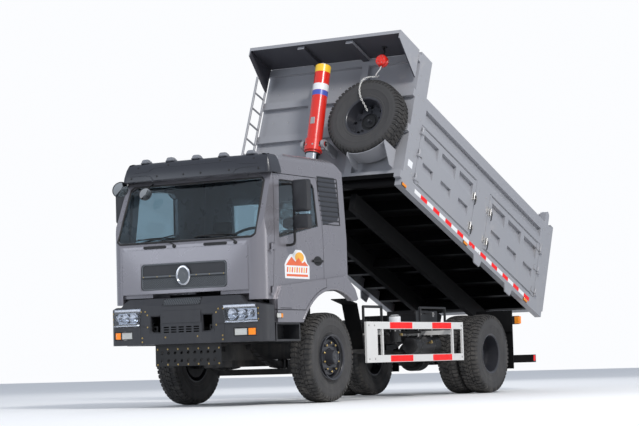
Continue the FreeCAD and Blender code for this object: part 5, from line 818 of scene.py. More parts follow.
def tyre_shape():
    """A tyre about the Z axis: carcass and one ring of each kind of tread block."""
    whole = Piece().turn(carcass(), "tyre_side", sides=96)
    pitch = 2 * pi / TREAD_PITCHES

    def ring(x0, x1, start, share, low, high, skew, drops=(0.0, 0.0)):
        block = lug(x0, x1, start, start + pitch * share, low, high, pitch * skew, *drops)
        repeat(whole, block, TREAD_PITCHES, turn=(0, 0, pitch))

    for side in (-1, 1):
        start = 0 if side < 0 else pitch / 2
        ring(side * 0.066, side * 0.127, start, 0.66, 0.484, TYRE_RADIUS, 0.12, (0.001, 0.012))
        ring(side * 0.124, side * 0.1365, start + pitch * 0.1, 0.52, 0.462, 0.506, 0.03, (0.0, 0.008))
        ring(side * 0.016, side * 0.058, start + pitch * 0.3, 0.75, 0.500, TYRE_RADIUS, -0.34, (0.0, 0.001))
    ring(-0.012, 0.012, 0, 0.8, 0.500, TYRE_RADIUS, 0.4)
    ridge = Piece().box((0.448, -0.0012, 0.1305), (0.468, 0.0012, 0.1352), "tyre_side", chamfer=0.0005)
    for flip in (HERE, Matrix.Diagonal((1, 1, -1, 1))):
        repeat(whole, Piece().join(ridge, flip), TREAD_PITCHES * 2, turn=(0, 0, pitch / 2))
    return whole


def axle_place(x, y, z, side):
    """Z along the axle, out of the truck on that side."""
    return at(x, y, z) @ spin(90 * side, "Y")


def make_tyres():
    """Build the four tyre pieces on the axles and the spare."""
    shape = tyre_shape()
    for word, side in SIDES:
        for node, body, offsets in (("tyre_front_" + word, "wheel_front_" + word, (0,)),
                                    ("tyres_rear_" + word, "wheels_rear_" + word,
                                     (-TWIN_OFFSET, TWIN_OFFSET))):
            middle, tyres = centre_of(node), Piece()
            for offset in offsets:
                tyres.join(shape, axle_place(middle.x + offset, middle.y, middle.z, side))
            tyres.build(node + "_rubber", body, "tyre_rubber", [node])
    Piece().join(shape, SPARE).build("spare_tyre_rubber", "bed", "tyre_rubber", ["spare_tyre"])


def hub_nut(material, radius=0.0165, height=0.026):
    """A wheel nut with its washer, and the stud's end."""
    nut = Piece().prism(circle(0, 0, radius, 6), 0.004, height, material, chamfer=0.002)
    nut.turn([(0, 0), (radius * 1.35, 0), (radius * 1.3, 0.004), (0, 0.004)], material, sides=18)
    return nut.turn([(radius * 0.5, height - 0.002), (radius * 0.5, height + 0.009),
                     (radius * 0.38, height + 0.011), (0, height + 0.011)], material, sides=14)


def make_hubs():
    """Add nuts, hub caps and rim edges to the four wheels and the spare."""
    for word, side in SIDES:
        front_hub(word, side)
        rear_hub(word, side)
    spare = Piece()
    rim_edge(spare, SPARE)
    spare.build("spare_rim_edge", "bed", "rim_dark")


def around_hub(hub, one, radius, count, place, height=0.0):
    """A ring of like pieces about the axle."""
    repeat(hub, Piece().join(one, at(radius, 0, height)), count, turn=(0, 0, 2 * pi / count), place=place)


def rim_face(node, side):
    """The rim's middle, its outermost place along the axle, and a probe from outside at a height above it."""
    low, high = low_high(node)
    middle, face = (low + high) / 2, high.x if side > 0 else low.x
    rim = surface_of(node)

    def reach(height):
        return hit(rim, (face + side * 0.3, middle.y, middle.z + height), (-side, 0, 0)).x
    return middle, face, reach


def front_hub(word, side):
    middle, face, reach = rim_face("rim_front_" + word, side)
    place = axle_place(reach(0.142) + side * 0.030, middle.y, middle.z, side)
    hub = Piece()
    around_hub(hub, hub_nut("rim_black"), 0.1675, 10, place)
    cap = Piece().turn([(0.0125, 0.027), (0.0125, 0.038), (0.010, 0.041), (0, 0.041)], "brass", sides=14)
    around_hub(hub, cap, 0.1675, 10, place)
    hub.turn([(0.098, -0.030), (0.100, -0.006), (0.106, 0.0), (0.140, 0.002), (0.196, 0.002), (0.206, -0.004),
              (0.212, -0.020), (0.214, -0.060), (0.206, -0.062), (0.196, -0.030),
              (0.098, -0.036)], "rim_black", place, sides=72)
    end = axle_place(face, middle.y, middle.z, side)
    hub.turn([(0.070, -0.004), (0.074, 0.000), (0.070, 0.004), (0.052, 0.005), (0.048, -0.002),
              (0.030, -0.004), (0.024, 0.004), (0.0, 0.005)], "rim_black", end)
    around_hub(hub, bolt("rim_black", 0.006, 0.006), 0.0605, 8, end, 0.0045)
    rim_edge(hub, axle_place(*middle, side))
    hub.build("hub_front_" + word, "wheel_front_" + word, "rim_dark")


def rear_hub(word, side):
    middle, _, reach = rim_face("rims_rear_" + word, side)
    hub = Piece()
    around_hub(hub, hub_nut("rim_black"), 0.150, 10, axle_place(reach(0.150), middle.y, middle.z, side))
    end = axle_place(reach(0.0), middle.y, middle.z, side)
    hub.turn([(0.082, -0.010), (0.082, 0.004), (0.078, 0.008), (0.05, 0.008), (0.046, 0.014), (0, 0.014)],
             "rim_black", end, sides=40)
    around_hub(hub, bolt("rim_black", 0.0075, 0.008), 0.064, 10, end, 0.008)
    rim_edge(hub, axle_place(middle.x + side * TWIN_OFFSET, middle.y, middle.z, side))
    hub.build("hub_rear_" + word, "wheels_rear_" + word, "rim_dark")


def rim_edge(piece, place):
    """The rolled flange and lock ring of a rim, seen beside the tyre's bead."""
    profile = [(0.2545, -0.004), (0.262, 0.001), (0.268, 0.006), (0.266, 0.011), (0.258, 0.010),
               (0.250, 0.004), (0.243, -0.004), (0.243, -0.016), (0.2475, -0.018), (0.2545, -0.018)]
    piece.turn([(radius, RIM_HALF + x) for radius, x in profile], "rim_black", place, sides=72)


# Lamps

def lens_with_bowls(piece, tree, side, x0, x1, z0, z1, bowls, lens="lamp_clear"):
    """A lamp in the bumper: glass on its curved face, a housing, bowls with bulbs, and a black seal."""
    def ray(u, v):
        return (side * u, AHEAD, v), TO_BACK
    us, vs = steps(x0, x1, 15), steps(z0, z1, 7)
    patch(tree, us, vs, ray, 0.0, lens, piece, 0.003)
    patch(tree, us, vs, ray, -0.036, "reflector", piece, 0.003)
    loop = [(u, z0) for u in us] + [(x1, v) for v in vs[1:]] + [(u, z1) for u in us[-2::-1]]
    seal = [hit(tree, *ray(u, v)) for u, v in loop + [(x0, v) for v in vs[-2:0:-1]]]
    if None not in seal:
        piece.tube(seal, 0.005, "trim_black", sides=8, closed=True)
    for x, z, radius in bowls:
        place = facing(hit(tree, *ray(x, z)) + Vector((0, 0.005, 0)), TO_FRONT)
        piece.turn([(radius, 0.0), (radius * 0.85, -0.010), (radius * 0.6, -0.020), (radius * 0.3, -0.027),
                    (0.0, -0.029)], "reflector", place, sides=32)
        piece.turn([(radius, 0.0), (radius * 1.05, 0.001), (radius * 1.06, -0.004), (radius, -0.006)],
                   "reflector", place, sides=32)
        piece.turn([(0.010, -0.028), (0.011, -0.012), (0.008, -0.006), (0, -0.004)], "lamp_white", place,
                   sides=16)


def lamp_surround(piece, side):
    """Bright strips above and below a head lamp, under one slanting sheet of glass."""
    tree = surface_of("vehicle_lamps", "front_bumper")

    def ray(u, v):
        return (side * (u - 0.025 * (v - 0.94) / 0.19), AHEAD, v), TO_BACK
    for x0, x1, z0, z1, rows, lift, material, thickness in (
            (0.590, 0.985, 1.101, 1.136, 3, 0.0025, "reflector", 0.002),
            (0.590, 0.985, 0.941, 0.959, 3, 0.0025, "reflector", 0.002),
            (0.583, 0.992, 0.934, 1.143, 9, 0.009, "lamp_clear", 0.003)):
        patch(tree, steps(x0, x1, 17), steps(z0, z1, rows), ray, lift, material, piece, thickness)


def make_lamps():
    """Build the lamps let into the bumper and the tail lamps, for the solid lamp blocks."""
    tree = surface_of("vehicle_lamps")
    lamps = Piece()
    for side in (-1, 1):
        lens_with_bowls(lamps, tree, side, 0.597, 0.978, 0.961, 1.099,
                        [(0.675, 1.030, 0.060), (0.800, 1.032, 0.052), (0.900, 1.036, 0.040)])
        lamp_surround(lamps, side)
        lens_with_bowls(lamps, tree, side, 0.697, 0.860, 0.791, 0.874, [(0.778, 0.832, 0.034)], "lamp_white")
        lens_with_bowls(lamps, tree, side, 0.868, 0.962, 0.791, 0.874, [(0.915, 0.832, 0.030)], "lamp_amber")
        lamps.join(tail_lamp(), HERE if side > 0 else FLIP)
    lamps.build("lamps", "chassis", "lamp_lens", ["vehicle_lamps"])


def tail_lamp():
    """A tail lamp on its bar: amber outside, red inside, with a white marker."""
    lamp = Piece()
    for low, high, material, chamfer in (
            ((0.4703, 2.915, 0.950), (0.860, 2.950, 0.982), "chassis_black", 0.003),
            ((0.856, 2.915, 0.928), (0.988, 2.962, 1.044), "black_satin", 0.008),
            ((0.862, 2.960, 0.934), (0.918, 2.978, 1.038), "lamp_red", 0.006),
            ((0.922, 2.960, 0.990), (0.982, 2.978, 1.038), "lamp_amber", 0.006),
            ((0.922, 2.960, 0.934), (0.982, 2.978, 0.984), "lamp_white", 0.006),
            ((0.984, 2.918, 0.934), (1.000, 2.972, 1.038), "lamp_amber", 0.006),
            ((0.930, 2.903, 0.936), (0.990, 2.917, 1.036), "lamp_amber", 0.006)):
        lamp.box(low, high, material, chamfer=chamfer)
    for z in (0.945, 1.028):
        lamp.join(bolt("zinc", 0.005, 0.004), facing((0.92, 2.963, z), TO_BACK))
    return lamp


# Front of the truck

VISOR_BOW = 0.045  # how far the visor's middle stands ahead of its ends


def lattice(piece, x0, x1, z0, z1, point, pitch, width, material):
    """A diamond mesh between two widths and two heights; point(x, z) gives its place in the model."""
    tall = z1 - z0
    for lean in (-1, 1):
        for i in range(int((x1 - x0 + tall) / pitch) + 1):
            start = x0 + i * pitch - (tall if lean > 0 else 0)
            low = max(0.0, x0 - start if lean > 0 else start - x1)
            high = min(tall, x1 - start if lean > 0 else start - x0)
            if high - low > pitch * 0.3:
                path = [point(start + lean * h, z0 + h) for h in steps(low, high, 3)]
                piece.tube(path, width / 2, material, sides=4)


def make_bumper_trim():
    """Add the bumper's black deck, plate recess, ribs, bolts, mesh and the frames of its tow openings."""
    tree = surface_of("front_bumper")
    front = seen_ahead(tree, -3.96)
    trim = Piece()
    patch(tree, steps(-0.56, 0.56, 25), steps(-3.935, -3.905, 3), lambda u, v: ((u, v, 1.6), DOWN), 0.002,
          "trim_black", trim, 0.004)
    trim.plate(0.27, 0.07, 0.012, 0.0, 0.006, "bumper_plastic", facing(front(0, 1.03), TO_FRONT), 0.002)
    for x in (-0.235, 0.235):
        trim.join(bolt("trim_black", 0.006, 0.005), facing(front(x, 1.03, 0.006), TO_FRONT))
    slat = Piece().box((-0.245, -0.004, -0.003), (0.245, 0.004, 0.003), "trim_black")
    repeat(trim, slat, 4, step=(0, 0, 0.031), place=at(*front(0, 0.851, -0.006)))
    for side in (-1, 1):
        ring = [(side * x, front(side * 0.5, z).y - 0.001, z)
                for x, z in ((0.287, 0.856), (0.398, 0.856), (0.422, 0.882), (0.422, 1.044), (0.287, 1.044))]
        trim.tube(ring, 0.006, "bumper_plastic", sides=8, closed=True)
        spots = ((0.47, 1.06), (0.47, 0.92), (0.55, 0.80), (0.55, 0.755), (0.22, 0.80), (0.50, 1.10),
                 (0.56, 1.10), (0.99, 1.09), (0.99, 1.03), (0.99, 0.97))
        bolt_row(trim, [(side * x, AHEAD, z) for x, z in spots], TO_BACK, bolt("brass", 0.0065, 0.006), tree)
        rib = ((0.44, 0.845), (0.44, 0.905), (0.50, 0.935), (0.58, 0.94))
        trim.tube([front(side * x, z, 0.001) for x, z in rib], 0.004, "bumper_plastic", sides=6)
        trim.tube([front(side * 0.575, z, -0.0015) for z in steps(0.735, 1.14, 9)], 0.003, "trim_black",
                  sides=6)
        trim.tube([front(side * x, 0.935) for x in steps(0.46, 1.0, 14)], 0.005, "bumper_plastic", sides=8)
    trim.build("bumper_trim", "chassis", "bumper_grey")
    mesh = Piece()
    lattice(mesh, -0.25, 0.25, 1.165, 1.235, lambda x, z: front(x, z, 0.004), 0.030, 0.008, "grille_grey")
    edge = ((-0.255, 1.16), (0.0, 1.16), (0.255, 1.16), (0.255, 1.238), (0.0, 1.238), (-0.255, 1.238))
    mesh.tube([front(x, z, 0.004) for x, z in edge], 0.006, "bumper_plastic", sides=6, closed=True)
    mesh.build("bumper_mesh", "chassis", "black_metal")
    plate = Piece()
    low = low_high("guard_plate")[0]
    rows = [(x, AHEAD, z) for z in (0.49, 0.665) for x in steps(-0.42, 0.42, 7)]
    bolt_row(plate, rows, TO_BACK, bolt("brass", 0.007, 0.006), surface_of("guard_plate"))
    dimple = Piece().turn([(0.0205, 0.0), (0.0185, 0.002), (0.0165, 0.0)], "black_satin",
                          facing((-0.36, low.y, low.z + 0.063), TO_FRONT), sides=20)
    for rise in (0, 0.09):
        repeat(plate, dimple, 9, step=(0.09, 0, 0), place=at(0, 0, rise))
    plate.build("guard_plate_bolts", "chassis", "black_metal")


def make_grille():
    """Add the lid insert's frame, rivet bar, mesh and the lid's seams."""
    front = seen_ahead(surface_of("grille", "front_lid", "cab_shell"), -3.93)

    def across(reach, z, count, lift):
        return [front(x, z, lift) for x in steps(-reach, reach, count)]

    grille = Piece()
    bar_z, half = 1.497, 0.575
    grille.tube(across(half, bar_z, 24, 0.006), 0.011, "grille_grey", sides=8)
    grille.tube(across(half, bar_z - 0.016, 24, 0.004), 0.006, "plastic_dark", sides=6)
    for x in (-0.55, -0.36, -0.18, 0.18, 0.36, 0.55):
        grille.join(rivet("brass", 0.0075, 0.005), facing(front(x, bar_z, 0.014), TO_FRONT))
    lattice(grille, -0.57, 0.57, 1.362, 1.476, lambda x, z: front(x, z, 0.003), 0.0230, 0.0062, "grille_grey")
    outline = [(x, 1.352) for x in steps(-0.545, 0.545, 19)] + [(half, z) for z in (1.38, 1.50, 1.61)]
    outline += [(x, 1.637) for x in steps(0.545, -0.545, 19)] + [(-half, z) for z in (1.61, 1.50, 1.38)]
    grille.tube([front(x, z, 0.002) for x, z in outline], 0.009, "grille_grey", sides=8, closed=True)
    boss = facing(front(0, bar_z, 0.010), TO_FRONT) @ Matrix.Diagonal((0.92, 1.1, 1.0, 1.0))
    grille.turn([(0.104, 0.0), (0.106, 0.008), (0.098, 0.016), (0.086, 0.017), (0.078, 0.006)], "chrome",
                boss, sides=64)
    grille.turn([(0.082, 0.006), (0.030, 0.007), (0.026, 0.011), (0.0, 0.012)], "grille_grey", boss, sides=64)
    grille.build("grille_bars", "cab", "dark_plastic")
    seams = Piece()
    runs = [[front(side * 0.868, z, -0.004) for z in steps(1.305, 1.80, 12)] for side in (-1, 1)]
    for run in (*runs, across(0.86, 1.815, 24, -0.004)):
        seams.tube(run, 0.0045, "trim_black", sides=6)
    seams.build("lid_seams", "cab", "dark_plastic")
    lid_skin(surface_of("front_lid"))


def lid_skin(lid):
    """Lay one smooth pressed panel over the lid's flat faces, open around the grille."""
    bottom, tall, corner, wing = 1.306, 0.5, 0.62, 0.235
    low, high, near, far = [hit(lid, (x, AHEAD, z), TO_BACK).y for x, z in
                            ((0, bottom), (0, bottom + tall), (corner, 1.40), (corner + wing, 1.40))]
    blend, lift, thick = 0.005, 0.0012, 0.004

    def panel(x, z):
        middle = low + (high - low) * (z - bottom) / tall
        side = near + (far - near) * (abs(x) - corner) / wing
        top = max(middle, side)
        soft = top + blend * log(exp((middle - top) / blend) + exp((side - top) / blend))
        return Vector((x, soft - blend * log(2) - lift, z))

    us = steps(-0.858, -0.594, 14) + steps(-0.56, 0.56, 21) + steps(0.594, 0.858, 14)
    vs = [1.306, 1.322, 1.338] + steps(1.38, 1.61, 6) + steps(1.650, 1.806, 8)
    width, total = len(us), len(us) * len(vs)
    front = [panel(x, z) for z in vs for x in us]
    faces, edges = [], {}
    for j, i in product(range(len(vs) - 1), range(width - 1)):
        if -0.6 < us[i] and us[i + 1] < 0.6 and vs[j] > 1.33 and vs[j + 1] < 1.66:
            continue
        a = j * width + i
        loop = [a, a + 1, a + width + 1, a + width]
        faces += [loop, [total + k for k in reversed(loop)]]
        edges.update({edge: True for edge in zip(loop, loop[1:] + loop[:1])})
    faces += [[b, a, total + a, total + b] for a, b in edges if (b, a) not in edges]
    back = [p + Vector((0, thick, 0)) for p in front]
    Piece().add(front + back, faces, "cab_paint").build("lid_skin", "cab", "cab_grey")


def make_arch_lips():
    """Add the rolled edge round each front wheel arch, on the cab and on the doors."""
    lips = {"cab": Piece()}
    for word, side in SIDES:
        door = "cab_door_" + word
        lips[door] = Piece()
        for body, node in (("cab", "cab_shell"), (door, "door_" + word)):
            tree = surface_of(node)
            runs = [[]]
            for angle in [radians(12 + 160 * k / 60) for k in range(61)]:
                y, z = FRONT + 0.1015 + 0.850 * cos(angle), 0.477 + 0.850 * sin(angle)
                spot = hit(tree, (side * BESIDE, y, z), (-side, 0, 0), 0.68)
                if spot:
                    runs[-1].append(spot - Vector((side * 0.006, 0, 0)))
                else:
                    runs.append([])
            for run in runs:
                if len(run) > 2:
                    lips[body].tube(run, 0.017, "cab_paint", sides=12)
    for body, piece in lips.items():
        if piece.points:
            piece.build("arch_lips_" + body, body, "cab_grey")


def glass_edge(piece, tree, corners, ray, radius, lift):
    """A rubber seal along a closed outline on the body's surface."""
    path = []
    for one, two in zip(corners, corners[1:] + corners[:1]):
        for share in [k / 12 for k in range(12)]:
            start, direction = ray(one[0] + (two[0] - one[0]) * share, one[1] + (two[1] - one[1]) * share)
            found = hit(tree, start, direction)
            if found:
                path.append(found - Vector(direction) * lift)
    piece.tube(path, radius, "rubber", sides=8, closed=True)


def make_windscreen():
    """Add the windscreen's and the rear window's seals, and wipers with rubber blades and washer covers."""
    shell = surface_of("cab_shell", "front_lid", "cab_glass")
    front = seen_ahead(shell, -3.9)
    seal = Piece()
    low, high = 1.892, 2.572
    corners = [(-0.945, low + 0.03), (-0.90, low), (0.90, low), (0.945, low + 0.03), (0.918, high - 0.03),
               (0.88, high), (-0.88, high), (-0.918, high - 0.03)]
    glass_edge(seal, shell, corners, lambda u, v: ((u, AHEAD, v), TO_BACK), 0.011, 0.003)
    glass_edge(seal, shell, [(-0.565, 1.975), (0.565, 1.975), (0.565, 2.435), (-0.565, 2.435)],
               lambda u, v: ((u, -1.5, v), TO_FRONT), 0.010, 0.002)
    seal.build("window_seals", "cab", "black_metal")
    sweep = Piece()
    for pivot, tip in ((-0.13, -0.70), (0.70, 0.13)):
        base = front(pivot, 1.835)
        sweep.turn([(0.020, 0), (0.021, 0.012), (0.012, 0.020), (0, 0.021)], "trim_black",
                   facing(base, (0, -1, 0.3)), sides=20)
        arm = ((pivot, 1.860), ((pivot + tip) / 2 + 0.1, 1.925), (tip + 0.05, 1.935))
        sweep.tube([base - Vector((0, 0.016, 0))] + [front(x, z, 0.022) for x, z in arm], 0.0065,
                   "trim_black", sides=8)
        blade = [front(x, 1.925 + 0.018 * sin((x - tip) / 0.56 * pi), 0.009)
                 for x in steps(tip, tip + 0.56, 9)]
        sweep.tube(blade, 0.0055, "rubber", sides=6)
        sweep.tube([p - Vector((0, 0.007, 0)) for p in blade[1:-1]], 0.0035, "trim_black", sides=6)
        nose = hit(shell, (pivot - 0.27, AHEAD, 1.836), TO_BACK)
        if nose:
            sweep.plate(0.155, 0.016, 0.0155, 0.0, 0.016, "trim_black", facing(nose, TO_FRONT), 0.006)
    sweep.build("wiper_blades", "cab", "black_metal", ["wipers"])


def visor_path(half, front):
    """The visor's bottom edge seen from above: a slight bow, round corners and straight ends."""
    path = [(half * k / 14, front + VISOR_BOW * (k / 14) ** 2) for k in range(-14, 15)]
    for turn in [radians(90 * k / 7) for k in range(1, 8)]:
        x, y = half + 0.060 * sin(turn), front + VISOR_BOW + 0.060 * (1 - cos(turn))
        path = [(-x, y)] + path + [(x, y)]
    return [(path[0][0], path[0][1] + 0.19)] + path + [(path[-1][0], path[-1][1] + 0.19)]


def make_visor():
    """Build the wrap-round visor above the windscreen, with screws, pressed lines and five marker lamps."""
    low, high = low_high("sun_visor")
    visor = Piece()
    half, front, bottom, top = high.x, low.y, low.z, high.z - 0.052
    path = [Vector(p) for p in visor_path(half, front)]
    section = [(0.010, bottom + 0.004), (0.0, bottom), (-0.006, bottom + 0.012), (0.004, bottom + 0.07),
               (0.030, bottom + 0.15), (0.052, top - 0.030), (0.066, top - 0.010), (0.086, top),
               (0.128, top + 0.004), (0.128, top - 0.006), (0.094, top - 0.012), (0.066, top - 0.040),
               (0.044, bottom + 0.15), (0.018, bottom + 0.07)]
    points = []
    for spot, before, after in zip(path, path[:1] + path, path[1:] + path[-1:]):
        way = (after - before).normalized()
        points += [(spot.x - way.y * depth, spot.y + way.x * depth, z) for depth, z in section]
    first, last = end_faces(len(path), len(section))
    faces = side_faces(len(path), len(section)) + [first[::-1], last[::-1]]
    visor.add(points, faces, "visor_plastic")
    skin = seen_ahead(BVHTree.FromPolygons([Vector(p) for p in points], faces), front, -4.4)

    for side in (-1, 1):
        for x, z in ((0.88, bottom + 0.05), (0.80, top - 0.05), (0.50, bottom + 0.055), (0.36, top - 0.045),
                     (0.12, bottom + 0.05)):
            visor.join(rivet("trim_black", 0.013, 0.005), facing(skin(side * x, z), (0, -1, 0.2)))
        line = ((0.0, top - 0.062), (0.56, top - 0.062), (0.64, top - 0.10), (0.90, top - 0.11))
        upper = [(a[0] + (b[0] - a[0]) * k / 6, a[1] + (b[1] - a[1]) * k / 6)
                 for a, b in zip(line, line[1:]) for k in range(6)]
        lower = ((0.55, bottom + 0.012), (0.59, bottom + 0.055), (0.66, bottom + 0.072),
                 (0.78, bottom + 0.074), (0.90, bottom + 0.074))
        for run in (upper, lower):
            visor.tube([skin(side * x, z, 0.001) for x, z in run], 0.0035, "visor_plastic", sides=6)
    for share in (-0.76, -0.38, 0, 0.38, 0.76):
        x, y = share * half, front + VISOR_BOW * share ** 2 + 0.102
        visor.box((x - 0.052, y - 0.034, top - 0.002), (x + 0.052, y + 0.075, top + 0.014), "visor_plastic",
                  chamfer=0.006)
        lens = hull_faces([(x + a * w, y + b, top + z) for a in (-1, 1) for w, b, z in
                           ((0.046, -0.028, 0.012), (0.046, 0.068, 0.012), (0.042, -0.018, 0.040),
                            (0.030, -0.006, 0.052), (0.026, 0.040, 0.050), (0.038, 0.062, 0.030))])
        visor.add(*lens, "marker_lens")
    visor.build("visor", "cab", "dark_plastic", ["sun_visor"])


# Doors and mirrors

MIRROR_X = 1.235  # from the truck's middle to that of a door mirror


def door_pieces(word, side, badge):
    """Handle, lock, window seal and lower edge of one door, its badge and its mirrors."""
    tree = surface_of("door_" + word, "door_glass_" + word)
    skin = seen_beside(tree, side, 1.03)
    trim = Piece()

    def ray(u, v):
        return (side * BESIDE, FRONT + u, v), (-side, 0, 0)

    window = [(-1.035, 1.905), (-0.955, 2.548), (-0.29, 2.572), (-0.185, 2.50), (-0.155, 2.065)]
    glass_edge(trim, tree, window, ray, 0.009, 0.001)
    place = facing(skin(-0.19, 1.645), (side, 0, 0))
    trim.turn([(0.0, 0.0), (0.058, 0.0), (0.062, 0.002), (0.058, 0.005), (0.050, 0.0045), (0.0, 0.001)],
              "trim_black", place @ Matrix.Diagonal((1.5, 0.9, 1.0, 1.0)), sides=40)
    trim.prism(rounded(-0.130, 0.095, -0.016, 0.014, 0.012), 0.006, 0.024, "trim_black", place, chamfer=0.005)
    trim.turn([(0.011, 0.0), (0.011, 0.006), (0.0, 0.0065)], "chrome",
              facing(skin(-0.12, 1.585), (side, 0, 0)), sides=20)
    trim.tube([skin(y, 1.09, 0.001) for y in (-1.10, -0.98, -0.86)], 0.004, "trim_black", sides=6)
    trim.build("door_trim_" + word, "cab_door_" + word, "dark_plastic")
    if side > 0 and badge:
        door_emblem(hit(tree, *ray(-0.66, 1.595)))
    mirror_tree = surface_of("mirror_" + word)
    mirrors = Piece()
    for z0, z1 in ((2.205, 2.520), (1.995, 2.130)):
        middle, half = (z0 + z1) / 2, (z1 - z0) / 2
        back = hit(mirror_tree, (side * MIRROR_X, -3.0, middle), TO_FRONT)
        place = facing((side * MIRROR_X, back.y, middle), TO_BACK)
        mirrors.plate(0.092, half, 0.020, 0.0, 0.003, "mirror_face", place, 0.001)
        edge = rounded(-0.095, 0.095, -half - 0.003, half + 0.003, 0.022)
        mirrors.tube([place @ Vector((x, y, 0.003)) for x, y in edge], 0.004, "trim_black", sides=6,
                     closed=True)
    mirror_shell(mirrors, side)
    mirrors.build("mirror_faces_" + word, "cab_door_" + word, "dark_plastic", ["mirror_" + word])


def mirror_shell(piece, side):
    """Rounded mirror housings on their tube, with clamps."""
    for z0, z1, deep in ((2.180, 2.545, 0.088), (1.975, 2.150, 0.078)):
        half = (z1 - z0) / 2
        place = facing((side * MIRROR_X, FRONT - 0.830, (z0 + z1) / 2), TO_FRONT)
        loops = []
        for depth, share in ((0.0, 1.0), (deep * 0.55, 0.985), (deep * 0.85, 0.90), (deep, 0.70)):
            reach, tall = 0.106 * share, half - 0.106 * (1 - share)
            loops.append([(x, y, depth) for x, y in rounded(-reach, reach, -tall, tall, 0.030 * share, 6)])
        piece.loft(loops, "plastic_dark", place)
    x, y = side * 1.140, FRONT - 0.875
    arm = ((0.985, 2.503), (1.09, 2.503), (1.130, 2.490), (1.140, 2.460), (1.140, 2.15), (1.140, 1.850),
           (1.130, 1.818), (1.09, 1.805), (0.998, 1.805))
    piece.tube([(side * out, y, z) for out, z in arm], 0.0155, "trim_black", sides=14)
    middle = x + side * 0.02
    for z in (2.46, 2.27, 2.10, 2.02):
        piece.turn([(0.0155, -0.012), (0.022, -0.012), (0.022, 0.012), (0.0155, 0.012)], "trim_black",
                   at(x, y, z), sides=20)
        piece.box((middle - 0.012, y - 0.012, z - 0.009), (middle + 0.012, y + 0.012, z + 0.009),
                  "trim_black")


def door_emblem(spot):
    """A plain badge of a sun over hills, in the colours and at the size of the one in the photograph."""
    badge = Piece()
    wide, tall, layer = 0.275, 0.165, 0.0007

    def laid(outline, level, material):
        place = facing(spot + Vector((level * layer, 0, 0)), (1, 0, 0))
        badge.prism([(x * wide, y * tall) for x, y in outline], 0.0, 0.0006, material, place)

    laid([(-0.98, -1.0), (0.98, -1.0), (1.0, -0.10), (0.82, 0.10), (0.66, 0.62), (0.36, 0.98), (-0.10, 1.0),
          (-0.34, 0.70), (-0.58, 0.66), (-0.88, 0.22), (-1.0, -0.06)], 0, "label_white")
    laid(circle(0.20, 0.48, 0.36, 32), 1, "label_gold")
    laid([(-0.90, -0.10), (0.90, -0.10), (0.62, 0.22), (0.42, 0.08), (0.12, 0.46), (-0.14, 0.16),
          (-0.44, 0.50), (-0.66, 0.24)], 2, "label_orange")
    for k in range(9):
        x = -0.84 + k * 0.19
        laid([(x, -0.58), (x + 0.10, -0.58), (x + 0.13, -0.22), (x + 0.03, -0.22)], 1,
             "label_gold" if k % 2 else "label_orange")
    laid([(-0.86, -0.86), (0.86, -0.86), (0.86, -0.70), (-0.86, -0.70)], 1, "label_orange")
    badge.build("door_emblem", "cab_door_left")


def make_doors(badge):
    """Dress both cab doors and their mirrors."""
    for word, side in SIDES:
        door_pieces(word, side, badge)


def make_front_mirrors():
    """Build the two round mirrors that look down at the front corner on the passenger's side."""
    glass = Piece()
    look = Vector((0.72, -0.50, -0.42)).normalized()
    y = FRONT - 1.30
    for x, z, radius in ((-0.955, 2.545, 0.100), (-0.600, 2.470, 0.080)):
        spot = Vector((x, y - 0.02, z))
        back = facing(spot, look)
        for profile, material in (
                ([(radius * 0.2, -0.045), (radius * 0.62, -0.040), (radius * 0.9, -0.024), (radius, -0.004),
                  (radius * 0.98, 0.0), (radius * 0.92, -0.003), (0.0, -0.001)], "plastic_dark"),
                ([(radius * 0.90, -0.002), (radius * 0.5, 0.004), (0.0, 0.006)], "mirror_painted_dim"),
                ([(radius * 0.2, -0.045), (0.0, -0.046)], "plastic_dark")):
            glass.turn(profile, material, back, sides=40)
        rear = spot - look * 0.044
        end = Vector((x - 0.02, min(y + 0.37, -3.60), 2.600))
        glass.tube(smooth_path([rear, rear + Vector((-0.01, 0.06, 0.04)), end]), 0.008, "trim_black")
    glass.build("front_mirror_faces", "cab", "dark_plastic", ["front_mirrors"])


def make_louvres():
    """Add slats and frames to the side louvres behind the doors, and the cab's side lamps."""
    trim = Piece()
    tree = surface_of("side_louvres", "cab_shell")
    for side in (1, -1):
        skin = seen_beside(tree, side, 1.0)
        for z in steps(2.13, 2.59, 9):
            trim.tube([skin(u, z, 0.004) for u in steps(-0.085, 0.355, 7)], 0.0085, "plastic_dark", sides=6)
        outline = [(u, 2.085) for u in steps(-0.095, 0.362, 6)] + [(0.362, z) for z in steps(2.15, 2.58, 6)]
        outline += [(u, 2.635) for u in steps(0.355, -0.09, 6)] + [(-0.098, z) for z in steps(2.58, 2.15, 6)]
        trim.tube([skin(u, v, 0.001) for u, v in outline], 0.006, "trim_black", sides=6, closed=True)
        lamp, normal = tree.ray_cast(Vector((side * BESIDE, FRONT - 1.13, 1.005)), Vector((-side, 0, 0)))[:2]
        if lamp:
            place = facing(lamp, normal)
            trim.plate(0.066, 0.030, 0.010, -0.002, 0.006, "trim_black", place, 0.002)
            for x0, x1, material in ((-0.060, 0.020, "lamp_white"), (0.022, 0.060, "lamp_amber")):
                trim.prism(rounded(x0, x1, -0.024, 0.024, 0.008), 0.005, 0.016, material, place,
                           chamfer=0.004)
    trim.build("cab_side_trim", "cab", "dark_plastic")


# Chassis

def band(piece, tree, centre, y0, y1, material, reach=0.9):
    """A strap laid round a tank that lies along Y."""
    def ray(angle, y):
        out = Vector((cos(angle), 0, sin(angle)))
        return Vector((centre[0], y, centre[1])) + out * reach, -out
    patch(tree, steps(0, 2 * pi, 49), [y0, y1], ray, 0.0015, material, piece, 0.003)


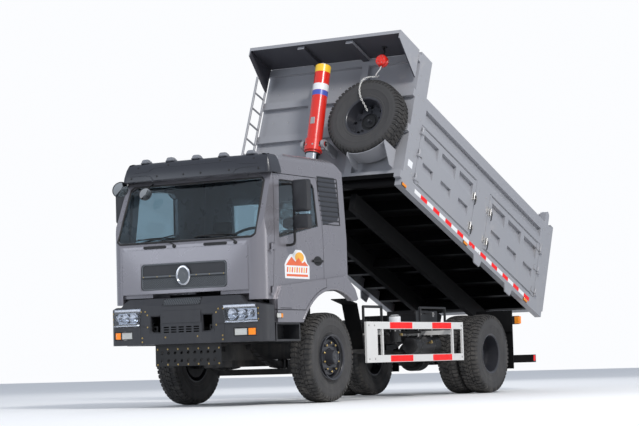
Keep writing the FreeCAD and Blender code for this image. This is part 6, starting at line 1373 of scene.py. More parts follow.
def make_chassis_marks():
    """Add red patches to the side guards and the rear bar, and bolts to the guards."""
    marks = Piece()
    guard, rear = surface_of("side_guards"), surface_of("rear_bar")
    low, high = low_high("side_guards")
    bars = low.z + 0.044, high.z - 0.044

    def patch_at(tree, start, direction, half, tall):
        spot = hit(tree, start, direction)
        marks.plate(half, tall, 0.006, 0.0, 0.0015, "tape_red", facing(spot, [-c for c in direction]))

    for side in (1, -1):
        inward = (-side, 0, 0)
        for (y, half), z in product(((-0.97, 0.29), (0.125, 0.265)), bars):
            patch_at(guard, (side * BESIDE, y, z), inward, half, 0.038)
        bolt_row(marks,
                 [(side * BESIDE, y, z) for y in (low.y + 0.06, low.y + 0.20, high.y - 0.05) for z in bars],
                 inward, bolt("zinc", 0.008, 0.007), guard)
    low, high = low_high("rear_bar")
    for side in (1, -1):
        patch_at(rear, (side * 0.98, high.y + 0.5, low.z + 0.06), TO_FRONT, 0.13, 0.040)
        patch_at(rear, (side * BESIDE, (low.y + high.y) / 2 + 0.15, low.z + 0.06), (-side, 0, 0), 0.03, 0.040)
    marks.build("chassis_marks", "chassis", "guard_white")


def air_tank(trim, box):
    """Straps, ends and a valve on the air tank."""
    x, z = 0.790, 0.655
    for y in (0.157, 0.520):
        band(trim, box, (x, z), y - 0.004, y + 0.034, "zinc", 0.30)
    for y, way in ((0.685, -90), (0.025, 90)):
        trim.turn([(0.112, 0.0), (0.108, 0.012), (0.085, 0.026), (0.045, 0.034), (0, 0.036)], "black_satin",
                  at(x, y, z) @ spin(way, "X"))
    trim.turn([(0.014, 0), (0.014, 0.03), (0.02, 0.03), (0.02, 0.045), (0.008, 0.05), (0, 0.05)], "brass",
              facing((x + 0.10, 0.36, z + 0.03), (1, 0, 0.2)), sides=20)


def battery_lid(trim, box):
    """The battery box's lid with two clasps and a grip."""
    top = hit(box, (0.63, 0.385, 1.6), DOWN).z
    trim.box((0.431, 0.079, top - 0.052), (0.846, 0.691, top + 0.004), "black_satin", chamfer=0.012)
    trim.box((0.50, 0.16, top + 0.004), (0.76, 0.61, top + 0.012), "black_satin", chamfer=0.006)
    clasp = ((0.852, -0.016, 0.02), (0.866, -0.016, 0.045), (0.866, 0.016, 0.045), (0.852, 0.016, 0.02))
    for y in (0.20, 0.57):
        trim.box((0.846, y - 0.022, top - 0.075), (0.856, y + 0.022, top - 0.015), "zinc")
        trim.tube([(x, y + dy, top - drop) for x, dy, drop in clasp], 0.003, "zinc", sides=8)
    grip = ((0.846, 0.31, 0.03), (0.872, 0.315, 0.032), (0.876, 0.33, 0.034), (0.876, 0.44, 0.034),
            (0.872, 0.455, 0.032), (0.846, 0.46, 0.03))
    trim.tube([(x, y, top - drop) for x, y, drop in grip], 0.007, "trim_black")


def air_drier(trim, box):
    """The drier's white cartridge on its collar, with bolts and an outlet."""
    x, y = 0.86, -0.50
    place = at(x, y, hit(box, (x, y, 1.6), DOWN).z)
    trim.turn([(0.0705, -0.155), (0.0735, -0.150), (0.0735, -0.020), (0.066, -0.003), (0.045, 0.008),
               (0.020, 0.010), (0.0, 0.010)], "label_white", place)
    trim.turn([(0.076, -0.175), (0.079, -0.170), (0.079, -0.158), (0.074, -0.153)], "zinc", place)
    for a, b in circle(0, 0, 1, 6):
        trim.join(bolt("zinc", 0.007, 0.007), place @ facing((a * 0.069, b * 0.069, -0.19), (a, b, 0)))
    trim.turn([(0.013, 0), (0.013, 0.02), (0.017, 0.02), (0.017, 0.034), (0, 0.036)], "brass",
              place @ facing((0.065, 0, -0.24), (1, 0, 0)), sides=20)


def make_chassis_trim():
    """Dress the air tank, battery box and drier, and add pipes and the springs' U-bolts."""
    trim = Piece()
    box = surface_of("side_equipment")
    for dress in (air_tank, battery_lid, air_drier):
        dress(trim, box)
    for path in (((0.47, -0.62, 0.86), (0.56, -0.70, 0.90), (0.62, -0.80, 0.84), (0.60, -0.92, 0.76),
                  (0.47, -0.96, 0.74)),
                 ((0.47, -0.30, 0.80), (0.58, -0.26, 0.83), (0.62, -0.15, 0.76), (0.62, 0.02, 0.66)),
                 ((0.47, -1.30, 0.82), (0.54, -1.34, 0.86), (0.54, -1.46, 0.86), (0.47, -1.50, 0.82))):
        trim.tube(smooth_path(path), 0.011, "trim_black")
    springs = surface_of("leaf_springs")
    for side, (x, y, bottom) in product((1, -1), ((0.396, FRONT, 0.40), (0.505, REAR, 0.42))):
        top = hit(springs, (side * x, y, 1.2), DOWN).z
        arch = ((-0.043, bottom), (-0.043, top - 0.01), (-0.030, top + 0.009), (0.030, top + 0.009),
                (0.043, top - 0.01), (0.043, bottom))
        for dy in (-0.042, 0.042):
            trim.tube([(side * (x + dx), y + dy, z) for dx, z in arch], 0.008, "black_satin")
    trim.build("equipment_trim", "chassis", "black_metal")


def make_tank_bands():
    """Add straps, end bands and a cap to the fuel tank."""
    tank = Piece()
    shape = surface_of("fuel_tank")
    low, high = low_high("fuel_tank")
    middle = ((low.x + high.x) / 2, (low.z + high.z) / 2)
    for y in [low.y + (high.y - low.y) * share for share in (0.2, 0.5, 0.8)]:
        for half, material in ((0.022, "chassis_black"), (0.014, "zinc")):
            band(tank, shape, middle, y - half, y + half, material)
    for y in (high.y - 0.004, low.y + 0.004):
        band(tank, shape, middle, y - 0.004, y + 0.004, "tank_alu")
    cap = at(*hit(shape, (low.x + 0.16, low.y + 0.30, 1.4), DOWN))
    tank.turn([(0.055, 0), (0.055, 0.018), (0.060, 0.018), (0.062, 0.024), (0.060, 0.046), (0.050, 0.052),
               (0, 0.052)], "trim_black", cap, sides=40)
    tank.box((-0.045, -0.006, 0.052), (0.045, 0.006, 0.062), "trim_black", cap)
    tank.build("tank_bands", "chassis", "tank_metal")


# Bed

def on_bed(points):
    return [BED @ Vector(p) for p in points]


def bed_places(tree, side, ys, zs):
    """Places on the bed's side, Z axis outward and Y axis up the bed, left out where nothing is met."""
    spots = [hit(tree, spot, (-side, 0, 0))
             for spot in on_bed((side * BESIDE, y, z) for y, z in product(ys, zs))]
    return [facing(spot, (side, 0, 0), BED_UP) for spot in spots if spot]


def make_bed_trim(tape_length):
    """Add tape, side lamps, rivets, keepers and a blank plate to the bed's sides, and rivets to its front."""
    tree = surface_of("bed_tub")
    trim = Piece()
    half, pair = tape_length / 2 - 0.003, tape_length * 2
    stud = rivet("zinc", 0.011, 0.006)
    for side in (1, -1):
        for start, material in ((0, "tape_red"), (tape_length, "tape_white")):
            one = Piece().plate(half, 0.027, 0.003, 0.0, 0.0012, material)
            for place in bed_places(tree, side, [-0.18 - start], [0.286]):
                repeat(trim, one, int((3.55 - start) / pair) + 1, step=(-side * pair, 0, 0), place=place)
        for place in bed_places(tree, side, (-3.98, -2.18, -0.22), [0.226]):
            trim.plate(0.062, 0.022, 0.010, 0.0, 0.008, "trim_black", place, 0.002)
            trim.plate(0.052, 0.017, 0.008, 0.008, 0.020, "lamp_amber", place, 0.005)
        for ys, zs in (((-3.975, -3.83), (0.46, 0.70, 0.94, 1.22, 1.50, 1.78)),
                       ((0.105, 0.275), (0.46, 0.70, 0.94, 1.22, 1.46)),
                       ((-1.985, -1.765), (0.27, 0.33, 1.08)), ((-3.40, -2.75, -1.30, -0.55), (1.30, 1.36))):
            for place in bed_places(tree, side, ys, zs):
                trim.join(stud, place)
        for place in bed_places(tree, side, [-3.90], [0.56]):
            trim.plate(0.060, 0.045, 0.008, 0.0, 0.0015, "label_white", place)
        for place in bed_places(tree, side, (-2.055, -1.695), (0.50, 0.93)):
            trim.plate(0.024, 0.050, 0.006, 0.0, 0.008, "zinc", place, 0.002)
            trim.box((-0.014, -0.018, 0.008), (0.014, 0.018, 0.024), "zinc", place)
            for end in (-0.036, 0.036):
                trim.join(bolt("zinc", 0.006, 0.005), place @ at(0, end, 0.008))
    starts = on_bed(product((-0.95, -0.72, -0.12, 0.0), [-4.6], (0.55, 1.25, 1.68)))
    bolt_row(trim, starts, BED_BACK, rivet("zinc", 0.010, 0.005), tree, 2.0)
    trim.build("bed_trim", "bed", "bed_grey")


def make_side_door_trim():
    """Add latches, hinge bolts and rubber edges to the four side doors."""
    lever = ((0.0, 0.02), (0.002, 0.036), (-0.03, 0.044), (-0.115, 0.040), (-0.125, 0.036))
    for (word, side), (end, latch_y, hinge_y, reach) in product(SIDES, (("front", -2.135, -3.66, 0.030),
                                                                        ("rear", -1.615, -0.055, -0.030))):
        name = "%s_%s" % (end, word)
        tree = surface_of("side_door_" + name)
        trim = Piece()
        for place in bed_places(tree, side, [latch_y], (0.50, 0.93)):
            trim.plate(0.026, 0.060, 0.006, 0.0, 0.006, "zinc", place, 0.002)
            trim.turn([(0, 0), (0.013, 0), (0.013, 0.10), (0, 0.10)], "zinc",
                      place @ at(0, -0.05, 0.020) @ spin(-90, "X"), sides=20)
            trim.tube([place @ Vector((0, y, z)) for y, z in lever], 0.0075, "black_satin")
        for place in bed_places(tree, side, (hinge_y, hinge_y + reach), (0.429, 0.765, 1.075)):
            trim.join(bolt("zinc", 0.007, 0.006), place)
        for z in (0.392, 1.170):
            run = bed_places(tree, side, steps(hinge_y, latch_y, 8), [z])
            if len(run) == 8:
                trim.tube([place.translation for place in run], 0.0035, "rubber", sides=6)
        trim.build("side_door_trim_" + name, "bed_door_" + name, "bed_grey")


def make_carrier():
    """Build the spare wheel's carrier: a post to its disc, and a bent tray with a fin at each end."""
    inside = BED.inverted()
    points = [inside @ v.co for v in NODES["spare_carrier"].data.vertices]
    wheel = inside @ centre_of("spare_tyre")
    tray = [p for p in points if p.z < wheel.z - 0.245]
    (x0, y0, z0), (x1, y1, z1) = [[end(p[axis] for p in tray) for axis in range(3)] for end in (min, max)]
    carrier = Piece()
    radius, wall = TYRE_RADIUS + 0.0004, 0.008
    start, stop = [asin((x - wheel.x) / radius) for x in (x0 + 0.002, x1 - 0.020)]
    arc = [(sin(angle), -cos(angle)) for angle in steps(start, stop, 15)]
    outline = [(wheel.x + a * (radius + wall), wheel.z + b * (radius + wall)) for a, b in arc]
    outline += [(wheel.x + a * radius, wheel.z + b * radius) for a, b in reversed(arc)]
    carrier.prism(outline, -y1, -(y0 + 0.02), "bed_paint_plain", BED @ spin(90, "X"))
    across = Matrix(((0, 0, 1, 0), (1, 0, 0, 0), (0, 1, 0, 0), (0, 0, 0, 1)))
    for x in (x0, x1 - wall):
        top = min(wheel.z - sqrt(radius ** 2 - min(abs(x + wall / 2 - wheel.x), radius) ** 2), z1)
        fin = [(y1 - 0.10, z0), (y0, top - 0.05), (y0, top), (y1, top), (y1, z0)]
        carrier.prism(fin, x, x + wall, "bed_paint_plain", BED @ across, chamfer=0.001)
    post = [p for p in points if p.z > wheel.z - 0.18]
    face, back = min(p.y for p in post), max(p.y for p in post)
    reach = max((p - wheel).xz.length for p in post)
    carrier.turn([(0, 0), (reach, 0), (reach, back - face), (0, back - face)], "black_satin",
                 BED @ at(wheel.x, back, wheel.z) @ spin(90, "X"))
    carrier.build("carrier", "bed", "bed_grey", ["spare_carrier"])


def make_hoist():
    """Build the spare wheel's hoist with its chain to the rim, and the wheel's nuts and clamp plate."""
    hoist = Piece()
    wheel = BED.inverted() @ centre_of("spare_tyre")
    x, y = wheel.x + 0.115, wheel.y - 0.08
    top = (BED.inverted() @ hit(surface_of("canopy"), BED @ Vector((x, y, 1.70)), BED_UP)).z
    hoist.box((x - 0.034, y - 0.022, top - 0.012), (x + 0.034, y + 0.022, top - 0.0005), "black_satin", BED)
    eye = ((0, 0.010), (0, 0.050), (0.020, 0.075), (0, 0.105), (0, 0.140))
    hoist.tube(on_bed((x + dx, y, top - drop) for dx, drop in eye), 0.011, "black_satin", sides=12)
    drum = BED @ at(x, y + 0.052, top - 0.205) @ spin(90, "X")
    hoist.turn([(0.0, 0.0), (0.066, 0.0), (0.074, 0.008), (0.078, 0.022), (0.078, 0.034), (0.070, 0.040),
                (0.070, 0.064), (0.078, 0.070), (0.078, 0.082), (0.074, 0.096), (0.066, 0.104),
                (0.034, 0.104), (0.030, 0.112), (0.0, 0.112)], "lift_red", drum, sides=56)
    for spot in circle(0, 0, 0.052, 6):
        hoist.join(bolt("zinc", 0.005, 0.004), drum @ at(*spot, 0.1025))
    crown, front = wheel.z + TYRE_RADIUS, wheel.y - TYRE_HALF
    hook = ((0, top - 0.275), (-0.012, top - 0.320), (-0.050, crown + 0.095), (-0.060, crown + 0.060),
            (-0.030, crown + 0.040), (-0.010, crown + 0.062))
    hoist.tube(on_bed((x + dx, y, z) for dx, z in hook), 0.011, "zinc", sides=12)
    route = [(x + dx, place, crown + rise) for dx, place, rise in (
        (-0.055, y - 0.006, 0.042), (-0.130, y - 0.040, 0.030), (-0.190, front - 0.018, -0.020),
        (-0.215, front - 0.024, -0.110), (-0.205, front - 0.024, -0.200), (-0.170, front - 0.016, -0.290),
        (-0.125, front + 0.020, -0.370), (-0.105, front + 0.060, -0.420))]
    lay_chain(hoist, route, 0.024, 0.0034, "dull_white", BED)
    rim = surface_of("spare_rim", "spare_carrier")
    nuts = [(x, wheel.y - 0.4, z) for x, z in circle(wheel.x, wheel.z, 0.142, 5, 0.3)]
    bolt_row(hoist, on_bed(nuts), BED_BACK, hub_nut("rim_black", 0.014, 0.020), rim)
    middle = hit(rim, BED @ Vector((wheel.x, wheel.y - 0.4, wheel.z)), BED_BACK)
    hoist.prism(circle(0, 0, 0.085, 32), 0.0, 0.012, "black_satin", facing(middle, -BED_BACK), chamfer=0.003)
    hoist.join(hub_nut("rim_black", 0.022, 0.040), facing(middle - BED_BACK * 0.012, -BED_BACK))
    hoist.build("spare_hoist", "bed", "lift_red")


def make_tailgate_trim():
    """Add bolts and red tape to the tailgate."""
    tree = surface_of("tailgate")
    trim = Piece()
    middle = BED.inverted() @ centre_of("tailgate")
    rows = product((-0.98, -0.5, 0.5, 0.98), [middle.y + 0.6],
                   [middle.z + dz for dz in (-0.62, -0.3, 0.3, 0.62)])
    bolt_row(trim, on_bed(rows), -BED_BACK, bolt("zinc", 0.009, 0.007), tree, 2.0)
    for x in (-0.72, 0.72):
        spot = hit(tree, BED @ Vector((x, middle.y + 0.6, middle.z - 0.45)), -BED_BACK)
        trim.plate(0.14, 0.027, 0.004, 0.0, 0.0012, "tape_red", facing(spot, BED_BACK, BED_UP))
    trim.build("tailgate_trim", "tailgate", "bed_grey")


# Lifting cylinder

COVER_BELOW = 0.120  # from the trunnion down to the cover's end


def make_lift_trim():
    """Dress the lifting cylinder's cover, and add wiper rings to the sleeves and rings to the rod's eye."""
    lift_cover_trim()
    pin = Vector((LIFT_TOP.x, FRONT + 1.0, 1.1))
    reach = (LIFT_TOP - pin).length
    step = (reach - COVER_BELOW) / 4
    for index in (1, 2, 3):
        radius, z = 0.099 - 0.010 * index, -COVER_BELOW - step * index
        ring = Piece()
        inner = radius - 0.0085
        ring.turn([(inner, z + 0.002), (inner, z - 0.009), (radius - 0.001, z - 0.009),
                   (radius + 0.0004, z - 0.004), (radius + 0.0004, z + 0.012),
                   (radius, z + 0.013)], "trim_black", LIFT, sides=64)
        ring.turn([(radius, z + 0.016), (radius + 0.0004, z + 0.017), (radius + 0.0004, z + 0.036),
                   (radius, z + 0.037)], "zinc", LIFT, sides=64)
        ring.build("lift_sleeve_ring_%d" % index, "lift_sleeve_%d" % index, "rod_chrome")
    eye = Piece()
    centre = LIFT @ Vector((0, 0, -reach))
    for side in (1, -1):
        eye.turn([(0.030, -0.001), (0.031, 0.0002), (0.058, 0.0002), (0.0585, -0.001)], "zinc",
                 axle_place(centre.x + side * 0.045, centre.y, centre.z, side))
    eye.build("lift_rod_eye", "lift_rod", "rod_chrome")


def lift_cover_trim():
    cover = Piece()
    radius = 0.100
    for z0, z1, material in ((0.985, 1.079, "lift_yellow"), (0.730, 0.820, "label_white"),
                             (0.660, 0.728, "label_blue")):
        cover.turn([(radius, z0), (radius + 0.0012, z0 + 0.001), (radius + 0.0012, z1 - 0.001), (radius, z1)],
                   material, LIFT, sides=72)
    cap = LIFT @ at(0, 0, 1.080)
    cover.turn([(radius, -0.002), (radius - 0.004, 0.006), (radius - 0.018, 0.012), (0.045, 0.014)],
               "lift_yellow", cap, sides=72)
    cover.prism(circle(0, 0, 0.040, 6), 0.012, 0.040, "dull_white", cap, chamfer=0.004)
    plate = LIFT @ facing((0, -radius, 0.30), TO_FRONT)
    cover.plate(0.030, 0.045, 0.004, -0.003, 0.002, "zinc", plate, 0.0006)
    for x, z in product((-0.024, 0.024), (-0.038, 0.038)):
        cover.join(rivet("zinc", 0.0025, 0.0015), plate @ at(x, z, 0.002))
    for z in (-0.090, 0.060):
        cover.turn([(0.1175, z - 0.004), (0.1195, z), (0.1175, z + 0.004)], "lift_red", LIFT, sides=72)
    for x, y in circle(0, 0, 1, 8, pi / 8):
        cover.join(bolt("zinc", 0.008, 0.006), LIFT @ facing((x * 0.118, y * 0.118, -0.03), (x, y, 0)))
    cover.turn([(0.090, -0.010), (0.099, -0.010), (0.1005, -0.004), (0.100, 0.002)], "trim_black",
               LIFT @ at(0, 0, -COVER_BELOW), sides=72)
    for side in (1, -1):
        arm = LIFT @ spin(90 * side, "Y")
        cover.turn([(0.032, 0.120), (0.036, 0.124), (0.036, 0.150), (0.030, 0.178), (0.0, 0.180)],
                   "trim_black", arm, sides=40)
        cover.turn([(0.032, 0.094), (0.050, 0.096), (0.052, 0.116), (0.032, 0.120)], "black_satin",
                   arm, sides=40)
        cover.turn([(0.007, 0.178), (0.007, 0.190), (0.004, 0.194), (0, 0.194)], "zinc", arm, sides=16)
    cover.turn([(0.020, 0.0), (0.020, 0.035), (0.026, 0.035), (0.026, 0.055), (0.014, 0.060), (0, 0.060)],
               "zinc", LIFT @ facing((0.098, 0, -0.06), (1, 0.3, 0)), sides=24)
    cover.build("lift_cover_trim", "lift_cover", "lift_red")


# Inside the cab

def pad(piece, low, high, material, place=HERE, crown=0.012, seams=(), power=4.0, cuts=11):
    """A stuffed block with soft edges, a crowned front (its Z face) and seams at shares of its width."""
    low, high = Vector(low), Vector(high)
    middle, half = (low + high) / 2, (high - low) / 2
    mesh = bmesh.new()
    bmesh.ops.create_cube(mesh, size=2.0)
    bmesh.ops.subdivide_edges(mesh, edges=mesh.edges, cuts=cuts, use_grid_fill=True)
    mesh.verts.index_update()
    points = []
    for vert in mesh.verts:
        co = vert.co / sum(abs(c) ** power for c in vert.co) ** (1 / power)
        lift = 0.0
        if co.z > 0.3:
            lift = crown * (1 - co.x ** 2) * (1 - co.y ** 2) - crown
            lift -= sum(0.007 * exp(-(((co.x - share) * half.x) / 0.009) ** 2) for share in seams)
            lift += 0.0015 * sin(co.x * 9.0) * sin(co.y * 11.0 + 1.0)
        points.append(middle + Vector((co.x * half.x, co.y * half.y, co.z * half.z + lift)))
    faces = [[v.index for v in face.verts] for face in mesh.faces]
    mesh.free()
    piece.add(points, faces, material, place)


def make_seats():
    """Build two sprung seats: bellows and shells, and padded cushions, backs and headrests."""
    pads, bases = Piece(), Piece()
    low = low_high("seats")[0]
    front, top = low.y, 1.600
    panel = {"crown": 0.016, "seams": (-0.45, 0.0, 0.45), "power": 6.0, "cuts": 15}
    for x, side in ((0.5, 1), (-0.5, -1)):
        x0, x1 = sorted((x + side * 0.24, x - side * 0.12))
        fold = (top - 0.130 - low.z) / 7
        for k in range(7):
            edge = 0.0 if k % 2 else 0.014
            bases.box((x0 + edge, front + 0.062 + edge, low.z + fold * k),
                      (x1 - edge, front + 0.468 - edge, low.z + fold * (k + 1)), "rubber", chamfer=0.010)
        bases.box((x - 0.225, front + 0.012, top - 0.130), (x + 0.225, front + 0.462, top - 0.098),
                  "dash_plastic", chamfer=0.010)
        pad(pads, (x - 0.155, front + 0.004, top - 0.105), (x + 0.155, front + 0.470, top), "seat_panel",
            **panel)
        for edge in (x - 0.195, x + 0.195):
            pad(pads, (edge - 0.046, front, top - 0.105), (edge + 0.046, front + 0.470, top), "seat_cloth")
        back = facing((x, front + 0.440, top - 0.065), (0, -0.981, 0.192))
        bases.box((-0.215, 0.02, -0.130), (0.215, 0.530, -0.112), "dash_plastic", back, chamfer=0.012)
        pad(pads, (-0.155, 0.02, -0.118), (0.155, 0.535, 0.0), "seat_panel", back, **panel)
        for edge in (-0.195, 0.195):
            pad(pads, (edge - 0.046, 0.03, -0.118), (edge + 0.046, 0.525, 0.010), "seat_cloth", back)
        pad(pads, (-0.130, 0.558, -0.108), (0.130, 0.694, -0.012), "seat_cloth", back, crown=0.010, cuts=15)
        for way in (-0.05, 0.05):
            bases.tube([back @ Vector((way, rise, -0.06)) for rise in (0.50, 0.57)], 0.006, "chrome")
        piping = [back @ Vector((a, b, -0.004)) for a, b in rounded(-0.150, 0.150, 0.03, 0.525, 0.04)]
        pads.tube(piping, 0.0035, "seat_cloth", sides=6, closed=True)
    pads.build("seat_pads", "cab", "seat_cloth", ["seats"])
    bases.build("seat_bases", "cab", "dark_plastic")


def make_dashboard():
    """Add the dials' hood, dials, vents, the middle controls and the glove box to the dashboard."""
    tree = surface_of("dashboard")
    dash = Piece()
    top = hit(tree, (0.0, low_high("dashboard")[0].y + 0.15, 2.4), DOWN).z
    y = hit(tree, (0.0, -2.9, top - 0.06), TO_FRONT).y
    dash.box((0.26, y - 0.16, top - 0.006), (0.74, y - 0.02, top + 0.034), "dash_plastic", chamfer=0.014)
    for x in (0.40, 0.60):
        dash.turn([(0.052, 0.0), (0.055, 0.004), (0.052, 0.007), (0.047, 0.004), (0, 0.004)], "chrome",
                  facing((x, y + 0.0005, top - 0.055), TO_BACK), sides=40)
        dash.turn([(0.046, 0.0045), (0, 0.0046)], "label_white", facing((x, y, top - 0.055), TO_BACK),
                  sides=32)
    vent = Piece().box((-0.060, -0.0015, 0.0), (0.060, 0.0015, 0.008), "trim_black", chamfer=0.0005)
    for x in (-0.80, -0.35, 0.0, 0.83):
        place = facing((x, y, top - 0.050), TO_BACK)
        dash.plate(0.070, 0.032, 0.010, 0.0, 0.005, "trim_black", place, 0.002)
        repeat(dash, vent, 5, step=(0, 0.011, 0), place=place @ at(0, -0.022, 0.004))
    dash.plate(0.090, 0.026, 0.004, 0.0, 0.006, "plastic_dark", facing((0.0, y, top - 0.130), TO_BACK), 0.002)
    for x in (-0.072, 0.072):
        dash.turn([(0.012, 0.006), (0.011, 0.018), (0, 0.019)], "trim_black",
                  facing((x, y, top - 0.130), TO_BACK), sides=20)
    dash.box((-0.86, y - 0.004, top - 0.250), (-0.42, y + 0.004, top - 0.120), "dash_plastic", chamfer=0.006)
    dash.build("dashboard_details", "cab", "dark_plastic")


# Finishes of the CAD nodes that stay as they are

DRESSED = {
    "cab_paint": ("cab_shell", "front_lid", "door_left", "door_right"),
    "bed_paint_shaded_below": ("bed_tub",),
    "canopy_paint_shaded": ("canopy",),
    "bed_paint_plain": ("ladder", "tailgate", "side_door_front_left", "side_door_front_right",
                        "side_door_rear_left", "side_door_rear_right"),
    "chassis_black": ("chassis_frame", "front_axle", "rear_axle", "leaf_springs", "knuckle_left",
                      "knuckle_right"),
    "under_black": ("bed_beams", "radiator", "mudguards"),
    "black_satin": ("side_equipment", "guard_plate", "rear_bar"),
    "cast_iron": ("engine",),
    "bumper_plastic": ("front_bumper",),
    "visor_plastic": ("side_louvres",),
    "plastic_dark": ("grille", "cab_steps"),
    "tank_alu": ("fuel_tank",),
    "guard_white": ("side_guards",),
    "rim_black": ("rim_front_left", "rim_front_right", "rims_rear_left", "rims_rear_right", "spare_rim"),
    "window_glass": ("cab_glass", "door_glass_left", "door_glass_right"),
    "dash_plastic": ("dashboard",),
    "lift_red": ("cylinder_cover",),
    "chrome": ("cylinder_sleeve_1", "cylinder_sleeve_2", "cylinder_sleeve_3", "cylinder_rod"),
}


def dress_nodes():
    """Give the CAD nodes that show their own finishes."""
    for material, nodes in DRESSED.items():
        for node in nodes:
            for slot in NODES[node].material_slots:
                slot.material = MATERIALS[material]


# Stage

def look_matrix(place, yaw, pitch, roll):
    """A camera's matrix from its place and its angles in degrees; yaw turns it left of +Y."""
    yaw, pitch, roll = [radians(angle) for angle in (yaw, pitch, roll)]
    ahead = Vector((-sin(yaw) * cos(pitch), cos(yaw) * cos(pitch), sin(pitch)))
    right = Vector((cos(yaw), sin(yaw), 0))
    up = right.cross(ahead)
    x = right * cos(roll) + up * sin(roll)
    y = up * cos(roll) - right * sin(roll)
    made = Matrix((x, y, -ahead)).transposed().to_4x4()
    made.translation = Vector(place)
    return made


def soft_light(name, place, target, width, height, power, colour):
    lamp = bpy.data.lights.new(name, "AREA")
    lamp.shape, lamp.size, lamp.size_y, lamp.energy, lamp.color = "RECTANGLE", width, height, power, colour
    made = bpy.data.objects.new(name, lamp)
    made.location = place
    made.rotation_euler = (Vector(target) - Vector(place)).to_track_quat("-Z", "Y").to_euler()
    bpy.context.scene.collection.objects.link(made)
    made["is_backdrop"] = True


def make_stage(floor_size, key, lesser, sky):
    """Lay the floor, hang the lights and set the camera where the photograph was taken from."""
    half = floor_size / 2
    mesh = bpy.data.meshes.new("stage_floor")
    mesh.from_pydata([(-half, -half, 0), (half, -half, 0), (half, half, 0), (-half, half, 0)], [],
                     [(0, 1, 2, 3)])
    mesh.materials.append(MATERIALS["floor"])
    ground = bpy.data.objects.new("stage_floor", mesh)
    bpy.context.scene.collection.objects.link(ground)
    ground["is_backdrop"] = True
    world = bpy.data.worlds.new("Studio")
    world.use_nodes = True
    tree = world.node_tree
    light = tree.nodes["Background"]
    fill(tree, light, {"Color": (0.81, 0.88, 1.0, 1), "Strength": sky})
    seen = add(tree, "ShaderNodeBackground", {"Color": (0.97, 0.98, 1.0, 1), "Strength": 1.0})
    ray = add(tree, "ShaderNodeLightPath").outputs["Is Camera Ray"]
    both = add(tree, "ShaderNodeMixShader", {0: ray, 1: light.outputs[0], 2: seen.outputs[0]})
    fill(tree, tree.nodes["World Output"], {"Surface": both.outputs[0]})
    bpy.context.scene.world = world
    soft_light("key_light", (12, -8.5, 14.5), (0, -0.5, 1.6), 3.4, 2.8, key, (1.0, 0.98, 0.95))
    soft_light("fill_light", (-9, -14, 6), (0, -1, 1.6), 8, 6, lesser, (0.86, 0.92, 1.0))
    soft_light("back_light", (-6, 13, 9), (0, 1, 2.5), 8, 5, lesser * 1.2, (1.0, 1.0, 1.0))
    soft_light("side_light", (15, 4, 4), (1.2, 1, 1.5), 6, 6, lesser * 0.7, (1.0, 0.99, 0.97))
    eye = bpy.data.cameras.new("photo_camera")
    eye.sensor_width, eye.lens, eye.clip_end = 36.0, 113.663, 200.0
    camera = bpy.data.objects.new("photo_camera", eye)
    camera.matrix_world = look_matrix((12.933, -22.903, 0.445), 30.369, 4.288, -1.639)
    bpy.context.scene.collection.objects.link(camera)
    bpy.context.scene.camera = camera
    bpy.context.scene.view_settings.view_transform = "Standard"


# Add-on

def colour_of(piece, default):
    """A setting for one paint, as red, green and blue."""
    return bpy.props.FloatVectorProperty(name=piece + " colour", description="Paint of the " + piece.lower(),
                                         default=default, size=3, min=0.0, max=1.0, subtype="COLOR")


class TruckSettings(bpy.types.PropertyGroup):
    """What can be set before the truck is built."""
    cab_colour: colour_of("Cab", (0.228, 0.219, 0.240))
    bed_colour: colour_of("Bed", (0.298, 0.302, 0.325))
    lift_colour: colour_of("Lifting cylinder", (0.70, 0.018, 0.008))
    show_badge: bpy.props.BoolProperty(name="Door badge", description="Lay the plain badge on the left door",
                                       default=True)
    tape_length: bpy.props.FloatProperty(name="Tape length",
                                         description="Length of one stretch of marker tape", default=0.18,
                                         min=0.05, max=0.6, subtype="DISTANCE", unit="LENGTH")
    floor_size: bpy.props.FloatProperty(name="Floor size", description="Side of the square floor",
                                        default=90.0, min=10.0, subtype="DISTANCE", unit="LENGTH")
    key_power: bpy.props.FloatProperty(name="Key light", description="Power of the main light",
                                       default=2250.0, min=0.0, subtype="POWER", unit="POWER")
    fill_power: bpy.props.FloatProperty(name="Fill light", description="Power of the lesser lights",
                                        default=330.0, min=0.0, subtype="POWER", unit="POWER")
    sky: bpy.props.FloatProperty(name="Sky", description="Strength of the even light all round", default=0.62,
                                 min=0.0, max=5.0, subtype="FACTOR")


class TRUCK_OT_finishes(bpy.types.Operator):
    """Make every material and give the CAD nodes theirs"""
    bl_idname = "truck.finishes"
    bl_label = "Make the finishes"

    def execute(self, context):
        settings = context.scene.truck
        make_materials(settings.cab_colour, settings.bed_colour, settings.lift_colour)
        dress_nodes()
        return {"FINISHED"}


class TRUCK_OT_tyres(bpy.types.Operator):
    """Build the tyres with their tread blocks"""
    bl_idname = "truck.tyres"
    bl_label = "Build the tyres"

    def execute(self, context):
        make_tyres()
        return {"FINISHED"}


class TRUCK_OT_hubs(bpy.types.Operator):
    """Add nuts, caps and rim edges to the wheels"""
    bl_idname = "truck.hubs"
    bl_label = "Build the hubs"

    def execute(self, context):
        make_hubs()
        return {"FINISHED"}


class TRUCK_OT_lamps(bpy.types.Operator):
    """Build headlamps, fog lamps and tail lamps"""
    bl_idname = "truck.lamps"
    bl_label = "Build the lamps"

    def execute(self, context):
        make_lamps()
        return {"FINISHED"}


class TRUCK_OT_bumper(bpy.types.Operator):
    """Add the bumper's mesh, ribs and bolts"""
    bl_idname = "truck.bumper_trim"
    bl_label = "Trim the bumper"

    def execute(self, context):
        make_bumper_trim()
        return {"FINISHED"}


class TRUCK_OT_grille(bpy.types.Operator):
    """Add the grille's mesh, bar and seams"""
    bl_idname = "truck.grille"
    bl_label = "Build the grille"

    def execute(self, context):
        make_grille()
        return {"FINISHED"}


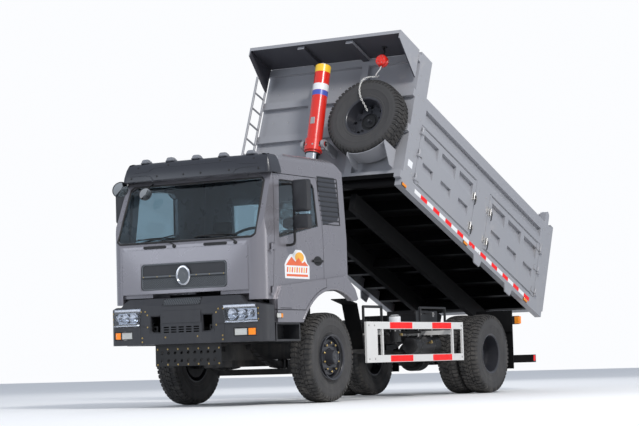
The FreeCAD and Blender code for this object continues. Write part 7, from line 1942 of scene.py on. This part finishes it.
class TRUCK_OT_windscreen(bpy.types.Operator):
    """Add window seals and wipers"""
    bl_idname = "truck.windscreen"
    bl_label = "Trim the windscreen"

    def execute(self, context):
        make_windscreen()
        return {"FINISHED"}


class TRUCK_OT_visor(bpy.types.Operator):
    """Build the visor with its marker lamps"""
    bl_idname = "truck.visor"
    bl_label = "Build the visor"

    def execute(self, context):
        make_visor()
        return {"FINISHED"}


class TRUCK_OT_doors(bpy.types.Operator):
    """Add handles, seals and mirrors to the cab doors"""
    bl_idname = "truck.doors"
    bl_label = "Dress the cab doors"

    def execute(self, context):
        make_doors(context.scene.truck.show_badge)
        return {"FINISHED"}


class TRUCK_OT_cabsides(bpy.types.Operator):
    """Add front mirrors, louvre slats and side lamps"""
    bl_idname = "truck.cab_sides"
    bl_label = "Dress the cab's sides"

    def execute(self, context):
        make_front_mirrors()
        make_louvres()
        make_arch_lips()
        return {"FINISHED"}


class TRUCK_OT_cabin(bpy.types.Operator):
    """Build the seats and the dashboard's details"""
    bl_idname = "truck.cabin"
    bl_label = "Fit out the cabin"

    def execute(self, context):
        make_seats()
        make_dashboard()
        return {"FINISHED"}


class TRUCK_OT_chassistrim(bpy.types.Operator):
    """Add guard patches, tank bands, pipes and the drier"""
    bl_idname = "truck.chassis_trim"
    bl_label = "Dress the chassis"

    def execute(self, context):
        make_chassis_marks()
        make_chassis_trim()
        make_tank_bands()
        return {"FINISHED"}


class TRUCK_OT_bedtrim(bpy.types.Operator):
    """Add tape, side lamps, bolts and latches to the bed"""
    bl_idname = "truck.bed_trim"
    bl_label = "Dress the bed"

    def execute(self, context):
        make_bed_trim(context.scene.truck.tape_length)
        make_side_door_trim()
        make_tailgate_trim()
        return {"FINISHED"}


class TRUCK_OT_hoist(bpy.types.Operator):
    """Build the spare wheel's carrier, hoist and chain"""
    bl_idname = "truck.hoist"
    bl_label = "Build the hoist"

    def execute(self, context):
        make_carrier()
        make_hoist()
        return {"FINISHED"}


class TRUCK_OT_lifttrim(bpy.types.Operator):
    """Add bands, seals and the cap to the lifting cylinder"""
    bl_idname = "truck.lift_trim"
    bl_label = "Dress the cylinder"

    def execute(self, context):
        make_lift_trim()
        return {"FINISHED"}


class TRUCK_OT_stage(bpy.types.Operator):
    """Lay the floor, hang the lights and set the camera"""
    bl_idname = "truck.stage"
    bl_label = "Set the stage"

    def execute(self, context):
        settings = context.scene.truck
        make_stage(settings.floor_size, settings.key_power, settings.fill_power, settings.sky)
        return {"FINISHED"}


STEPS = (TRUCK_OT_finishes, TRUCK_OT_tyres, TRUCK_OT_hubs, TRUCK_OT_lamps, TRUCK_OT_bumper,
         TRUCK_OT_grille, TRUCK_OT_windscreen, TRUCK_OT_visor, TRUCK_OT_doors, TRUCK_OT_cabsides,
         TRUCK_OT_cabin, TRUCK_OT_chassistrim, TRUCK_OT_bedtrim, TRUCK_OT_hoist, TRUCK_OT_lifttrim,
         TRUCK_OT_stage)


class TRUCK_PT_build(bpy.types.Panel):
    """Lists the steps that build the truck"""
    bl_idname = "TRUCK_PT_build"
    bl_label = "Dump truck"
    bl_space_type = "VIEW_3D"
    bl_region_type = "UI"
    bl_category = "Truck"

    def draw(self, context):
        layout = self.layout
        settings = context.scene.truck
        for setting in TruckSettings.__annotations__:
            layout.prop(settings, setting)
        for step in STEPS:
            layout.operator(step.bl_idname)


def register():
    for kind in (TruckSettings, *STEPS, TRUCK_PT_build):
        bpy.utils.register_class(kind)
    bpy.types.Scene.truck = bpy.props.PointerProperty(type=TruckSettings)


def unregister():
    del bpy.types.Scene.truck
    for kind in (TRUCK_PT_build, *reversed(STEPS), TruckSettings):
        bpy.utils.unregister_class(kind)


def main():
    register()
    for step in STEPS:
        name = step.bl_idname.split(".")[1]
        if getattr(bpy.ops.truck, name)() != {"FINISHED"}:
            raise RuntimeError(step.bl_label + " didn't finish")
    boxes = {"cad": CAD_BOX, "visual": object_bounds()}
    plain = {name: [[round(c, 4) for c in corner] for corner in box] for name, box in boxes.items()}


if __name__ == "__main__":
    main()
